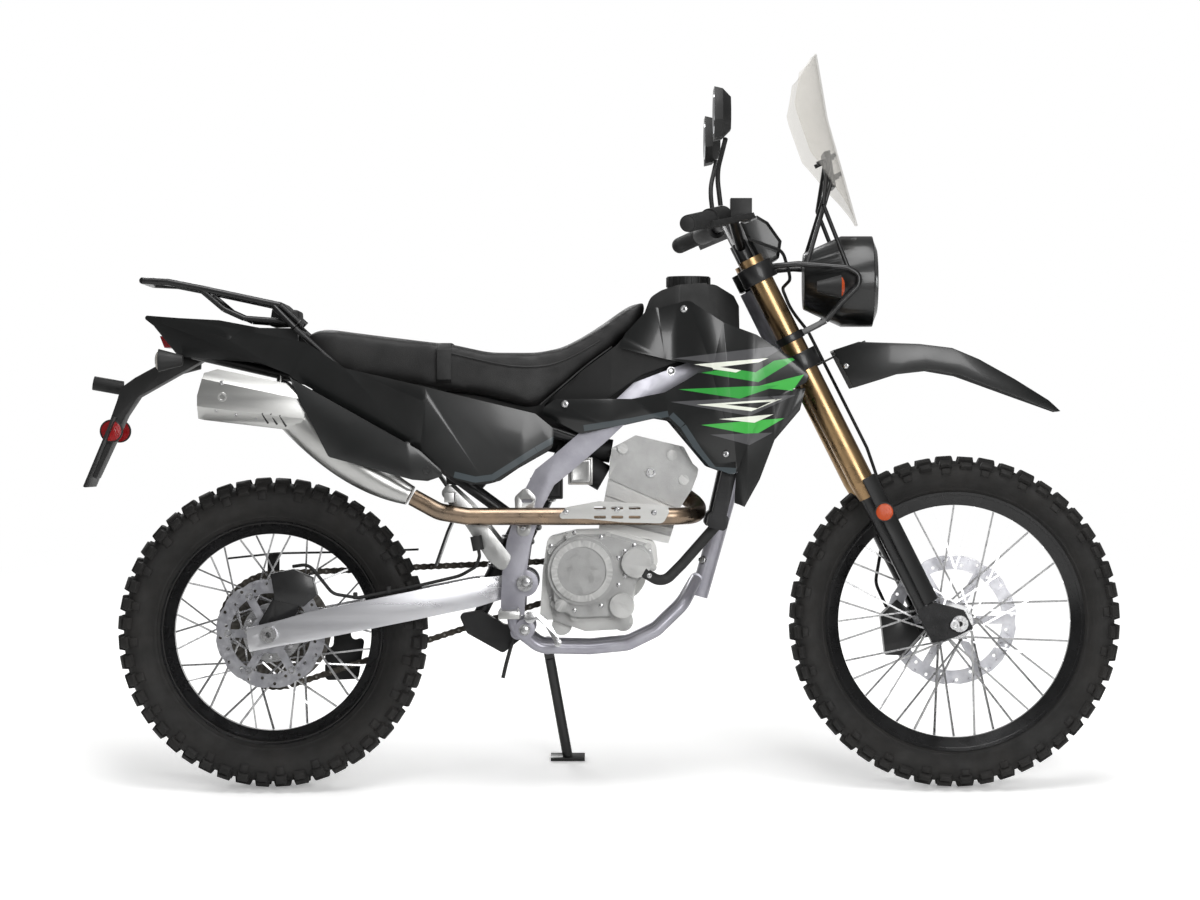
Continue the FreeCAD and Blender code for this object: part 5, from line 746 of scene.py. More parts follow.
class Sight:
    """Finds the points of the CAD solids that the photograph's camera sees.

    Attributes:
        trees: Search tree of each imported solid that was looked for.
    """

    def __init__(self) -> None:
        """Start without a search tree."""
        self.trees: dict[str, BVHTree] = {}

    def tree(self, node: str) -> BVHTree:
        """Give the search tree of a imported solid, which is built once."""
        if node not in self.trees:
            mesh = FRAME["nodes"][node].data
            corners = [vertex.co for vertex in mesh.vertices]
            faces = [tuple(face.vertices) for face in mesh.polygons]
            self.trees[node] = BVHTree.FromPolygons(corners, faces)
        return self.trees[node]

    def aim(self, across: float, down: float) -> Vector:
        """Give the upright way from the camera to a picture point, one long towards the left."""
        reach = -PHOTO_EYE[1] / PHOTO_UNIT
        width, height = PHOTO_SIZE
        return Vector(((across - width / 2) / reach, 1.0, (height / 2 - down) / reach))

    def on_plane(self, across: float, down: float, y: float) -> Vector:
        """Give the upright point, in metres, behind a picture point on the plane at this y."""
        return spot(*PHOTO_EYE) + self.aim(across, down) * (y - PHOTO_EYE[1]) * MM

    def seen(self, across: float, down: float, onto: str = "") -> tuple[Vector, Vector]:
        """Find the surface behind a picture point.

        Args:
            across: Picture place from the left.
            down: Picture place from the top.
            onto: CAD node that is meant, or an empty text for the nearest one.

        Returns:
            The upright point and normal of the surface.
        """
        return self.along(spot(*PHOTO_EYE), self.aim(across, down).normalized(), onto)

    def opposite(self, point: Vector, onto: str) -> tuple[Vector, Vector]:
        """Find the left side's outer surface that faces a point of the right side.

        Args:
            point: The upright point, in metres.
            onto: CAD node that is meant.

        Returns:
            The upright point and normal of the surface.
        """
        return self.along(Vector((point.x, 1.0, point.z)), -LEFT, onto)

    def along(self, eye: Vector, aim: Vector, onto: str) -> tuple[Vector, Vector]:
        """Find the first surface along a line.

        Args:
            eye: Upright start of the line, in metres.
            aim: Its upright direction.
            onto: CAD node that is meant, or an empty text for the nearest one.

        Returns:
            The upright point and normal, or the start and the way back where nothing is met.
        """
        back = LEAN.matrix().inverted()
        start, way = LEAN.matrix() @ eye, LEAN.turn().to_3x3() @ aim
        best = None
        for name in FRAME["nodes"]:
            if onto and name != onto:
                continue
            point, normal, _, _ = self.tree(name).ray_cast(start, way)
            if point and (best is None or (point - start).length < (best[0] - start).length):
                best = (point, normal)
        if best is None:
            LOG.warning("nothing is met from %s towards %s on %s", eye, aim, onto or "any node")
            return eye, -aim
        normal = back.to_3x3() @ best[1]
        return back @ best[0], normal if normal.dot(aim) < 0 else -normal


SIGHT = Sight()


def dressed(
    piece: Piece,
    name: str,
    finish: Finish,
    body: Body = Body.CHASSIS,
    smooth: float = 35.0,
) -> Piece:
    """Name a piece that already leans, dress it and let it ride.

    Args:
        piece: The piece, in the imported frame.
        name: Its name.
        finish: What it is made of.
        body: The body that it rides on.
        smooth: Angle up to which its edges look smooth, in degrees.

    Returns:
        The piece.
    """
    piece.name = name
    piece.data.name = name
    alone(piece)
    bpy.ops.object.shade_smooth_by_angle(angle=math.radians(smooth))
    piece.data.materials.clear()
    piece.data.materials.append(finish.build())
    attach(piece, body.value)
    LOG.info("%s: %d faces on %s", name, len(piece.data.polygons), body.value)
    return piece


def finished(
    piece: Piece,
    name: str,
    finish: Finish,
    body: Body = Body.CHASSIS,
    smooth: float = 35.0,
) -> Piece:
    """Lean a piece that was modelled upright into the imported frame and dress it."""
    return dressed(moved(piece, LEAN.matrix()), name, finish, body, smooth)


def copied(node: str) -> Piece:
    """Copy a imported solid's mesh into a new piece, its doubled points merged and flat faces whole."""
    solid = FRAME["nodes"][node]
    piece = bpy.data.objects.new(f"{node}_copy", solid.data.copy())
    bpy.context.scene.collection.objects.link(piece)
    edit_all(outward(piece))
    bpy.ops.mesh.dissolve_limited(angle_limit=math.radians(0.4))
    bpy.ops.object.mode_set(mode="OBJECT")
    return piece


def body_of(node: str) -> Body:
    """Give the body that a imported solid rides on."""
    return Body(FRAME["nodes"][node]["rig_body"])


# injection moulded ABS, lacquered: deep black with clear reflections and slight flow marks
LACQUERED_ABS = {
    "colour": "#040505", "tint": "#080a0a", "roughness": 0.34, "spread": 0.05, "coat": 0.3,
    "grain": Grain.MOULDED, "grain_size": 0.03, "relief": 0.00012, "patch": 0.2,
}
# the pressed prisms behind a lamp's face, drawn at 3 mm
PRISMS = {"grain": Grain.LEATHER, "grain_size": 0.003, "relief": 0.0006}
BAND_GREY = "#3c4448"
BAND_WIDTH = 13.0

TYRE_RUBBER = Finish(
    # vulcanised carbon black rubber: almost black, dull, browner where dust sits in it
    "vulcanised_rubber", "#121110", "#1c1a18", roughness=0.78, grain=Grain.CAST,
    grain_size=0.004, relief=0.0004, patch=0.09,
)
BAR_RUBBER = Finish(
    # moulded nitrile rubber: soft black with a slight bloom
    "moulded_nitrile_rubber", "#171717", "#232323", roughness=0.7, grain=Grain.MOULDED,
    grain_size=0.0015, relief=0.0001,
)
GLOSS_BLACK = Finish("lacquered_black_abs", **LACQUERED_ABS)
GRAINED_BLACK = Finish(
    # polypropylene from an etched mould: dull black with a fine leather-like grain, drawn at 1.5 mm
    "grained_black_polypropylene", "#0a0a0a", "#101010", roughness=0.58, grain=Grain.CAST,
    grain_size=0.0015, relief=0.00012, patch=0.12,
)
FRAME_SILVER = Finish(
    # powder coated steel: pale silver with a trace of violet and a slight orange peel
    "silver_powder_coated_steel", "#a3a2aa", "#8f8e97", metallic=0.45, roughness=0.38,
    grain=Grain.MOULDED, grain_size=0.006, relief=0.00015, coat=0.2, patch=0.08,
)
CAST_ALUMINIUM = Finish(
    # die cast aluminium, painted silver: fine sandy skin, duller in the hollows
    "sand_finished_die_cast_aluminium", "#a6a6a5", "#9b9b9a", metallic=0.9, roughness=0.36,
    grain=Grain.CAST, grain_size=0.0016, relief=0.0002, patch=0.05, wear="#c8c8c6",
)
BRIGHT_ALUMINIUM = Finish(
    # machined and polished aluminium: bright with fine lines along the work
    "polished_machined_aluminium", "#d2d2d2", "#bcbcbe", metallic=1.0, roughness=0.26,
    grain=Grain.BRUSHED, grain_size=0.0012, relief=0.00003, stretch=(12.0, 1.0, 1.0), patch=0.04,
)
ARM_ALUMINIUM = Finish(
    # extruded aluminium, brushed lengthwise and lacquered: bright, with long streaks
    "lengthwise_brushed_aluminium", "#d6d6d8", "#c2c2c6", metallic=0.9, roughness=0.3,
    grain=Grain.BRUSHED, grain_size=0.001, relief=0.00004, stretch=(40.0, 1.0, 1.0), patch=0.1,
)
GOLD_ANODISING = Finish(
    # gold anodised aluminium tube: warm brown gold with a soft mirror along its length
    "gold_anodised_aluminium", "#a98c66", "#92785a", metallic=1.0, roughness=0.28,
    grain=Grain.BRUSHED, grain_size=0.0008, relief=0.00002, patch=0.12,
)
BRIGHT_STEEL = Finish(
    # stainless steel wire and bolts: bright grey with a soft mirror
    "bright_stainless_steel", "#c6c6c6", "#acacae", metallic=1.0, roughness=0.28, patch=0.02,
)
DISC_STEEL = Finish(
    # ground stainless disc: grey with faint rings of grinding marks
    "ground_disc_steel", "#bdbdc1", "#a5a5ab", metallic=1.0, roughness=0.34, grain=Grain.BRUSHED,
    grain_size=0.0015, relief=0.00006, patch=0.03,
)
BRONZE_ANODISING = Finish(
    # bronze anodised buttons and pistons: brown metal, slightly dull
    "bronze_anodised_metal", "#8b5e3c", "#6f4a2f", metallic=0.9, roughness=0.38, patch=0.01,
)
CHAIN_STEEL = Finish(
    # oiled roller chain: dark grey steel, dull where grease and dust lie
    "oiled_chain_steel", "#57534d", "#37342f", metallic=0.85, roughness=0.46, patch=0.012,
    wear="#8a8782",
)
BLACK_STEEL = Finish(
    # semi gloss powder coated steel tube: black with a slight orange peel
    "black_powder_coated_steel", "#0a0a0b", "#121213", metallic=0.1, roughness=0.4,
    grain=Grain.MOULDED, grain_size=0.004, relief=0.0001, coat=0.25, patch=0.07,
)
RIM_ENAMEL = Finish(
    # black anodised and lacquered rim: black with a clear mirror of the spokes
    "black_anodised_rim", "#0d0d0e", "#161617", metallic=0.4, roughness=0.27, coat=0.4,
    grain=Grain.BRUSHED, grain_size=0.003, relief=0.00003, patch=0.1,
)
TINTED_HEADER = Finish(
    # stainless pipe, tinted by heat: brown gold with paler and darker bands
    "heat_tinted_stainless_pipe", "#988470", "#807264", metallic=1.0, roughness=0.3, patch=0.07,
    grain=Grain.BRUSHED, grain_size=0.001, relief=0.00003,
)
SATIN_STAINLESS = Finish(
    # satin brushed stainless sheet: pale grey with short streaks
    "satin_brushed_stainless", "#c4c4c2", "#acaca9", metallic=1.0, roughness=0.36,
    grain=Grain.BRUSHED, grain_size=0.0012, relief=0.00006, stretch=(14.0, 1.0, 1.0), patch=0.1,
)
SEAT_VINYL = Finish(
    # foam backed vinyl: black with a pebbled leather grain, drawn at 2.5 mm
    "pebbled_seat_vinyl", "#0a0909", "#100f0f", roughness=0.6, grain=Grain.LEATHER,
    grain_size=0.0025, relief=0.0004, patch=0.1,
)
RADIATOR_BLACK = Finish(
    # baked black on brazed aluminium fins: dull black with fine lines
    "baked_black_aluminium", "#1a1a1b", "#262627", metallic=0.3, roughness=0.55,
    grain=Grain.BRUSHED, grain_size=0.002, relief=0.0005, stretch=(20.0, 20.0, 1.0), patch=0.05,
)
COOLANT_RUBBER = Finish(
    # reinforced EPDM hose: black with a cloth-like print, dull
    "reinforced_epdm_hose", "#191919", "#242424", roughness=0.66, grain=Grain.CAST,
    grain_size=0.0025, relief=0.0002,
)
LAMP_GLASS = ClearFinish(
    # pressed lamp glass: colourless with a slight green body
    "pressed_lamp_glass", "#f2f6f5", "#eef3f2", roughness=0.03, spread=0.01, ior=1.5, patch=0.2,
)
AMBER_LENS = ClearFinish(
    # amber acrylic: deep orange, lit through from its own prisms
    "amber_acrylic", "#d2541c", "#c04512", roughness=0.2, spread=0.05, clearness=0.25, patch=0.03,
    **PRISMS,
)
RED_LENS = ClearFinish(
    # red acrylic: deep red with a pressed prism pattern
    "red_acrylic", "#b3161b", "#8f0f14", roughness=0.18, spread=0.05, clearness=0.25, patch=0.03,
    **PRISMS,
)
PRINTED_PANEL = PrintedFinish(
    # lacquered ABS with a printed film under the lacquer: black with crisp shards of green and grey
    "printed_black_abs",
    **LACQUERED_ABS,
    shards=(
        Shard("#4b4b4d", ((842, 902), (1002, 884), (1082, 930))),
        Shard("#2f9a3b", ((900, 872), (1018, 852), (1104, 905))),
        Shard("#e9ecdf", ((866, 888), (972, 872), (1040, 902))),
        Shard("#101112", ((938, 884), (1012, 872), (1052, 897))),
        Shard("#3fae45", ((1010, 842), (1088, 834), (1112, 868))),
        Shard("#4b4b4d", ((836, 812), (1000, 782), (1096, 826))),
        Shard("#2f9a3b", ((852, 838), (980, 818), (1062, 846))),
        Shard("#e9ecdf", ((890, 806), (1004, 792), (1068, 818))),
        Shard("#101112", ((948, 806), (1016, 798), (1046, 812))),
        Shard("#3fae45", ((900, 764), (1010, 742), (1072, 778))),
        Shard("#4b4b4d", ((918, 744), (1000, 722), (1048, 748))),
        Shard("#e9ecdf", ((936, 776), (1010, 768), (1050, 786))),
        *edging(
            ((658, 751), (756, 766), (834, 781), (858, 758), (891, 707), (923, 665), (972, 662)),
            BAND_WIDTH, BAND_GREY,
        ),
    ),
)
EDGED_PANEL = PrintedFinish(
    # lacquered ABS with a painted lower edge: black over a band of blue grey
    "edged_black_abs",
    **LACQUERED_ABS,
    shards=edging(
        ((387, 655), (432, 644), (471, 649), (562, 707), (652, 759)), BAND_WIDTH, BAND_GREY
    ),
)
SIGNAL_LENS = ClearFinish(
    # clear acrylic over an amber bulb: milky white with a pressed prism pattern
    "clear_signal_acrylic", "#e8e4dc", "#d8d2c8", roughness=0.12, spread=0.04, clearness=0.5,
    patch=0.02, **PRISMS,
)
SCREEN_SHEET = SheetFinish(
    # clear polycarbonate sheet: nearly colourless, warm grey on edge
    "clear_polycarbonate_sheet", "#d2d0cc", "#f7f6f4", roughness=0.06, spread=0.02,
    patch=0.3,
)
MIRROR_SILVER = Finish(
    # silvered mirror glass: a clean mirror with the faintest grey
    "silvered_mirror_glass", "#e3e6e8", "#dde0e3", metallic=1.0, roughness=0.03, spread=0.01,
    patch=0.3,
)


def looked_at(tree: Tree) -> Socket:
    """Give one where the camera looks, straight or through glass, and zero for other light."""
    path = add_node(tree, "LightPath")
    shown = add_node(
        tree,
        "Math",
        {0: path.outputs["Is Camera Ray"], 1: path.outputs["Is Transmission Ray"]},
        operation="MAXIMUM",
    )
    return shown.outputs[0]


@dataclass(frozen=True)
class SoftLamp:
    """A square soft lamp that points at the motorcycle.

    Attributes:
        name: Its name.
        at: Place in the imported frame, in metres.
        size: Side of the lamp, in metres.
        watts: Its power.
        aim: Point that it is turned to, in metres.
    """

    name: str
    at: Triple
    size: float
    watts: float
    aim: Triple = (0.0, 0.0, 0.6)

    def hang(self) -> None:
        """Hang the lamp."""
        light = bpy.data.lights.new(self.name, "AREA")
        light.size = self.size
        light.energy = self.watts
        lamp = bpy.data.objects.new(self.name, light)
        bpy.context.scene.collection.objects.link(lamp)
        lamp.location = self.at
        way = Vector(self.aim) - Vector(self.at)
        lamp.rotation_euler = way.to_track_quat("-Z", "Y").to_euler()


@dataclass
class Studio:
    """The camera, the pale room and its soft light.

    Attributes:
        sensor: Width of the camera's sensor.
        floor_half: Half the floor's side, in metres.
        floor_lift: Light that the near floor shows beside what falls on it.
        shadow_reach: Distance from the motorcycle at which the floor begins to fade, in metres.
        white_from: Distance from which it is plain white, in metres.
        room_share: Share of the white room's light that falls on the motorcycle.
        lamps: The lamps.
    """

    sensor: float = 36.0
    floor_half: float = 30.0
    floor_lift: float = 0.3
    shadow_reach: float = 1.2
    white_from: float = 2.6
    room_share: float = 0.25
    lamps: tuple[SoftLamp, ...] = (
        SoftLamp("overhead_lamp", (0.2, -0.6, 4.2), 2.6, 120.0),
        SoftLamp("right_lamp", (1.6, -4.6, 2.6), 2.2, 115.0),
        SoftLamp("left_lamp", (-1.8, 4.4, 2.4), 2.2, 95.0),
    )

    def set_camera(self) -> None:
        """Stand the camera where the photograph was taken from."""
        lens = bpy.data.cameras.new("studio_camera")
        lens.sensor_width = self.sensor
        lens.lens = self.sensor * -PHOTO_EYE[1] / (PHOTO_SIZE[0] * PHOTO_UNIT)
        camera = bpy.data.objects.new("studio_camera", lens)
        bpy.context.scene.collection.objects.link(camera)
        turn = LEAN.turn() @ Matrix.Rotation(math.pi / 2, 4, "X")
        camera.matrix_world = Matrix.Translation(LEAN.matrix() @ spot(*PHOTO_EYE)) @ turn
        bpy.context.scene.camera = camera

    def floor_white(self) -> bpy.types.Material:
        """Make the floor's material, white far off, with the shadows near the tyres."""
        material = bpy.data.materials.new("matte_white_floor")
        material.use_nodes = True
        tree = material.node_tree
        shader = tree.nodes["Principled BSDF"]
        noise = add_node(tree, "TexNoise", {"Scale": 1.5})
        tint = add_node(
            tree,
            "Mix",
            {"Factor": noise.outputs["Fac"], "A": linear("#fbfbfa"), "B": linear("#ffffff")},
            data_type="RGBA",
        )
        tree.links.new(tint.outputs[2], shader.inputs["Base Color"])
        shader.inputs["Roughness"].default_value = 0.9
        glow = add_node(tree, "Emission", {"Color": (1.0, 1.0, 1.0, 1.0)})
        lifted = add_node(tree, "Emission", {"Strength": self.floor_lift})
        near = add_node(
            tree, "AddShader", {0: shader.outputs["BSDF"], 1: lifted.outputs["Emission"]}
        )
        coordinates = add_node(tree, "TexCoord")
        reach = add_node(
            tree, "VectorMath", {0: coordinates.outputs["Object"]}, operation="LENGTH"
        )
        far = add_node(
            tree,
            "MapRange",
            {
                "Value": reach.outputs["Value"],
                "From Min": self.shadow_reach,
                "From Max": self.white_from,
            },
            interpolation_type="SMOOTHSTEP",
        )
        looked = add_node(
            tree,
            "MixShader",
            {0: far.outputs["Result"], 1: near.outputs["Shader"], 2: glow.outputs["Emission"]},
        )
        mix = add_node(
            tree,
            "MixShader",
            {0: looked_at(tree), 1: shader.outputs["BSDF"], 2: looked.outputs["Shader"]},
        )
        tree.links.new(mix.outputs["Shader"], tree.nodes["Material Output"].inputs["Surface"])
        return material

    def lay_floor(self) -> None:
        """Lay the floor that the tyres and the stand rest on."""
        bpy.ops.mesh.primitive_plane_add(size=2 * self.floor_half, location=(0.0, 0.0, 0.0))
        floor = bpy.context.object
        floor.name = "studio_floor"
        floor.data.materials.append(self.floor_white())

    def light_room(self) -> None:
        """Light the motorcycle from above and both sides, with a white room behind it."""
        world = bpy.data.worlds.new("white_room")
        bpy.context.scene.world = world
        world.use_nodes = True
        tree = world.node_tree
        background = tree.nodes["Background"]
        level = add_node(
            tree, "MapRange", {"Value": looked_at(tree), "To Min": self.room_share, "To Max": 1.0}
        )
        background.inputs["Color"].default_value = (1.0, 1.0, 1.0, 1.0)
        tree.links.new(level.outputs["Result"], background.inputs["Strength"])
        for lamp in self.lamps:
            lamp.hang()
        bpy.context.scene.view_settings.view_transform = "Standard"

    def build(self) -> None:
        """Make the camera, the floor and the light."""
        self.set_camera()
        self.lay_floor()
        self.light_room()


NODES_BY_FINISH = (
    (TYRE_RUBBER, "front_tyre", "rear_tyre"),
    (RIM_ENAMEL, "front_rim", "rear_rim", "fork_sliders"),
    (BRIGHT_STEEL, "front_spokes", "rear_spokes", "front_axle", "rear_axle"),
    (BRIGHT_ALUMINIUM, "front_hub", "rear_hub", "pedals"),
    (DISC_STEEL, "front_disc", "rear_disc"),
    (CHAIN_STEEL, "rear_sprocket", "chain"),
    (GOLD_ANODISING, "fork_tubes"),
    (
        GRAINED_BLACK,
        "fork_guards", "controls", "mirrors", "front_signals", "fuel_tank", "fuel_cap",
        "plate_holder", "chain_guard", "airbox",
    ),
    (
        BLACK_STEEL,
        "triple_clamps", "handlebar", "headlight_bracket", "front_caliper", "rear_subframe",
        "rear_rack", "rear_shock", "rear_caliper", "side_stand",
    ),
    (BAR_RUBBER, "grips", "brake_hose", "rear_brake_hose"),
    (GLOSS_BLACK, "headlight", "instrument", "front_fender", "rear_fender"),
    (LAMP_GLASS, "headlight_lens"),
    (SCREEN_SHEET, "windshield"),
    (FRAME_SILVER, "main_frame"),
    (ARM_ALUMINIUM, "swingarm"),
    (CAST_ALUMINIUM, "engine_cases", "cylinder", "engine_covers", "footpegs"),
    (RADIATOR_BLACK, "radiators"),
    (COOLANT_RUBBER, "coolant_hose"),
    (TINTED_HEADER, "exhaust_pipe"),
    (SATIN_STAINLESS, "heat_guard", "muffler"),
    (SEAT_VINYL, "seat"),
    (PRINTED_PANEL, "shrouds"),
    (EDGED_PANEL, "side_panels"),
    (RED_LENS, "rear_lights"),
)
NODE_FINISHES = {node: finish for finish, *nodes in NODES_BY_FINISH for node in nodes}


def dress_nodes() -> None:
    """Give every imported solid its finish."""
    for name, solid in FRAME["nodes"].items():
        finish = NODE_FINISHES[name]
        solid.data.materials.clear()
        solid.data.materials.append(finish.build())
        alone(solid)
        bpy.ops.object.shade_smooth_by_angle(angle=math.radians(32))
        LOG.info("%s: %s", name, finish.name)


@dataclass(frozen=True)
class Rounding:
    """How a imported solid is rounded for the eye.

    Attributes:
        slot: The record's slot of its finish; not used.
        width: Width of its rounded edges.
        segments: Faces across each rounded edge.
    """

    slot: str
    width: float
    segments: int = 2


ROUNDINGS = {
    "swingarm": Rounding("hub", 4.0, 3),
    "main_frame": Rounding("frame", 3.0, 3),
    "side_panels": Rounding("plastic", 3.0, 3),
    "shrouds": Rounding("plastic", 3.0, 3),
    "front_fender": Rounding("plastic", 1.6),
    "fuel_tank": Rounding("matte", 6.0, 3),
    "rear_fender": Rounding("plastic", 2.0),
    "muffler": Rounding("muffler", 2.0),
    "triple_clamps": Rounding("engine", 2.0),
    "plate_holder": Rounding("matte", 2.0),
    "airbox": Rounding("matte", 4.0),
    "instrument": Rounding("plastic", 5.0, 3),
    "headlight": Rounding("plastic", 3.0, 3),
    "mirrors": Rounding("matte", 9.0, 4),
    "front_caliper": Rounding("caliper", 2.0),
    "rear_caliper": Rounding("caliper", 2.0),
    "footpegs": Rounding("steel", 1.2),
    "chain_guard": Rounding("matte", 2.0),
    "controls": Rounding("matte", 1.5),
    "fork_guards": Rounding("matte", 1.6),
    "headlight_bracket": Rounding("steel", 1.2),
    "radiators": Rounding("radiator", 2.0),
    "side_stand": Rounding("matte_steel", 1.5),
    "pedals": Rounding("steel", 1.5),
}


def round_nodes() -> None:
    """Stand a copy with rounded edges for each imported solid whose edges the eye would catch."""
    for node, rounding in ROUNDINGS.items():
        piece = softened(copied(node), rounding.width, rounding.segments)
        finish = NODE_FINISHES[node]
        dressed(piece, f"{node}_rounded", finish, body_of(node), smooth=40.0)
        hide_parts(node)


@dataclass(frozen=True)
class BlockRow:
    """One row of tread blocks, in shares of the tyre's own sizes.

    Attributes:
        length: Share of the pitch that a block is long.
        width: Share of half the tyre's width that it is wide.
        height: Share of the middle blocks' height.
        out: Place of its foot as a share of half the width.
        up: Place of its foot as a share of the section's height.
        lift: Outward tilt, in radians.
        odd: Zero or one, for the pitches that the row stands on.
    """

    length: float
    width: float
    height: float
    out: float
    up: float
    lift: float
    odd: int


@dataclass
class Tyre:
    """A block pattern tyre: a spun casing with rows of tapered blocks.

    Attributes:
        node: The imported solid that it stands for, and its name's start.
        body: The wheel that it rides on.
        centre: Forward and upward place of the wheel's middle.
        radius: Radius over the blocks.
        width: Width over the shoulders.
        bead: Radius of the bead.
        seat_half: Half the width between the beads.
        pitches: Number of blocks round the shoulder.
        block_height: Height of the middle blocks.
        wall: Thickness of the casing at the bead.
        crown: Thickness of the casing under the tread.
        slack: How far the casing stays inside the shoulders on each side.
        sunk: Depth of a block's foot in the casing.
        edge: Width of a block's softened edges.
        draft: Shares of its length, width and height that a block keeps at its top.
        steps: Steps of the casing's full turn.
        wall_shares: Side wall's points, up the section and out from bead to shoulder.
        crown_shares: Points from shoulder to middle, up the section and out of its half width.
        rows: The rows of blocks, from the middle to the side.
    """

    node: str
    body: Body
    centre: Pair
    radius: float
    width: float
    bead: float
    seat_half: float
    pitches: int = 48
    block_height: float = 11.0
    wall: float = 8.0
    crown: float = 12.0
    slack: float = 2.0
    sunk: float = 4.0
    edge: float = 0.9
    draft: Triple = (0.8, 0.84, 1.0)
    steps: int = 96
    wall_shares: Pairs = (
        (0.0, 0.0), (0.05, 0.02), (0.12, 0.10), (0.16, 0.30), (0.20, 0.33), (0.23, 0.45),
        (0.38, 0.78), (0.55, 0.97), (0.68, 1.0),
    )
    crown_shares: Pairs = ((0.80, 0.93), (0.90, 0.76), (0.96, 0.50), (0.99, 0.25))
    rows: tuple[BlockRow, ...] = (
        BlockRow(0.86, 0.46, 1.0, 0.24, 0.99, 0.10, 0),
        BlockRow(0.80, 0.40, 1.0, 0.50, 0.955, 0.42, 1),
        BlockRow(0.62, 0.36, 0.95, 0.80, 0.875, 0.86, 0),
        BlockRow(0.62, 0.30, 0.8, 0.86, 0.84, 0.95, 1),
        BlockRow(0.46, 0.34, 0.3, 0.955, 0.70, 1.42, 0),
    )

    def tread(self) -> float:
        """Give the casing's radius under the blocks."""
        return self.radius - self.block_height

    def profile(self) -> list[Pair]:
        """Give the casing's closed section as radius and leftward place."""
        high = self.tread() - self.bead
        half = self.width / 2 - self.slack
        flank = half - self.seat_half
        outer = [(self.bead + up * high, self.seat_half + out * flank) for up, out in self.wall_shares]
        outer += [(self.bead + up * high, out * half) for up, out in self.crown_shares]
        inner = [(self.bead, self.wall - self.seat_half), (self.bead + high / 2, self.crown - half)]
        section = outer + [(self.tread(), 0.0)] + [(radius, -y) for radius, y in outer[::-1]]
        section += inner + [(self.tread() - self.crown, 0.0)]
        return section + [(radius, -y) for radius, y in inner[::-1]]

    def block(self, along: float, across: float, high: float) -> Piece:
        """Model one tread block with drafted sides and softened edges.

        Args:
            along: Length round the tyre.
            across: Width across the tyre.
            high: Height over the casing.

        Returns:
            The block, its foot at the origin.
        """
        piece = block((along, across, high + self.sunk), (0.0, 0.0, (high - self.sunk) / 2))
        choose(piece, faces_up)
        bpy.ops.transform.resize(value=self.draft)
        return softened(piece, self.edge, 1)

    def place(self, turn: float, radius: float, y: float, lift: float) -> Matrix:
        """Give the matrix that stands a block on the casing.

        Args:
            turn: Angle round the wheel, in radians.
            radius: Radius of the block's foot.
            y: Leftward place of its foot.
            lift: Angle between the block and the wheel's plane, in radians.

        Returns:
            The matrix.
        """
        out = Vector((math.cos(turn), 0.0, math.sin(turn)))
        up = out * math.cos(lift) + LEFT * math.sin(lift)
        along = Vector((-math.sin(turn), 0.0, math.cos(turn)))
        turned = Matrix((along, up.cross(along), up)).transposed().to_4x4()
        x, z = self.centre
        return Matrix.Translation(spot(x, y, z) + out * radius * MM) @ turned

    def row(self, row: BlockRow) -> Piece:
        """Repeat one block round both halves of the tyre."""
        pitch = math.tau * self.radius / self.pitches
        half = self.width / 2
        radius = self.bead + row.up * (self.tread() - self.bead)
        places = []
        for index in range(row.odd, self.pitches, 2):
            turn = math.tau * (index + 0.5) / self.pitches
            for side in (1, -1):
                places.append(self.place(turn, radius, side * row.out * half, side * row.lift))
        size = (pitch * row.length, half * row.width, self.block_height * row.height)
        return copies(self.block(*size), places)

    def build(self) -> None:
        """Spin the casing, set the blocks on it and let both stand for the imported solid."""
        x, z = self.centre
        upright = Matrix.Translation(spot(x, 0.0, z)) @ Matrix.Rotation(math.pi / 2, 4, "X")
        casing = moved(spun(self.profile(), self.steps), upright)
        tyre = joined([casing, *(self.row(row) for row in self.rows)])
        finished(tyre, f"{self.node}_rubber", TYRE_RUBBER, self.body, smooth=40.0)
        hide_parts(self.node)


class Head(Enum):
    """Kinds of fastener heads, each by its turned section in shares of the head's radius."""

    HEX = ((1.0, 0.16), (0.0, 0.16))
    BUTTON = ((1.0, 0.22), (0.86, 0.42), (0.5, 0.54), (0.42, 0.5), (0.4, 0.16), (0.0, 0.16))
    RING = ((1.0, 0.1), (0.92, 0.18), (0.6, 0.18), (0.5, 0.08))


HEAD_SUNK = 0.8
NUT_SHARE = 0.78
NUT_HEIGHT_SHARE = 0.7
NUT_MIDDLE_SHARE = 0.45
NUT_CHAMFER_SHARE = 0.12


def bolt_head(head: Head, radius: float) -> Piece:
    """Model a fastener's head at the origin, its foot sunk a little.

    Args:
        head: Kind of head.
        radius: Its radius.

    Returns:
        The head, facing upwards, with a nut on its washer where it is hexagonal.
    """
    section = [(out * radius, up * radius) for out, up in head.value]
    foot = [(section[-1][0], -HEAD_SUNK), (radius, -HEAD_SUNK)]
    turned = spun(foot + section, 28 if head is Head.RING else 20)
    if head is not Head.HEX:
        return turned
    bpy.ops.mesh.primitive_cylinder_add(
        vertices=6,
        radius=radius * NUT_SHARE * MM,
        depth=radius * NUT_HEIGHT_SHARE * MM,
        location=(0.0, 0.0, radius * NUT_MIDDLE_SHARE * MM),
    )
    nut = placed(bpy.context.object)
    choose(nut, faces_up)
    bpy.ops.mesh.bevel(offset=radius * NUT_CHAMFER_SHARE * MM, segments=2, affect="EDGES")
    return joined([nut, turned])


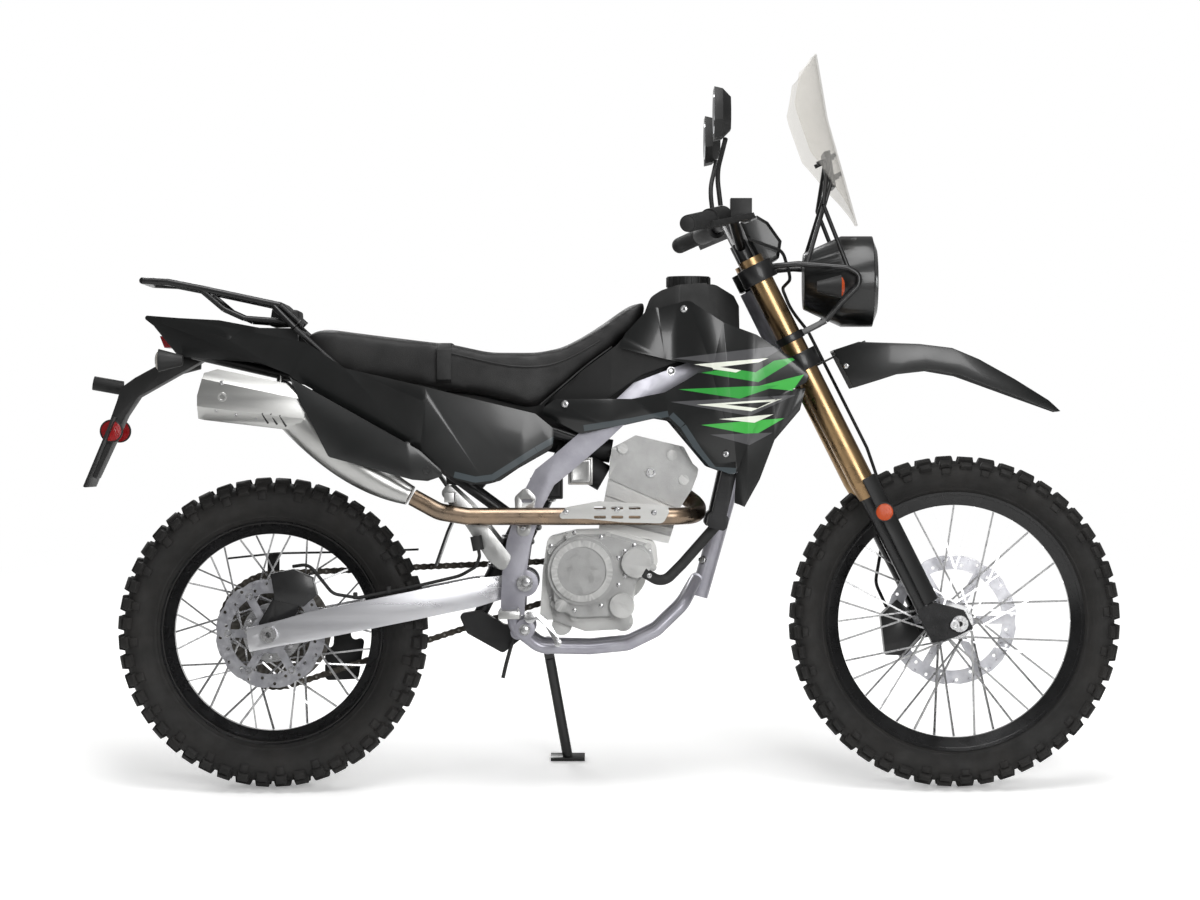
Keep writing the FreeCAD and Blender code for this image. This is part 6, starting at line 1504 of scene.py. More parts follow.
@dataclass(frozen=True)
class Bolt:
    """A bolt head that the photograph shows, and its twin on the other side.

    Attributes:
        across: Picture place from the left.
        down: Picture place from the top.
        node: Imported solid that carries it.
        radius: Radius of the head.
        head: Kind of head.
        twin: Whether the left side has it too.
        finish: What it is made of.
    """

    across: float
    down: float
    node: str
    radius: float
    head: Head = Head.HEX
    twin: bool = False
    finish: Finish = BRIGHT_STEEL

    def places(self) -> list[Matrix]:
        """Find where the head stands on each side."""
        point, normal = SIGHT.seen(self.across, self.down, self.node)
        places = [standing(point, normal)]
        if self.twin:
            places.append(standing(*SIGHT.opposite(point, self.node)))
        return places

    def build(self, name: str, slot: str = "steel") -> None:
        """Model the head and set it on what carries it."""
        piece = copies(bolt_head(self.head, self.radius), self.places())
        finished(piece, name, self.finish, body_of(self.node))


BOLTS = {
    "panel_front_bolt": Bolt(565, 404, "shrouds", 8, Head.BUTTON, True),
    "panel_rear_bolt": Bolt(427, 471, "side_panels", 9, Head.RING, True, BAR_RUBBER),
    "shroud_top_bolt": Bolt(684, 309, "shrouds", 8, Head.BUTTON, True),
    "shroud_low_bolt": Bolt(726, 454, "shrouds", 7, Head.BUTTON, True),
    "head_bolt": Bolt(651, 472.5, "cylinder", 10, Head.RING, False, BRIGHT_ALUMINIUM),
    "pivot_bolt": Bolt(526, 582, "rear_axle", 12, Head.HEX, True),
    "lower_frame_bolt": Bolt(524.5, 630, "main_frame", 12, Head.HEX),
    "guard_bolt_rear": Bolt(566, 512, "heat_guard", 6, Head.BUTTON),
    "guard_bolt_middle": Bolt(617, 509.5, "heat_guard", 6, Head.BUTTON),
    "guard_bolt_front": Bolt(654, 512.5, "heat_guard", 6, Head.BUTTON),
    "hanger_bolt_upper": Bolt(523, 528, "footpegs", 6, Head.BUTTON, True),
    "fender_bolt": Bolt(846, 366, "front_fender", 6, Head.BUTTON, True),
    "muffler_strap_bolt": Bolt(222, 383, "muffler", 5, Head.BUTTON),
    "frame_head_bolt": Bolt(671, 371, "main_frame", 9, Head.HEX),
    "engine_mount_bolt": Bolt(703, 560, "main_frame", 9, Head.HEX, True),
    "clutch_bolt_front": Bolt(634, 545, "engine_covers", 6, Head.HEX),
    "fork_axle_bolt": Bolt(955, 625, "front_axle", 10, Head.RING, True, BRIGHT_ALUMINIUM),
}


@dataclass
class WheelTrim:
    """Buttons and bolts of the brake disc and the spokes' nipples on one laced wheel.

    Attributes:
        body: The wheel that they ride on.
        centre: Forward and upward place of the axle.
        rim_radius: Radius at the rim's inner face.
        button_circle: Radius of the circle that the disc's buttons stand on.
        bolt_circle: Radius of the circle that the disc's bolts stand on.
        disc_y: Leftward place of the disc's outer face.
        button_finish: What the buttons are made of.
        count: Number of buttons and of bolts.
        button_radius: Radius of a button.
        bolt_radius: Radius of a bolt's head.
        spokes: Number of spokes.
        spoke_start: Angle of the first spoke, in radians.
        nipple_size: Radius and length of a nipple.
        nipple_shares: Its section, in shares of both.
        rim_out: Distance of its foot from the wheel's plane.
        flange_out: Distance of the spoke's other end from that plane.
    """

    body: Body
    centre: Pair
    rim_radius: float
    button_circle: float
    bolt_circle: float
    disc_y: float
    button_finish: Finish
    count: int = 6
    button_radius: float = 8.0
    bolt_radius: float = 5.0
    spokes: int = 36
    spoke_start: float = 0.087
    nipple_size: Pair = (3.4, 12.0)
    nipple_shares: Pairs = ((0.0, 0.0), (1.0, 0.0), (1.0, 0.3), (0.7, 0.5), (0.7, 1.0), (0.0, 1.0))
    rim_out: float = 4.0
    flange_out: float = 26.0

    def around(self, radius: float, count: int, start: float) -> list[Pair]:
        """Give forward and upward places evenly round the axle."""
        x, z = self.centre
        turns = [start + math.tau * index / count for index in range(count)]
        return [(x + radius * math.cos(turn), z + radius * math.sin(turn)) for turn in turns]

    def studs(self, circle: float, start: float, pattern: Piece) -> Piece:
        """Set one head on the disc's face at each place of a circle."""
        out = LEFT * math.copysign(1.0, self.disc_y)
        spots = self.around(circle, self.count, start)
        return copies(pattern, [standing(spot(x, self.disc_y, z), out) for x, z in spots])

    def nipples(self) -> Piece:
        """Set a nipple at the rim for each spoke, turned towards its flange in the middle."""
        radius, length = self.nipple_size
        pattern = spun([(out * radius, up * length) for out, up in self.nipple_shares], steps=8)
        places = []
        x, z = self.centre
        spots = self.around(self.rim_radius, self.spokes, self.spoke_start)
        for index, (at_x, at_z) in enumerate(spots):
            side = 1 if index % 2 else -1
            along = Vector((x - at_x, side * self.flange_out, z - at_z)).normalized()
            places.append(standing(spot(at_x, side * self.rim_out, at_z), along))
        return copies(pattern, places)

    def build(self) -> None:
        """Dress the wheel's small pieces."""
        name = self.body.value
        buttons = self.studs(self.button_circle, 0.0, bolt_head(Head.RING, self.button_radius))
        finished(buttons, f"{name}_disc_buttons", self.button_finish, self.body)
        bolts = self.studs(self.bolt_circle, math.pi / 6, bolt_head(Head.HEX, self.bolt_radius))
        finished(bolts, f"{name}_disc_bolts", BRIGHT_STEEL, self.body)
        finished(self.nipples(), f"{name}_nipples", BRIGHT_STEEL, self.body)


@dataclass
class Chain:
    """A roller chain round both sprockets, with links of two plates, a pin and a roller.

    Attributes:
        rear: Forward and upward place of the rear sprocket.
        rear_radius: Its pitch radius.
        front: Forward and upward place of the front sprocket.
        front_radius: Its pitch radius.
        y: Leftward place of the chain's middle.
        pitch: Distance between pins.
        arc_steps: Steps of the path round each sprocket.
        end_steps: Steps of a plate's round end.
        plate_radius: Radius of a plate's ends.
        waist: Half the height of a plate's middle.
        plate: Thickness of a plate.
        inner_half: Distance of the inner plates from the chain's middle.
        outer_half: Distance of the outer plates from it.
        pin: Radius of a pin and how much longer it is than its plates are apart.
        roller: Radius and width of a roller.
    """

    rear: Pair = (0.0, 327.0)
    rear_radius: float = 121.4
    front: Pair = (618.0, 440.0)
    front_radius: float = 35.7
    y: float = 76.0
    pitch: float = 15.875
    arc_steps: int = 60
    end_steps: int = 5
    plate_radius: float = 6.8
    waist: float = 5.2
    plate: float = 1.9
    inner_half: float = 5.4
    outer_half: float = 7.6
    pin: Pair = (2.6, 3.4)
    roller: Pair = (5.0, 8.0)

    def line(self) -> list[Vector]:
        """Walk round both sprockets in small steps and give the path."""
        start, end = (Vector((x, 0.0, z)) for x, z in (self.rear, self.front))
        way = end - start
        base = math.atan2(way.z, way.x)
        half = math.acos((self.rear_radius - self.front_radius) / way.length)
        path = []
        for centre, radius, first, last in (
            (start, self.rear_radius, base + half, base + math.tau - half),
            (end, self.front_radius, base - half, base + half),
        ):
            for step in range(self.arc_steps + 1):
                turn = first + (last - first) * step / self.arc_steps
                path.append(centre + radius * Vector((math.cos(turn), 0.0, math.sin(turn))))
        return path + path[:1]

    def pins(self) -> list[Vector]:
        """Space the pins evenly along the path."""
        path = self.line()
        whole = sum((b - a).length for a, b in zip(path, path[1:]))
        count = 2 * round(whole / self.pitch / 2)
        step, walked, marks = whole / count, 0.0, []
        for a, b in zip(path, path[1:]):
            length = (b - a).length
            while len(marks) < count and len(marks) * step <= walked + length + 1e-6:
                share = (len(marks) * step - walked) / length if length else 0.0
                marks.append(a.lerp(b, share))
            walked += length
        return marks

    def link(self, half_width: float) -> Piece:
        """Model the plates, the pin and the roller of one link, lying forward from the origin."""
        turns = [math.pi / 2 + math.pi * index / self.end_steps for index in range(self.end_steps + 1)]
        end = self.plate_radius
        back = [(end * math.cos(turn), end * math.sin(turn)) for turn in turns]
        ahead = [(self.pitch - x, -z) for x, z in back]
        outline = back + [(self.pitch / 2, -self.waist)] + ahead + [(self.pitch / 2, self.waist)]
        plates = [
            side_plate(outline, side * half_width - self.plate / 2, self.plate) for side in (-1, 1)
        ]
        pin = cross_bar(self.pin[0], 2 * half_width + self.pin[1], 8)
        return joined([*plates, pin, cross_bar(*self.roller, 10)])

    def build(self) -> None:
        """Lay inner and outer links by turns round the path."""
        pins = self.pins()
        for name, odd, half_width in (("inner", 0, self.inner_half), ("outer", 1, self.outer_half)):
            places = []
            for index in range(odd, len(pins), 2):
                here, there = pins[index], pins[(index + 1) % len(pins)]
                turn = math.atan2(there.z - here.z, there.x - here.x)
                at = spot(here.x, self.y, here.z)
                places.append(Matrix.Translation(at) @ Matrix.Rotation(-turn, 4, "Y"))
            piece = copies(self.link(half_width), places)
            finished(piece, f"chain_{name}_links", CHAIN_STEEL)
        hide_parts("chain")


@dataclass
class Seat:
    """A foam seat in a stretched vinyl cover, with its seams and its strap.

    Attributes:
        voxel: Size of the cover's mesh before it is stretched.
        tuck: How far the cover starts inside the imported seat.
        pressure: Pressure of the foam under the cover, in the simulation's own units.
        frames: Frames that the cover takes to settle.
        quality: Steps of the simulation in a frame.
        reach: Farthest that a point may move.
        smoothing: Rounds of smoothing after that.
        seams: Picture places along each seam of the right side.
        piping: Radius of a seam's piping.
        piping_lift: How far its middle stands out of the cover.
        strap_at: Middle that the strap goes round.
        strap_far: Distance from which the strap is laid on the cover.
        strap_angle: Angle that it reaches down to on each side, in degrees.
        strap_steps: Steps from one end to the other.
        strap_half: Half its width.
        strap_lift: How far its middle stands out of the cover.
        strap_thickness: Its thickness.
    """

    voxel: float = 8.0
    tuck: float = 2.0
    pressure: float = 4.0
    frames: int = 20
    quality: int = 5
    reach: float = 5.0
    smoothing: int = 14
    seams: tuple[Pairs, ...] = (
        ((442, 351), (494, 364), (525, 367.5), (550, 365.6), (575, 356.3), (600, 340.6)),
        ((612, 347), (590, 362), (560, 388), (540, 405)),
    )
    piping: float = 2.0
    piping_lift: float = 1.5
    strap_at: Triple = (366.0, 0.0, 850.0)
    strap_far: float = 400.0
    strap_angle: float = 98.0
    strap_steps: int = 16
    strap_half: float = 15.0
    strap_lift: float = 2.5
    strap_thickness: float = 3.0

    def cushion(self) -> Piece:
        """Blow up a copy of the plain seat as stretched cloth over foam."""
        piece = applied(copied("seat"), "REMESH", mode="VOXEL", voxel_size=self.voxel * MM)
        edit_all(piece)
        bpy.ops.transform.shrink_fatten(value=-self.tuck * MM)
        bpy.ops.object.mode_set(mode="OBJECT")
        self.stretch(piece)
        return applied(piece, "SUBSURF", levels=1, render_levels=1)

    def stretch(self, piece: Piece) -> None:
        """Let cloth under pressure settle, and hold each point near where it started."""
        start = [vertex.co.copy() for vertex in piece.data.vertices]
        cloth = piece.modifiers.new("cloth", "CLOTH")
        cloth.settings.use_pressure = True
        cloth.settings.uniform_pressure_force = self.pressure
        cloth.settings.effector_weights.gravity = 0.0
        cloth.settings.quality = self.quality
        scene = bpy.context.scene
        for frame in range(1, self.frames + 1):
            scene.frame_set(frame)
        alone(piece)
        bpy.ops.object.modifier_apply(modifier=cloth.name)
        scene.frame_set(1)
        for vertex, before in zip(piece.data.vertices, start):
            way = vertex.co - before
            if way.length > self.reach * MM:
                vertex.co = before + way.normalized() * self.reach * MM
        edit_all(piece)
        bpy.ops.mesh.vertices_smooth(factor=0.5, repeat=self.smoothing)
        bpy.ops.object.mode_set(mode="OBJECT")

    def seam(self, pixels: Pairs, side: int) -> Piece:
        """Lay a line of piping on one side of the cover."""
        points = []
        for across, down in pixels:
            point, normal = SIGHT.seen(across, down, "seat")
            if side > 0:
                point, normal = SIGHT.opposite(point, "seat")
            points.append(point + normal * self.piping_lift * MM)
        return tube(points, self.piping)

    def strap(self) -> Piece:
        """Lay the passenger's strap over the cover, from side to side."""
        points, lifts = [], []
        for step in range(self.strap_steps + 1):
            turn = math.radians(self.strap_angle * (2 * step / self.strap_steps - 1))
            way = Vector((0.0, math.sin(turn), math.cos(turn)))
            start = spot(*self.strap_at) + way * self.strap_far * MM
            points.append(SIGHT.along(start, -way, "seat")[0])
            lifts.append(way * self.strap_lift * MM)
        bpy.ops.mesh.primitive_grid_add(x_subdivisions=self.strap_steps, y_subdivisions=1, size=1.0)
        band = bpy.context.object
        for index, vertex in enumerate(band.data.vertices):
            row, column = divmod(index, self.strap_steps + 1)
            fore = FORWARD * (2 * row - 1) * self.strap_half * MM
            vertex.co = points[column] + lifts[column] + fore
        applied(band, "SOLIDIFY", thickness=self.strap_thickness * MM, offset=0.0)
        return softened(outward(band), 0.8)

    def build(self) -> None:
        """Make the cushion, then its seams and strap."""
        cushion = dressed(self.cushion(), "seat_cushion", SEAT_VINYL, smooth=60.0)
        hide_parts("seat")
        seams = joined([self.seam(seam, side) for seam in self.seams for side in (1, -1)])
        finished(seams, "seat_seams", BAR_RUBBER, smooth=60.0)
        finished(self.strap(), "seat_strap", BAR_RUBBER, smooth=50.0)


@dataclass(frozen=True)
class Signal:
    """A pair of turn signals' lenses.

    Attributes:
        name: Name of the piece.
        x: Forward place of the lenses' feet.
        z: Their height.
        along: Direction that they face.
        body: The body that they ride on.
        finish: What they are made of.
    """

    name: str
    x: float
    z: float
    along: Vector
    body: Body
    finish: Finish


@dataclass(frozen=True)
class Reflector:
    """A pair of round side reflectors.

    Attributes:
        name: Start of the pieces' names.
        across: Picture place from the left.
        down: Picture place from the top.
        radius: Radius in millimetres.
        node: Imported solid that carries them.
        finish: What the lenses are made of.
    """

    name: str
    across: float
    down: float
    radius: float
    node: str
    finish: Finish


@dataclass
class Lamps:
    """Lenses, the headlight's bowl, the tail lamp's parts and the reflectors.

    Attributes:
        bowl_at: Place of the headlight's bowl.
        bowl: Its section.
        shade: Section of the bulb's shade.
        dome: Section of a signal's lens.
        signal_y: Distance of each signal from the middle.
        signals: The pairs of signals.
        tail_split: Height over which the tail lamp is its red lens.
        lens_section: Section of a reflector's lens, radius as a share and height in millimetres.
        rim_section: Section of its black rim, likewise.
        reflectors: The pairs of reflectors.
    """

    bowl_at: Triple = (1259.0, 0.0, 1068.5)
    bowl: Pairs = (
        (0.0, -20.0), (20.0, -19.0), (48.0, -10.0), (74.0, 3.0), (76.0, 3.0), (76.0, -1.0),
        (50.0, -14.0), (20.0, -23.0), (0.0, -24.0),
    )
    shade: Pairs = ((0.0, 8.0), (12.0, 6.0), (15.0, 0.0), (15.0, -18.0), (0.0, -18.0))
    dome: Pairs = ((0.0, 9.0), (10.0, 8.2), (17.0, 5.6), (21.5, 1.2), (21.5, -2.0), (0.0, -2.0))
    signal_y: float = 178.0
    signals: tuple[Signal, ...] = (
        Signal("front_signal_lenses", 1189.0, 1050.0, FORWARD, Body.STEERING, AMBER_LENS),
        Signal("rear_signal_lenses", -221.0, 897.0, -FORWARD, Body.CHASSIS, SIGNAL_LENS),
    )
    tail_split: float = 924.0
    lens_section: Pairs = ((0.0, 6.5), (0.8, 6.2), (0.94, 5.0), (0.94, -2.0), (0.0, -2.0))
    rim_section: Pairs = ((0.94, -2.0), (1.06, -2.0), (1.06, 5.0), (0.94, 6.0))
    reflectors: tuple[Reflector, ...] = (
        Reflector("side_reflector_red", 111.5, 431.0, 23.0, "plate_holder", RED_LENS),
        Reflector("side_reflector_amber", 884.5, 512.0, 19.0, "fork_guards", AMBER_LENS),
    )

    def signal_lenses(self) -> None:
        """Close each signal with a domed lens, ahead in front and behind at the back."""
        for signal in self.signals:
            spots = [spot(signal.x, side * self.signal_y, signal.z) for side in (-1, 1)]
            piece = copies(spun(self.dome, steps=28), [standing(at, signal.along) for at in spots])
            finished(piece, signal.name, signal.finish, signal.body, smooth=60.0)

    def tail_lamp(self) -> None:
        """Part the tail lamp's red lens from the black pods of the signals."""
        pods = copied("rear_lights")
        upright = LEAN.matrix().inverted()
        choose(pods, lambda middle, normal: (upright @ middle).z > self.tail_split * MM)
        bpy.ops.mesh.separate(type="SELECTED")
        bpy.ops.object.mode_set(mode="OBJECT")
        lens = next(each for each in bpy.context.selected_objects if each is not pods)
        dressed(softened(lens, 2.5), "tail_lamp_lens", RED_LENS, smooth=40.0)
        dressed(softened(pods, 1.5), "rear_signal_pods", GRAINED_BLACK, smooth=45.0)
        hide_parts("rear_lights")

    def headlight(self) -> None:
        """Set a mirror bowl and a bulb shade behind the headlight's glass."""
        place = standing(spot(*self.bowl_at), FORWARD)
        for name, section, steps, finish in (
            ("headlight_bowl", self.bowl, 48, MIRROR_SILVER),
            ("headlight_bulb_shade", self.shade, 24, BRIGHT_STEEL),
        ):
            piece = moved(spun(section, steps), place)
            finished(piece, name, finish, Body.STEERING, smooth=60.0)

    def reflector(self, pair: Reflector, hand: str, side: int) -> None:
        """Stand one round reflector on what carries it, in a black rim."""
        point, _ = SIGHT.seen(pair.across, pair.down, pair.node)
        if side > 0:
            point, _ = SIGHT.opposite(point, pair.node)
        place = standing(point, LEFT * side)
        for name, section, finish, slot in (
            (f"{pair.name}_{hand}", self.lens_section, pair.finish, "red"),
            (f"{pair.name}_rim_{hand}", self.rim_section, BAR_RUBBER, "matte"),
        ):
            piece = spun([(share * pair.radius, height) for share, height in section], steps=36)
            finished(moved(piece, place), name, finish, body_of(pair.node), smooth=60.0)

    def build(self) -> None:
        """Make all the lamps' pieces."""
        self.tail_lamp()
        self.signal_lenses()
        self.headlight()
        for pair in self.reflectors:
            for hand, side in HANDS:
                self.reflector(pair, hand, side)


@dataclass
class Cockpit:
    """Mirror glasses, ribbed grips with their plugs, and the tank cap's ribs.

    Attributes:
        mirror_at: Place behind the left mirror's middle.
        glass: Section of a mirror's glass, radius as a share and height in millimetres.
        glass_half: Half its width and height.
        rib: Section of a grip's rib, out of the grip's radius.
        ribs: Steps between the ribs of a grip.
        ribbed_share: Share of the grip's length that they cover.
        plug: Section of the plug at its end, radius as a share and height in millimetres.
        cap_at: Place of the tank cap's middle.
        cap_radius: Radius that its ribs stand at.
        cap_rib: Size of a rib.
        cap_ribs: Number of its ribs.
    """

    mirror_at: Triple = (600.0, 337.0, 1393.0)
    glass: Pairs = ((0.0, 1.2), (0.96, 1.2), (1.0, -1.0), (0.0, -1.0))
    glass_half: Pair = (60.0, 41.0)
    rib: Pairs = ((-2.0, -1.6), (0.7, -1.0), (0.7, 1.0), (-2.0, 1.6))
    ribs: int = 22
    ribbed_share: float = 0.9
    plug: Pairs = ((0.0, 4.0), (0.53, 3.4), (0.86, 1.0), (0.95, -4.0), (0.0, -4.0))
    cap_at: Triple = (878.0, 0.0, 1066.5)
    cap_radius: float = 45.0
    cap_rib: Triple = (4.0, 5.0, 21.0)
    cap_ribs: int = 18

    def mirror_glasses(self) -> None:
        """Lay an oval glass on the rearward face of each mirror."""
        x, y, z = self.mirror_at
        oval = Matrix.Diagonal((*self.glass_half, 1.0, 1.0))
        for hand, side in HANDS:
            point, normal = SIGHT.along(spot(x, side * y, z), FORWARD, "mirrors")
            glass = moved(spun(self.glass, steps=48), standing(point, normal) @ oval)
            finished(glass, f"mirror_glass_{hand}", MIRROR_SILVER, Body.STEERING, smooth=30.0)

    def grip(self, mount: dict) -> Piece:
        """Model one grip's ribs and plug on the bar's line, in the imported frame.

        Args:
            mount: The record's mount of the grip.

        Returns:
            The ribs and the plug.
        """
        at, along = Vector(mount["pos_m"]), Vector(mount["axis"]).normalized()
        radius, length = mount["dims"]["r_mm"], mount["dims"]["length_mm"]
        stretch = along * length * self.ribbed_share * MM
        steps = range(self.ribs + 1)
        places = [standing(at + stretch * (step / self.ribs - 0.5), along) for step in steps]
        ribs = copies(spun([(radius + out, height) for out, height in self.rib], steps=28), places)
        plug = spun([(share * radius, height) for share, height in self.plug], steps=28)
        return joined([ribs, moved(plug, standing(at + along * length / 2 * MM, along))])

    def grips(self) -> None:
        """Rib both grips."""
        for mount in FRAME["record"]["mounts"]:
            if mount["name"].endswith("_grip"):
                name = f"{mount['name']}_ribs"
                dressed(self.grip(mount), name, BAR_RUBBER, Body.STEERING, smooth=40.0)

    def cap(self) -> None:
        """Lay ribs round the tank cap's rim."""
        rib = softened(block(self.cap_rib, (self.cap_radius, 0.0, 0.0)), 1.0)
        middle = Matrix.Translation(spot(*self.cap_at))
        turns = [math.tau * index / self.cap_ribs for index in range(self.cap_ribs)]
        piece = copies(rib, [middle @ Matrix.Rotation(turn, 4, "Z") for turn in turns])
        finished(piece, "fuel_cap_ribs", GRAINED_BLACK)

    def build(self) -> None:
        """Make the cockpit's pieces."""
        self.mirror_glasses()
        self.grips()
        self.cap()


@dataclass(frozen=True)
class BoltRing:
    """Bolts on a circle round one of the engine's covers.

    Attributes:
        across: Picture place of the circle's middle from the left.
        down: Its picture place from the top.
        radius: The circle's radius, in picture units.
        count: Number of places round it.
    """

    across: float
    down: float
    radius: float
    count: int

    def places(self, nearest: float, farthest: float) -> list[Matrix]:
        """Find the bolts' places, without those that miss the cover's own face.

        Args:
            nearest: Leftward place where the face may begin.
            farthest: Leftward place where it ends.

        Returns:
            Matrix of each bolt.
        """
        places = []
        for index in range(self.count):
            turn = math.tau * (index + 0.5) / self.count
            across = self.across + self.radius * math.cos(turn)
            point, normal = SIGHT.seen(across, self.down + self.radius * math.sin(turn))
            if normal.y < -0.6 and nearest < point.y / MM < farthest:
                places.append(standing(point, normal))
        return places


@dataclass
class EngineTrim:
    """Bolts round the engine's covers and the drain hose behind it.

    Attributes:
        rings: The circles of bolts, round the clutch's and the pump's cover.
        bolt_radius: Radius of a bolt's head.
        face: Leftward places between which the covers' faces lie.
        drain: Picture places along the drain hose.
        drain_y: Leftward place of its plane.
        drain_radius: Its radius.
    """

    rings: tuple[BoltRing, ...] = (BoltRing(581.3, 571.3, 39.5, 9), BoltRing(637.0, 563.3, 17.5, 4))
    bolt_radius: float = 5.2
    face: Pair = (-145.0, -70.0)
    drain: Pairs = ((516, 628), (510, 650), (505, 668), (503, 678))
    drain_y: float = -40.0
    drain_radius: float = 4.2

    def build(self) -> None:
        """Make the engine's small pieces."""
        places = [place for ring in self.rings for place in ring.places(*self.face)]
        bolts = copies(bolt_head(Head.HEX, self.bolt_radius), places)
        finished(bolts, "cover_bolts", BRIGHT_STEEL)
        points = [SIGHT.on_plane(across, down, self.drain_y) for across, down in self.drain]
        hose = tube(points, self.drain_radius)
        finished(hose, "drain_hose", COOLANT_RUBBER, smooth=60.0)


@dataclass
class InnerParts:
    """Black sheets of painted shade between seat, frame and engine, the inner parts there, and the
    small case behind the seat.

    Attributes:
        cover: Outline of the black sheets that paint the shade between seat, frame and engine.
        shade_sheet_y: Distance of each sheet's middle from the middle plane.
        shade_sheet_depth: Its thickness.
        boot: Points along the intake boot.
        boot_radius: Its radius.
        throttle_size: Size of the throttle body.
        throttle_at: Its middle.
        relay_size: Size of the relay case.
        relay_at: Its middle.
        lid_rim: Width of the step round a case's lid.
        lid_height: Height of the lid.
        lid_edge: Width of the lid's own rim.
        lid_dish: Depth of its dish.
        tail: Outline of the case behind the seat.
        tail_half: Half its width.
    """

    # outline of the black sheets, one on each side, that paint the shade between seat, frame and engine
    cover: Pairs = (
        (356, 869), (440, 863), (607, 827), (660, 862), (800, 935), (880, 932), (860, 870),
        (720, 800), (691, 754), (607, 733), (377, 764),
    )
    shade_sheet_y: float = 72.0
    shade_sheet_depth: float = 3.0
    boot: tuple[Triple, ...] = (
        (600.0, -8.0, 712.0), (640.0, -10.0, 690.0), (672.0, -10.0, 668.0), (700.0, -10.0, 652.0),
    )
    boot_radius: float = 29.0
    throttle_size: Triple = (52.0, 60.0, 58.0)
    throttle_at: Triple = (650.0, -34.0, 668.0)
    relay_size: Triple = (46.0, 26.0, 62.0)
    relay_at: Triple = (590.0, -52.0, 640.0)
    lid_rim: float = 5.0
    lid_height: float = 5.0
    lid_edge: float = 7.0
    lid_dish: float = 2.0
    tail: Pairs = ((-4, 972), (2, 1011), (58, 1006), (60, 974))
    tail_half: float = 58.0

    def case(self, size: Triple, at: Triple) -> Piece:
        """Model a moulded case with a stepped lid on its right face."""
        piece = block(size, at)
        choose(piece, lambda middle, normal: normal.y < -0.9)
        bpy.ops.mesh.inset(thickness=self.lid_rim * MM)
        bpy.ops.mesh.extrude_region_move(
            TRANSFORM_OT_translate={"value": (0.0, -self.lid_height * MM, 0.0)}
        )
        bpy.ops.mesh.inset(thickness=self.lid_edge * MM, depth=-self.lid_dish * MM)
        return softened(piece, 2.5)

    def build(self) -> None:
        """Make the black sheets of painted shade, the intake boot, the throttle body and both cases."""
        # black sheets on both sides paint the shade in the space between seat, frame and engine
        for hand, side in HANDS:
            low = side * self.shade_sheet_y - self.shade_sheet_depth / 2
            cover = softened(side_plate(self.cover, low, self.shade_sheet_depth), 1.0)
            finished(cover, f"inner_cover_{hand}", GRAINED_BLACK)
        boot = tube([spot(*point) for point in self.boot], self.boot_radius, 6)
        finished(boot, "intake_boot", COOLANT_RUBBER, smooth=60.0)
        throttle = self.case(self.throttle_size, self.throttle_at)
        finished(throttle, "throttle_body", CAST_ALUMINIUM)
        tail = softened(side_plate(self.tail, -self.tail_half, 2 * self.tail_half), 5.0, 3)
        finished(tail, "tail_case", GRAINED_BLACK)
        relay = self.case(self.relay_size, self.relay_at)
        finished(relay, "relay_case", GRAINED_BLACK)


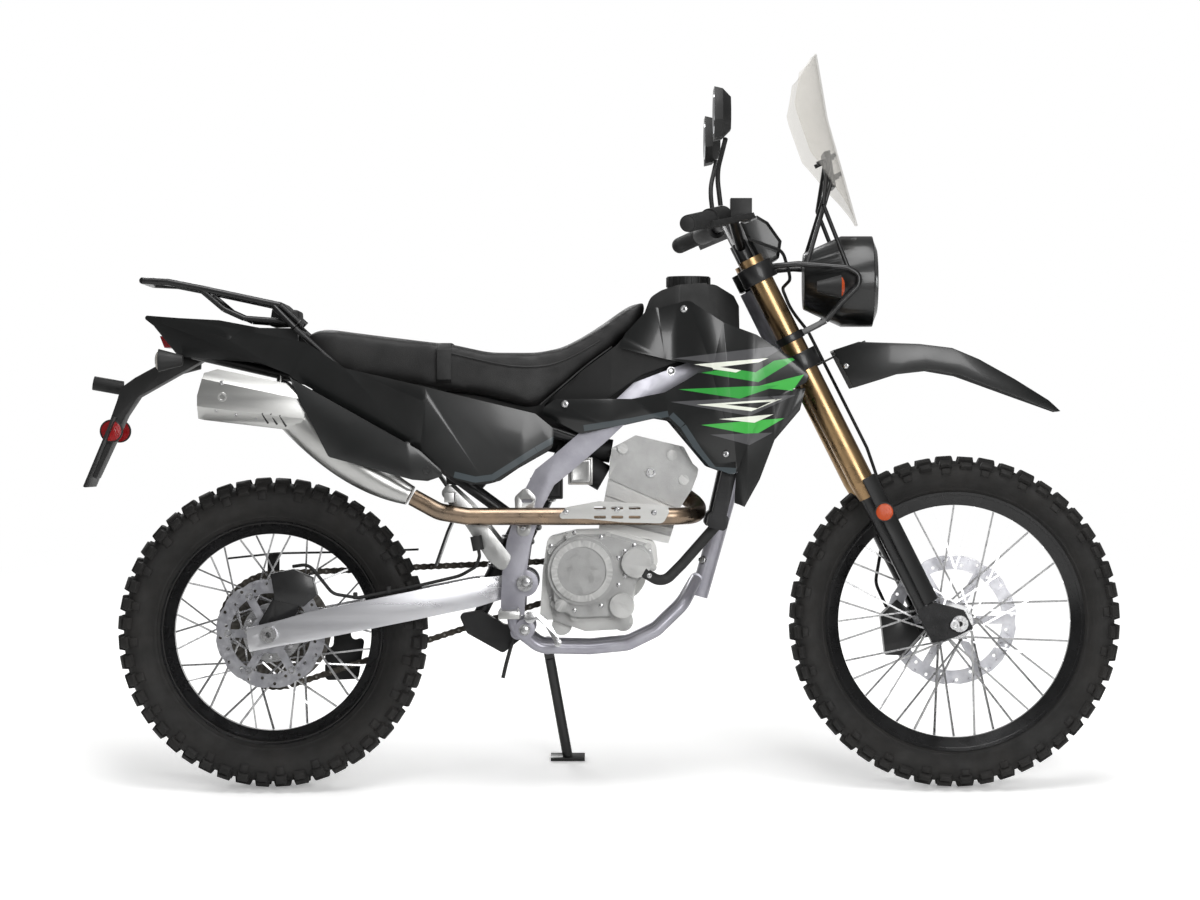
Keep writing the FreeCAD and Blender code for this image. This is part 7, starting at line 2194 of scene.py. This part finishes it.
@dataclass
class RearEnd:
    """The chain adjusters, the brake line's clips, the teeth of the pegs and the shock's spring.

    Attributes:
        adjuster_at: Place behind the left arm's end.
        adjuster_radius: Radius of an adjuster's nut.
        clip_places: Forward and leftward places of the clips.
        clip_size: Size of a clip.
        over: Height from which the brake line is looked for.
        tooth_size: Size of a peg's tooth.
        tooth_shares: Shares of its length and width that a tooth keeps at its tip.
        tooth_lift: Height of a tooth's middle over the peg.
        tooth_z: Height of the pegs' tops.
        peg_rows: Forward places of a peg's rows of teeth.
        peg_span: Distances of the first and the last tooth from the middle.
        peg_teeth: Steps between the teeth of a row.
        spring_low: Lower end of the spring's middle line.
        spring_high: Its upper end.
        spring_radius: Radius of the coils.
        spring_wire: Radius of the wire.
        coils: Number of coils.
        coil_steps: Points of each coil.
    """

    adjuster_at: Triple = (-300.0, 107.0, 335.0)
    adjuster_radius: float = 8.0
    clip_places: Pairs = ((180.0, -107.0), (250.0, -104.5))
    clip_size: Triple = (9.0, 13.0, 15.0)
    over: float = 900.0
    tooth_size: Triple = (4.0, 6.0, 7.0)
    tooth_shares: Triple = (0.4, 0.3, 1.0)
    tooth_lift: float = 3.0
    tooth_z: float = 378.0
    peg_rows: Pair = (485.0, 521.0)
    peg_span: Pair = (124.0, 210.0)
    peg_teeth: int = 8
    spring_low: Triple = (468.0, 0.0, 425.0)
    spring_high: Triple = (575.0, 0.0, 636.0)
    spring_radius: float = 31.0
    spring_wire: float = 5.0
    coils: int = 7
    coil_steps: int = 10

    def adjusters(self) -> None:
        """Set a nut at the end of each arm."""
        x, y, z = self.adjuster_at
        places = []
        for side in (-1, 1):
            point, _ = SIGHT.along(spot(x, side * y, z), FORWARD, "swingarm")
            places.append(standing(point, -FORWARD))
        piece = copies(bolt_head(Head.HEX, self.adjuster_radius), places)
        finished(piece, "chain_adjusters", BRIGHT_STEEL)

    def clips(self) -> None:
        """Clip the brake line to the right arm."""
        pieces = []
        for x, y in self.clip_places:
            point, _ = SIGHT.along(spot(x, y, self.over), DOWN, "rear_brake_hose")
            pieces.append(softened(block(self.clip_size, point / MM), 2.0))
        finished(joined(pieces), "brake_line_clips", BAR_RUBBER)

    def teeth(self) -> None:
        """Cut two rows of teeth for each rider's peg."""
        tooth = block(self.tooth_size, (0.0, 0.0, self.tooth_lift))
        choose(tooth, faces_up)
        bpy.ops.transform.resize(value=self.tooth_shares)
        bpy.ops.object.mode_set(mode="OBJECT")
        low, high = self.peg_span
        outs = [low + (high - low) * step / self.peg_teeth for step in range(self.peg_teeth + 1)]
        places = [
            Matrix.Translation(spot(x, side * out, self.tooth_z))
            for side in (-1, 1) for x in self.peg_rows for out in outs
        ]
        finished(copies(tooth, places), "peg_teeth", BRIGHT_STEEL)

    def spring(self) -> None:
        """Wind the shock's spring."""
        low, high = spot(*self.spring_low), spot(*self.spring_high)
        along = (high - low).normalized()
        fore = along.cross(LEFT)
        left = along.cross(fore)
        points, steps = [], self.coils * self.coil_steps
        for step in range(steps + 1):
            turn = math.tau * step / self.coil_steps
            ring = fore * math.cos(turn) + left * math.sin(turn)
            points.append(low.lerp(high, step / steps) + ring * self.spring_radius * MM)
        finished(tube(points, self.spring_wire), "shock_spring", BRIGHT_STEEL, smooth=60.0)

    def build(self) -> None:
        """Make the rear end's pieces."""
        self.adjusters()
        self.clips()
        self.teeth()
        self.spring()


@dataclass
class Exhaust:
    """The muffler's slots as black rods of painted shade, its rivets and the plug on its side.

    Attributes:
        slots: Picture places of each slot's two ends.
        slot_depth: Depth of the middle of a slot's black rod under the surface.
        slot_radius: Half a slot's width.
        rivets: Picture places of the rivets.
        rivet_radius: Radius of a rivet.
        plug: The plug's head.
    """

    slots: tuple[Pairs, ...] = (
        ((262, 413), (268, 423)), ((270.5, 413.5), (277, 424)), ((279.5, 415), (286, 426)),
    )
    slot_depth: float = 1.0
    slot_radius: float = 2.6
    rivets: Pairs = ((216, 411), (236, 415), (256, 419))
    rivet_radius: float = 3.4
    plug: Bolt = Bolt(222, 397, "muffler", 10.0, Head.RING, False, SATIN_STAINLESS)

    def build(self) -> None:
        """Lay black rods, sunk a little, as painted shade where the slots are, set the rivets along the
        lower seam and the plug on the side.
        """
        lines = []
        for first, last in self.slots:
            start, normal = SIGHT.seen(*first, "muffler")
            end, _ = SIGHT.seen(*last, "muffler")
            sunk = normal * self.slot_depth * MM
            lines.append(tube([start - sunk, end - sunk], self.slot_radius))
        # the black rods paint the shade inside the slots' openings
        finished(joined(lines), "painted_slot_shade", BLACK_STEEL)
        places = [standing(*SIGHT.seen(*pixel, "muffler")) for pixel in self.rivets]
        rivets = copies(bolt_head(Head.BUTTON, self.rivet_radius), places)
        finished(rivets, "muffler_rivets", BRIGHT_STEEL)
        self.plug.build("muffler_plug", "muffler")


def main() -> None:
    """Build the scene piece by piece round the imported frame."""
    logging.basicConfig(level=logging.INFO, format="%(message)s")
    FRAME.update(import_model())
    hub = next(joint for joint in FRAME["joints"] if joint["name"] == "rear_wheel_spin")
    LEAN.settle(hub["pos_m"], REAR_RADIUS)
    Studio().build()
    dress_nodes()
    round_nodes()
    Tyre(
        "front_tyre", Body.FRONT_WHEEL, FRONT_HUB, FRONT_RADIUS, width=84.0, bead=268.0, seat_half=20.0
    ).build()
    Tyre(
        "rear_tyre", Body.REAR_WHEEL, REAR_HUB, REAR_RADIUS, width=120.0, bead=230.0, seat_half=32.0
    ).build()
    for name, bolt in BOLTS.items():
        bolt.build(name)
    WheelTrim(
        Body.FRONT_WHEEL, FRONT_HUB, rim_radius=260.0, button_circle=112.0, bolt_circle=34.0,
        disc_y=58.3, button_finish=BRONZE_ANODISING,
    ).build()
    WheelTrim(
        Body.REAR_WHEEL, REAR_HUB, rim_radius=222.0, button_circle=89.0, bolt_circle=50.0,
        disc_y=-76.2, button_finish=BRIGHT_STEEL,
    ).build()
    for group in (Chain, Seat, Lamps, Cockpit, Exhaust, EngineTrim, InnerParts, RearEnd):
        group().build()


if __name__ == "__main__":
    main()
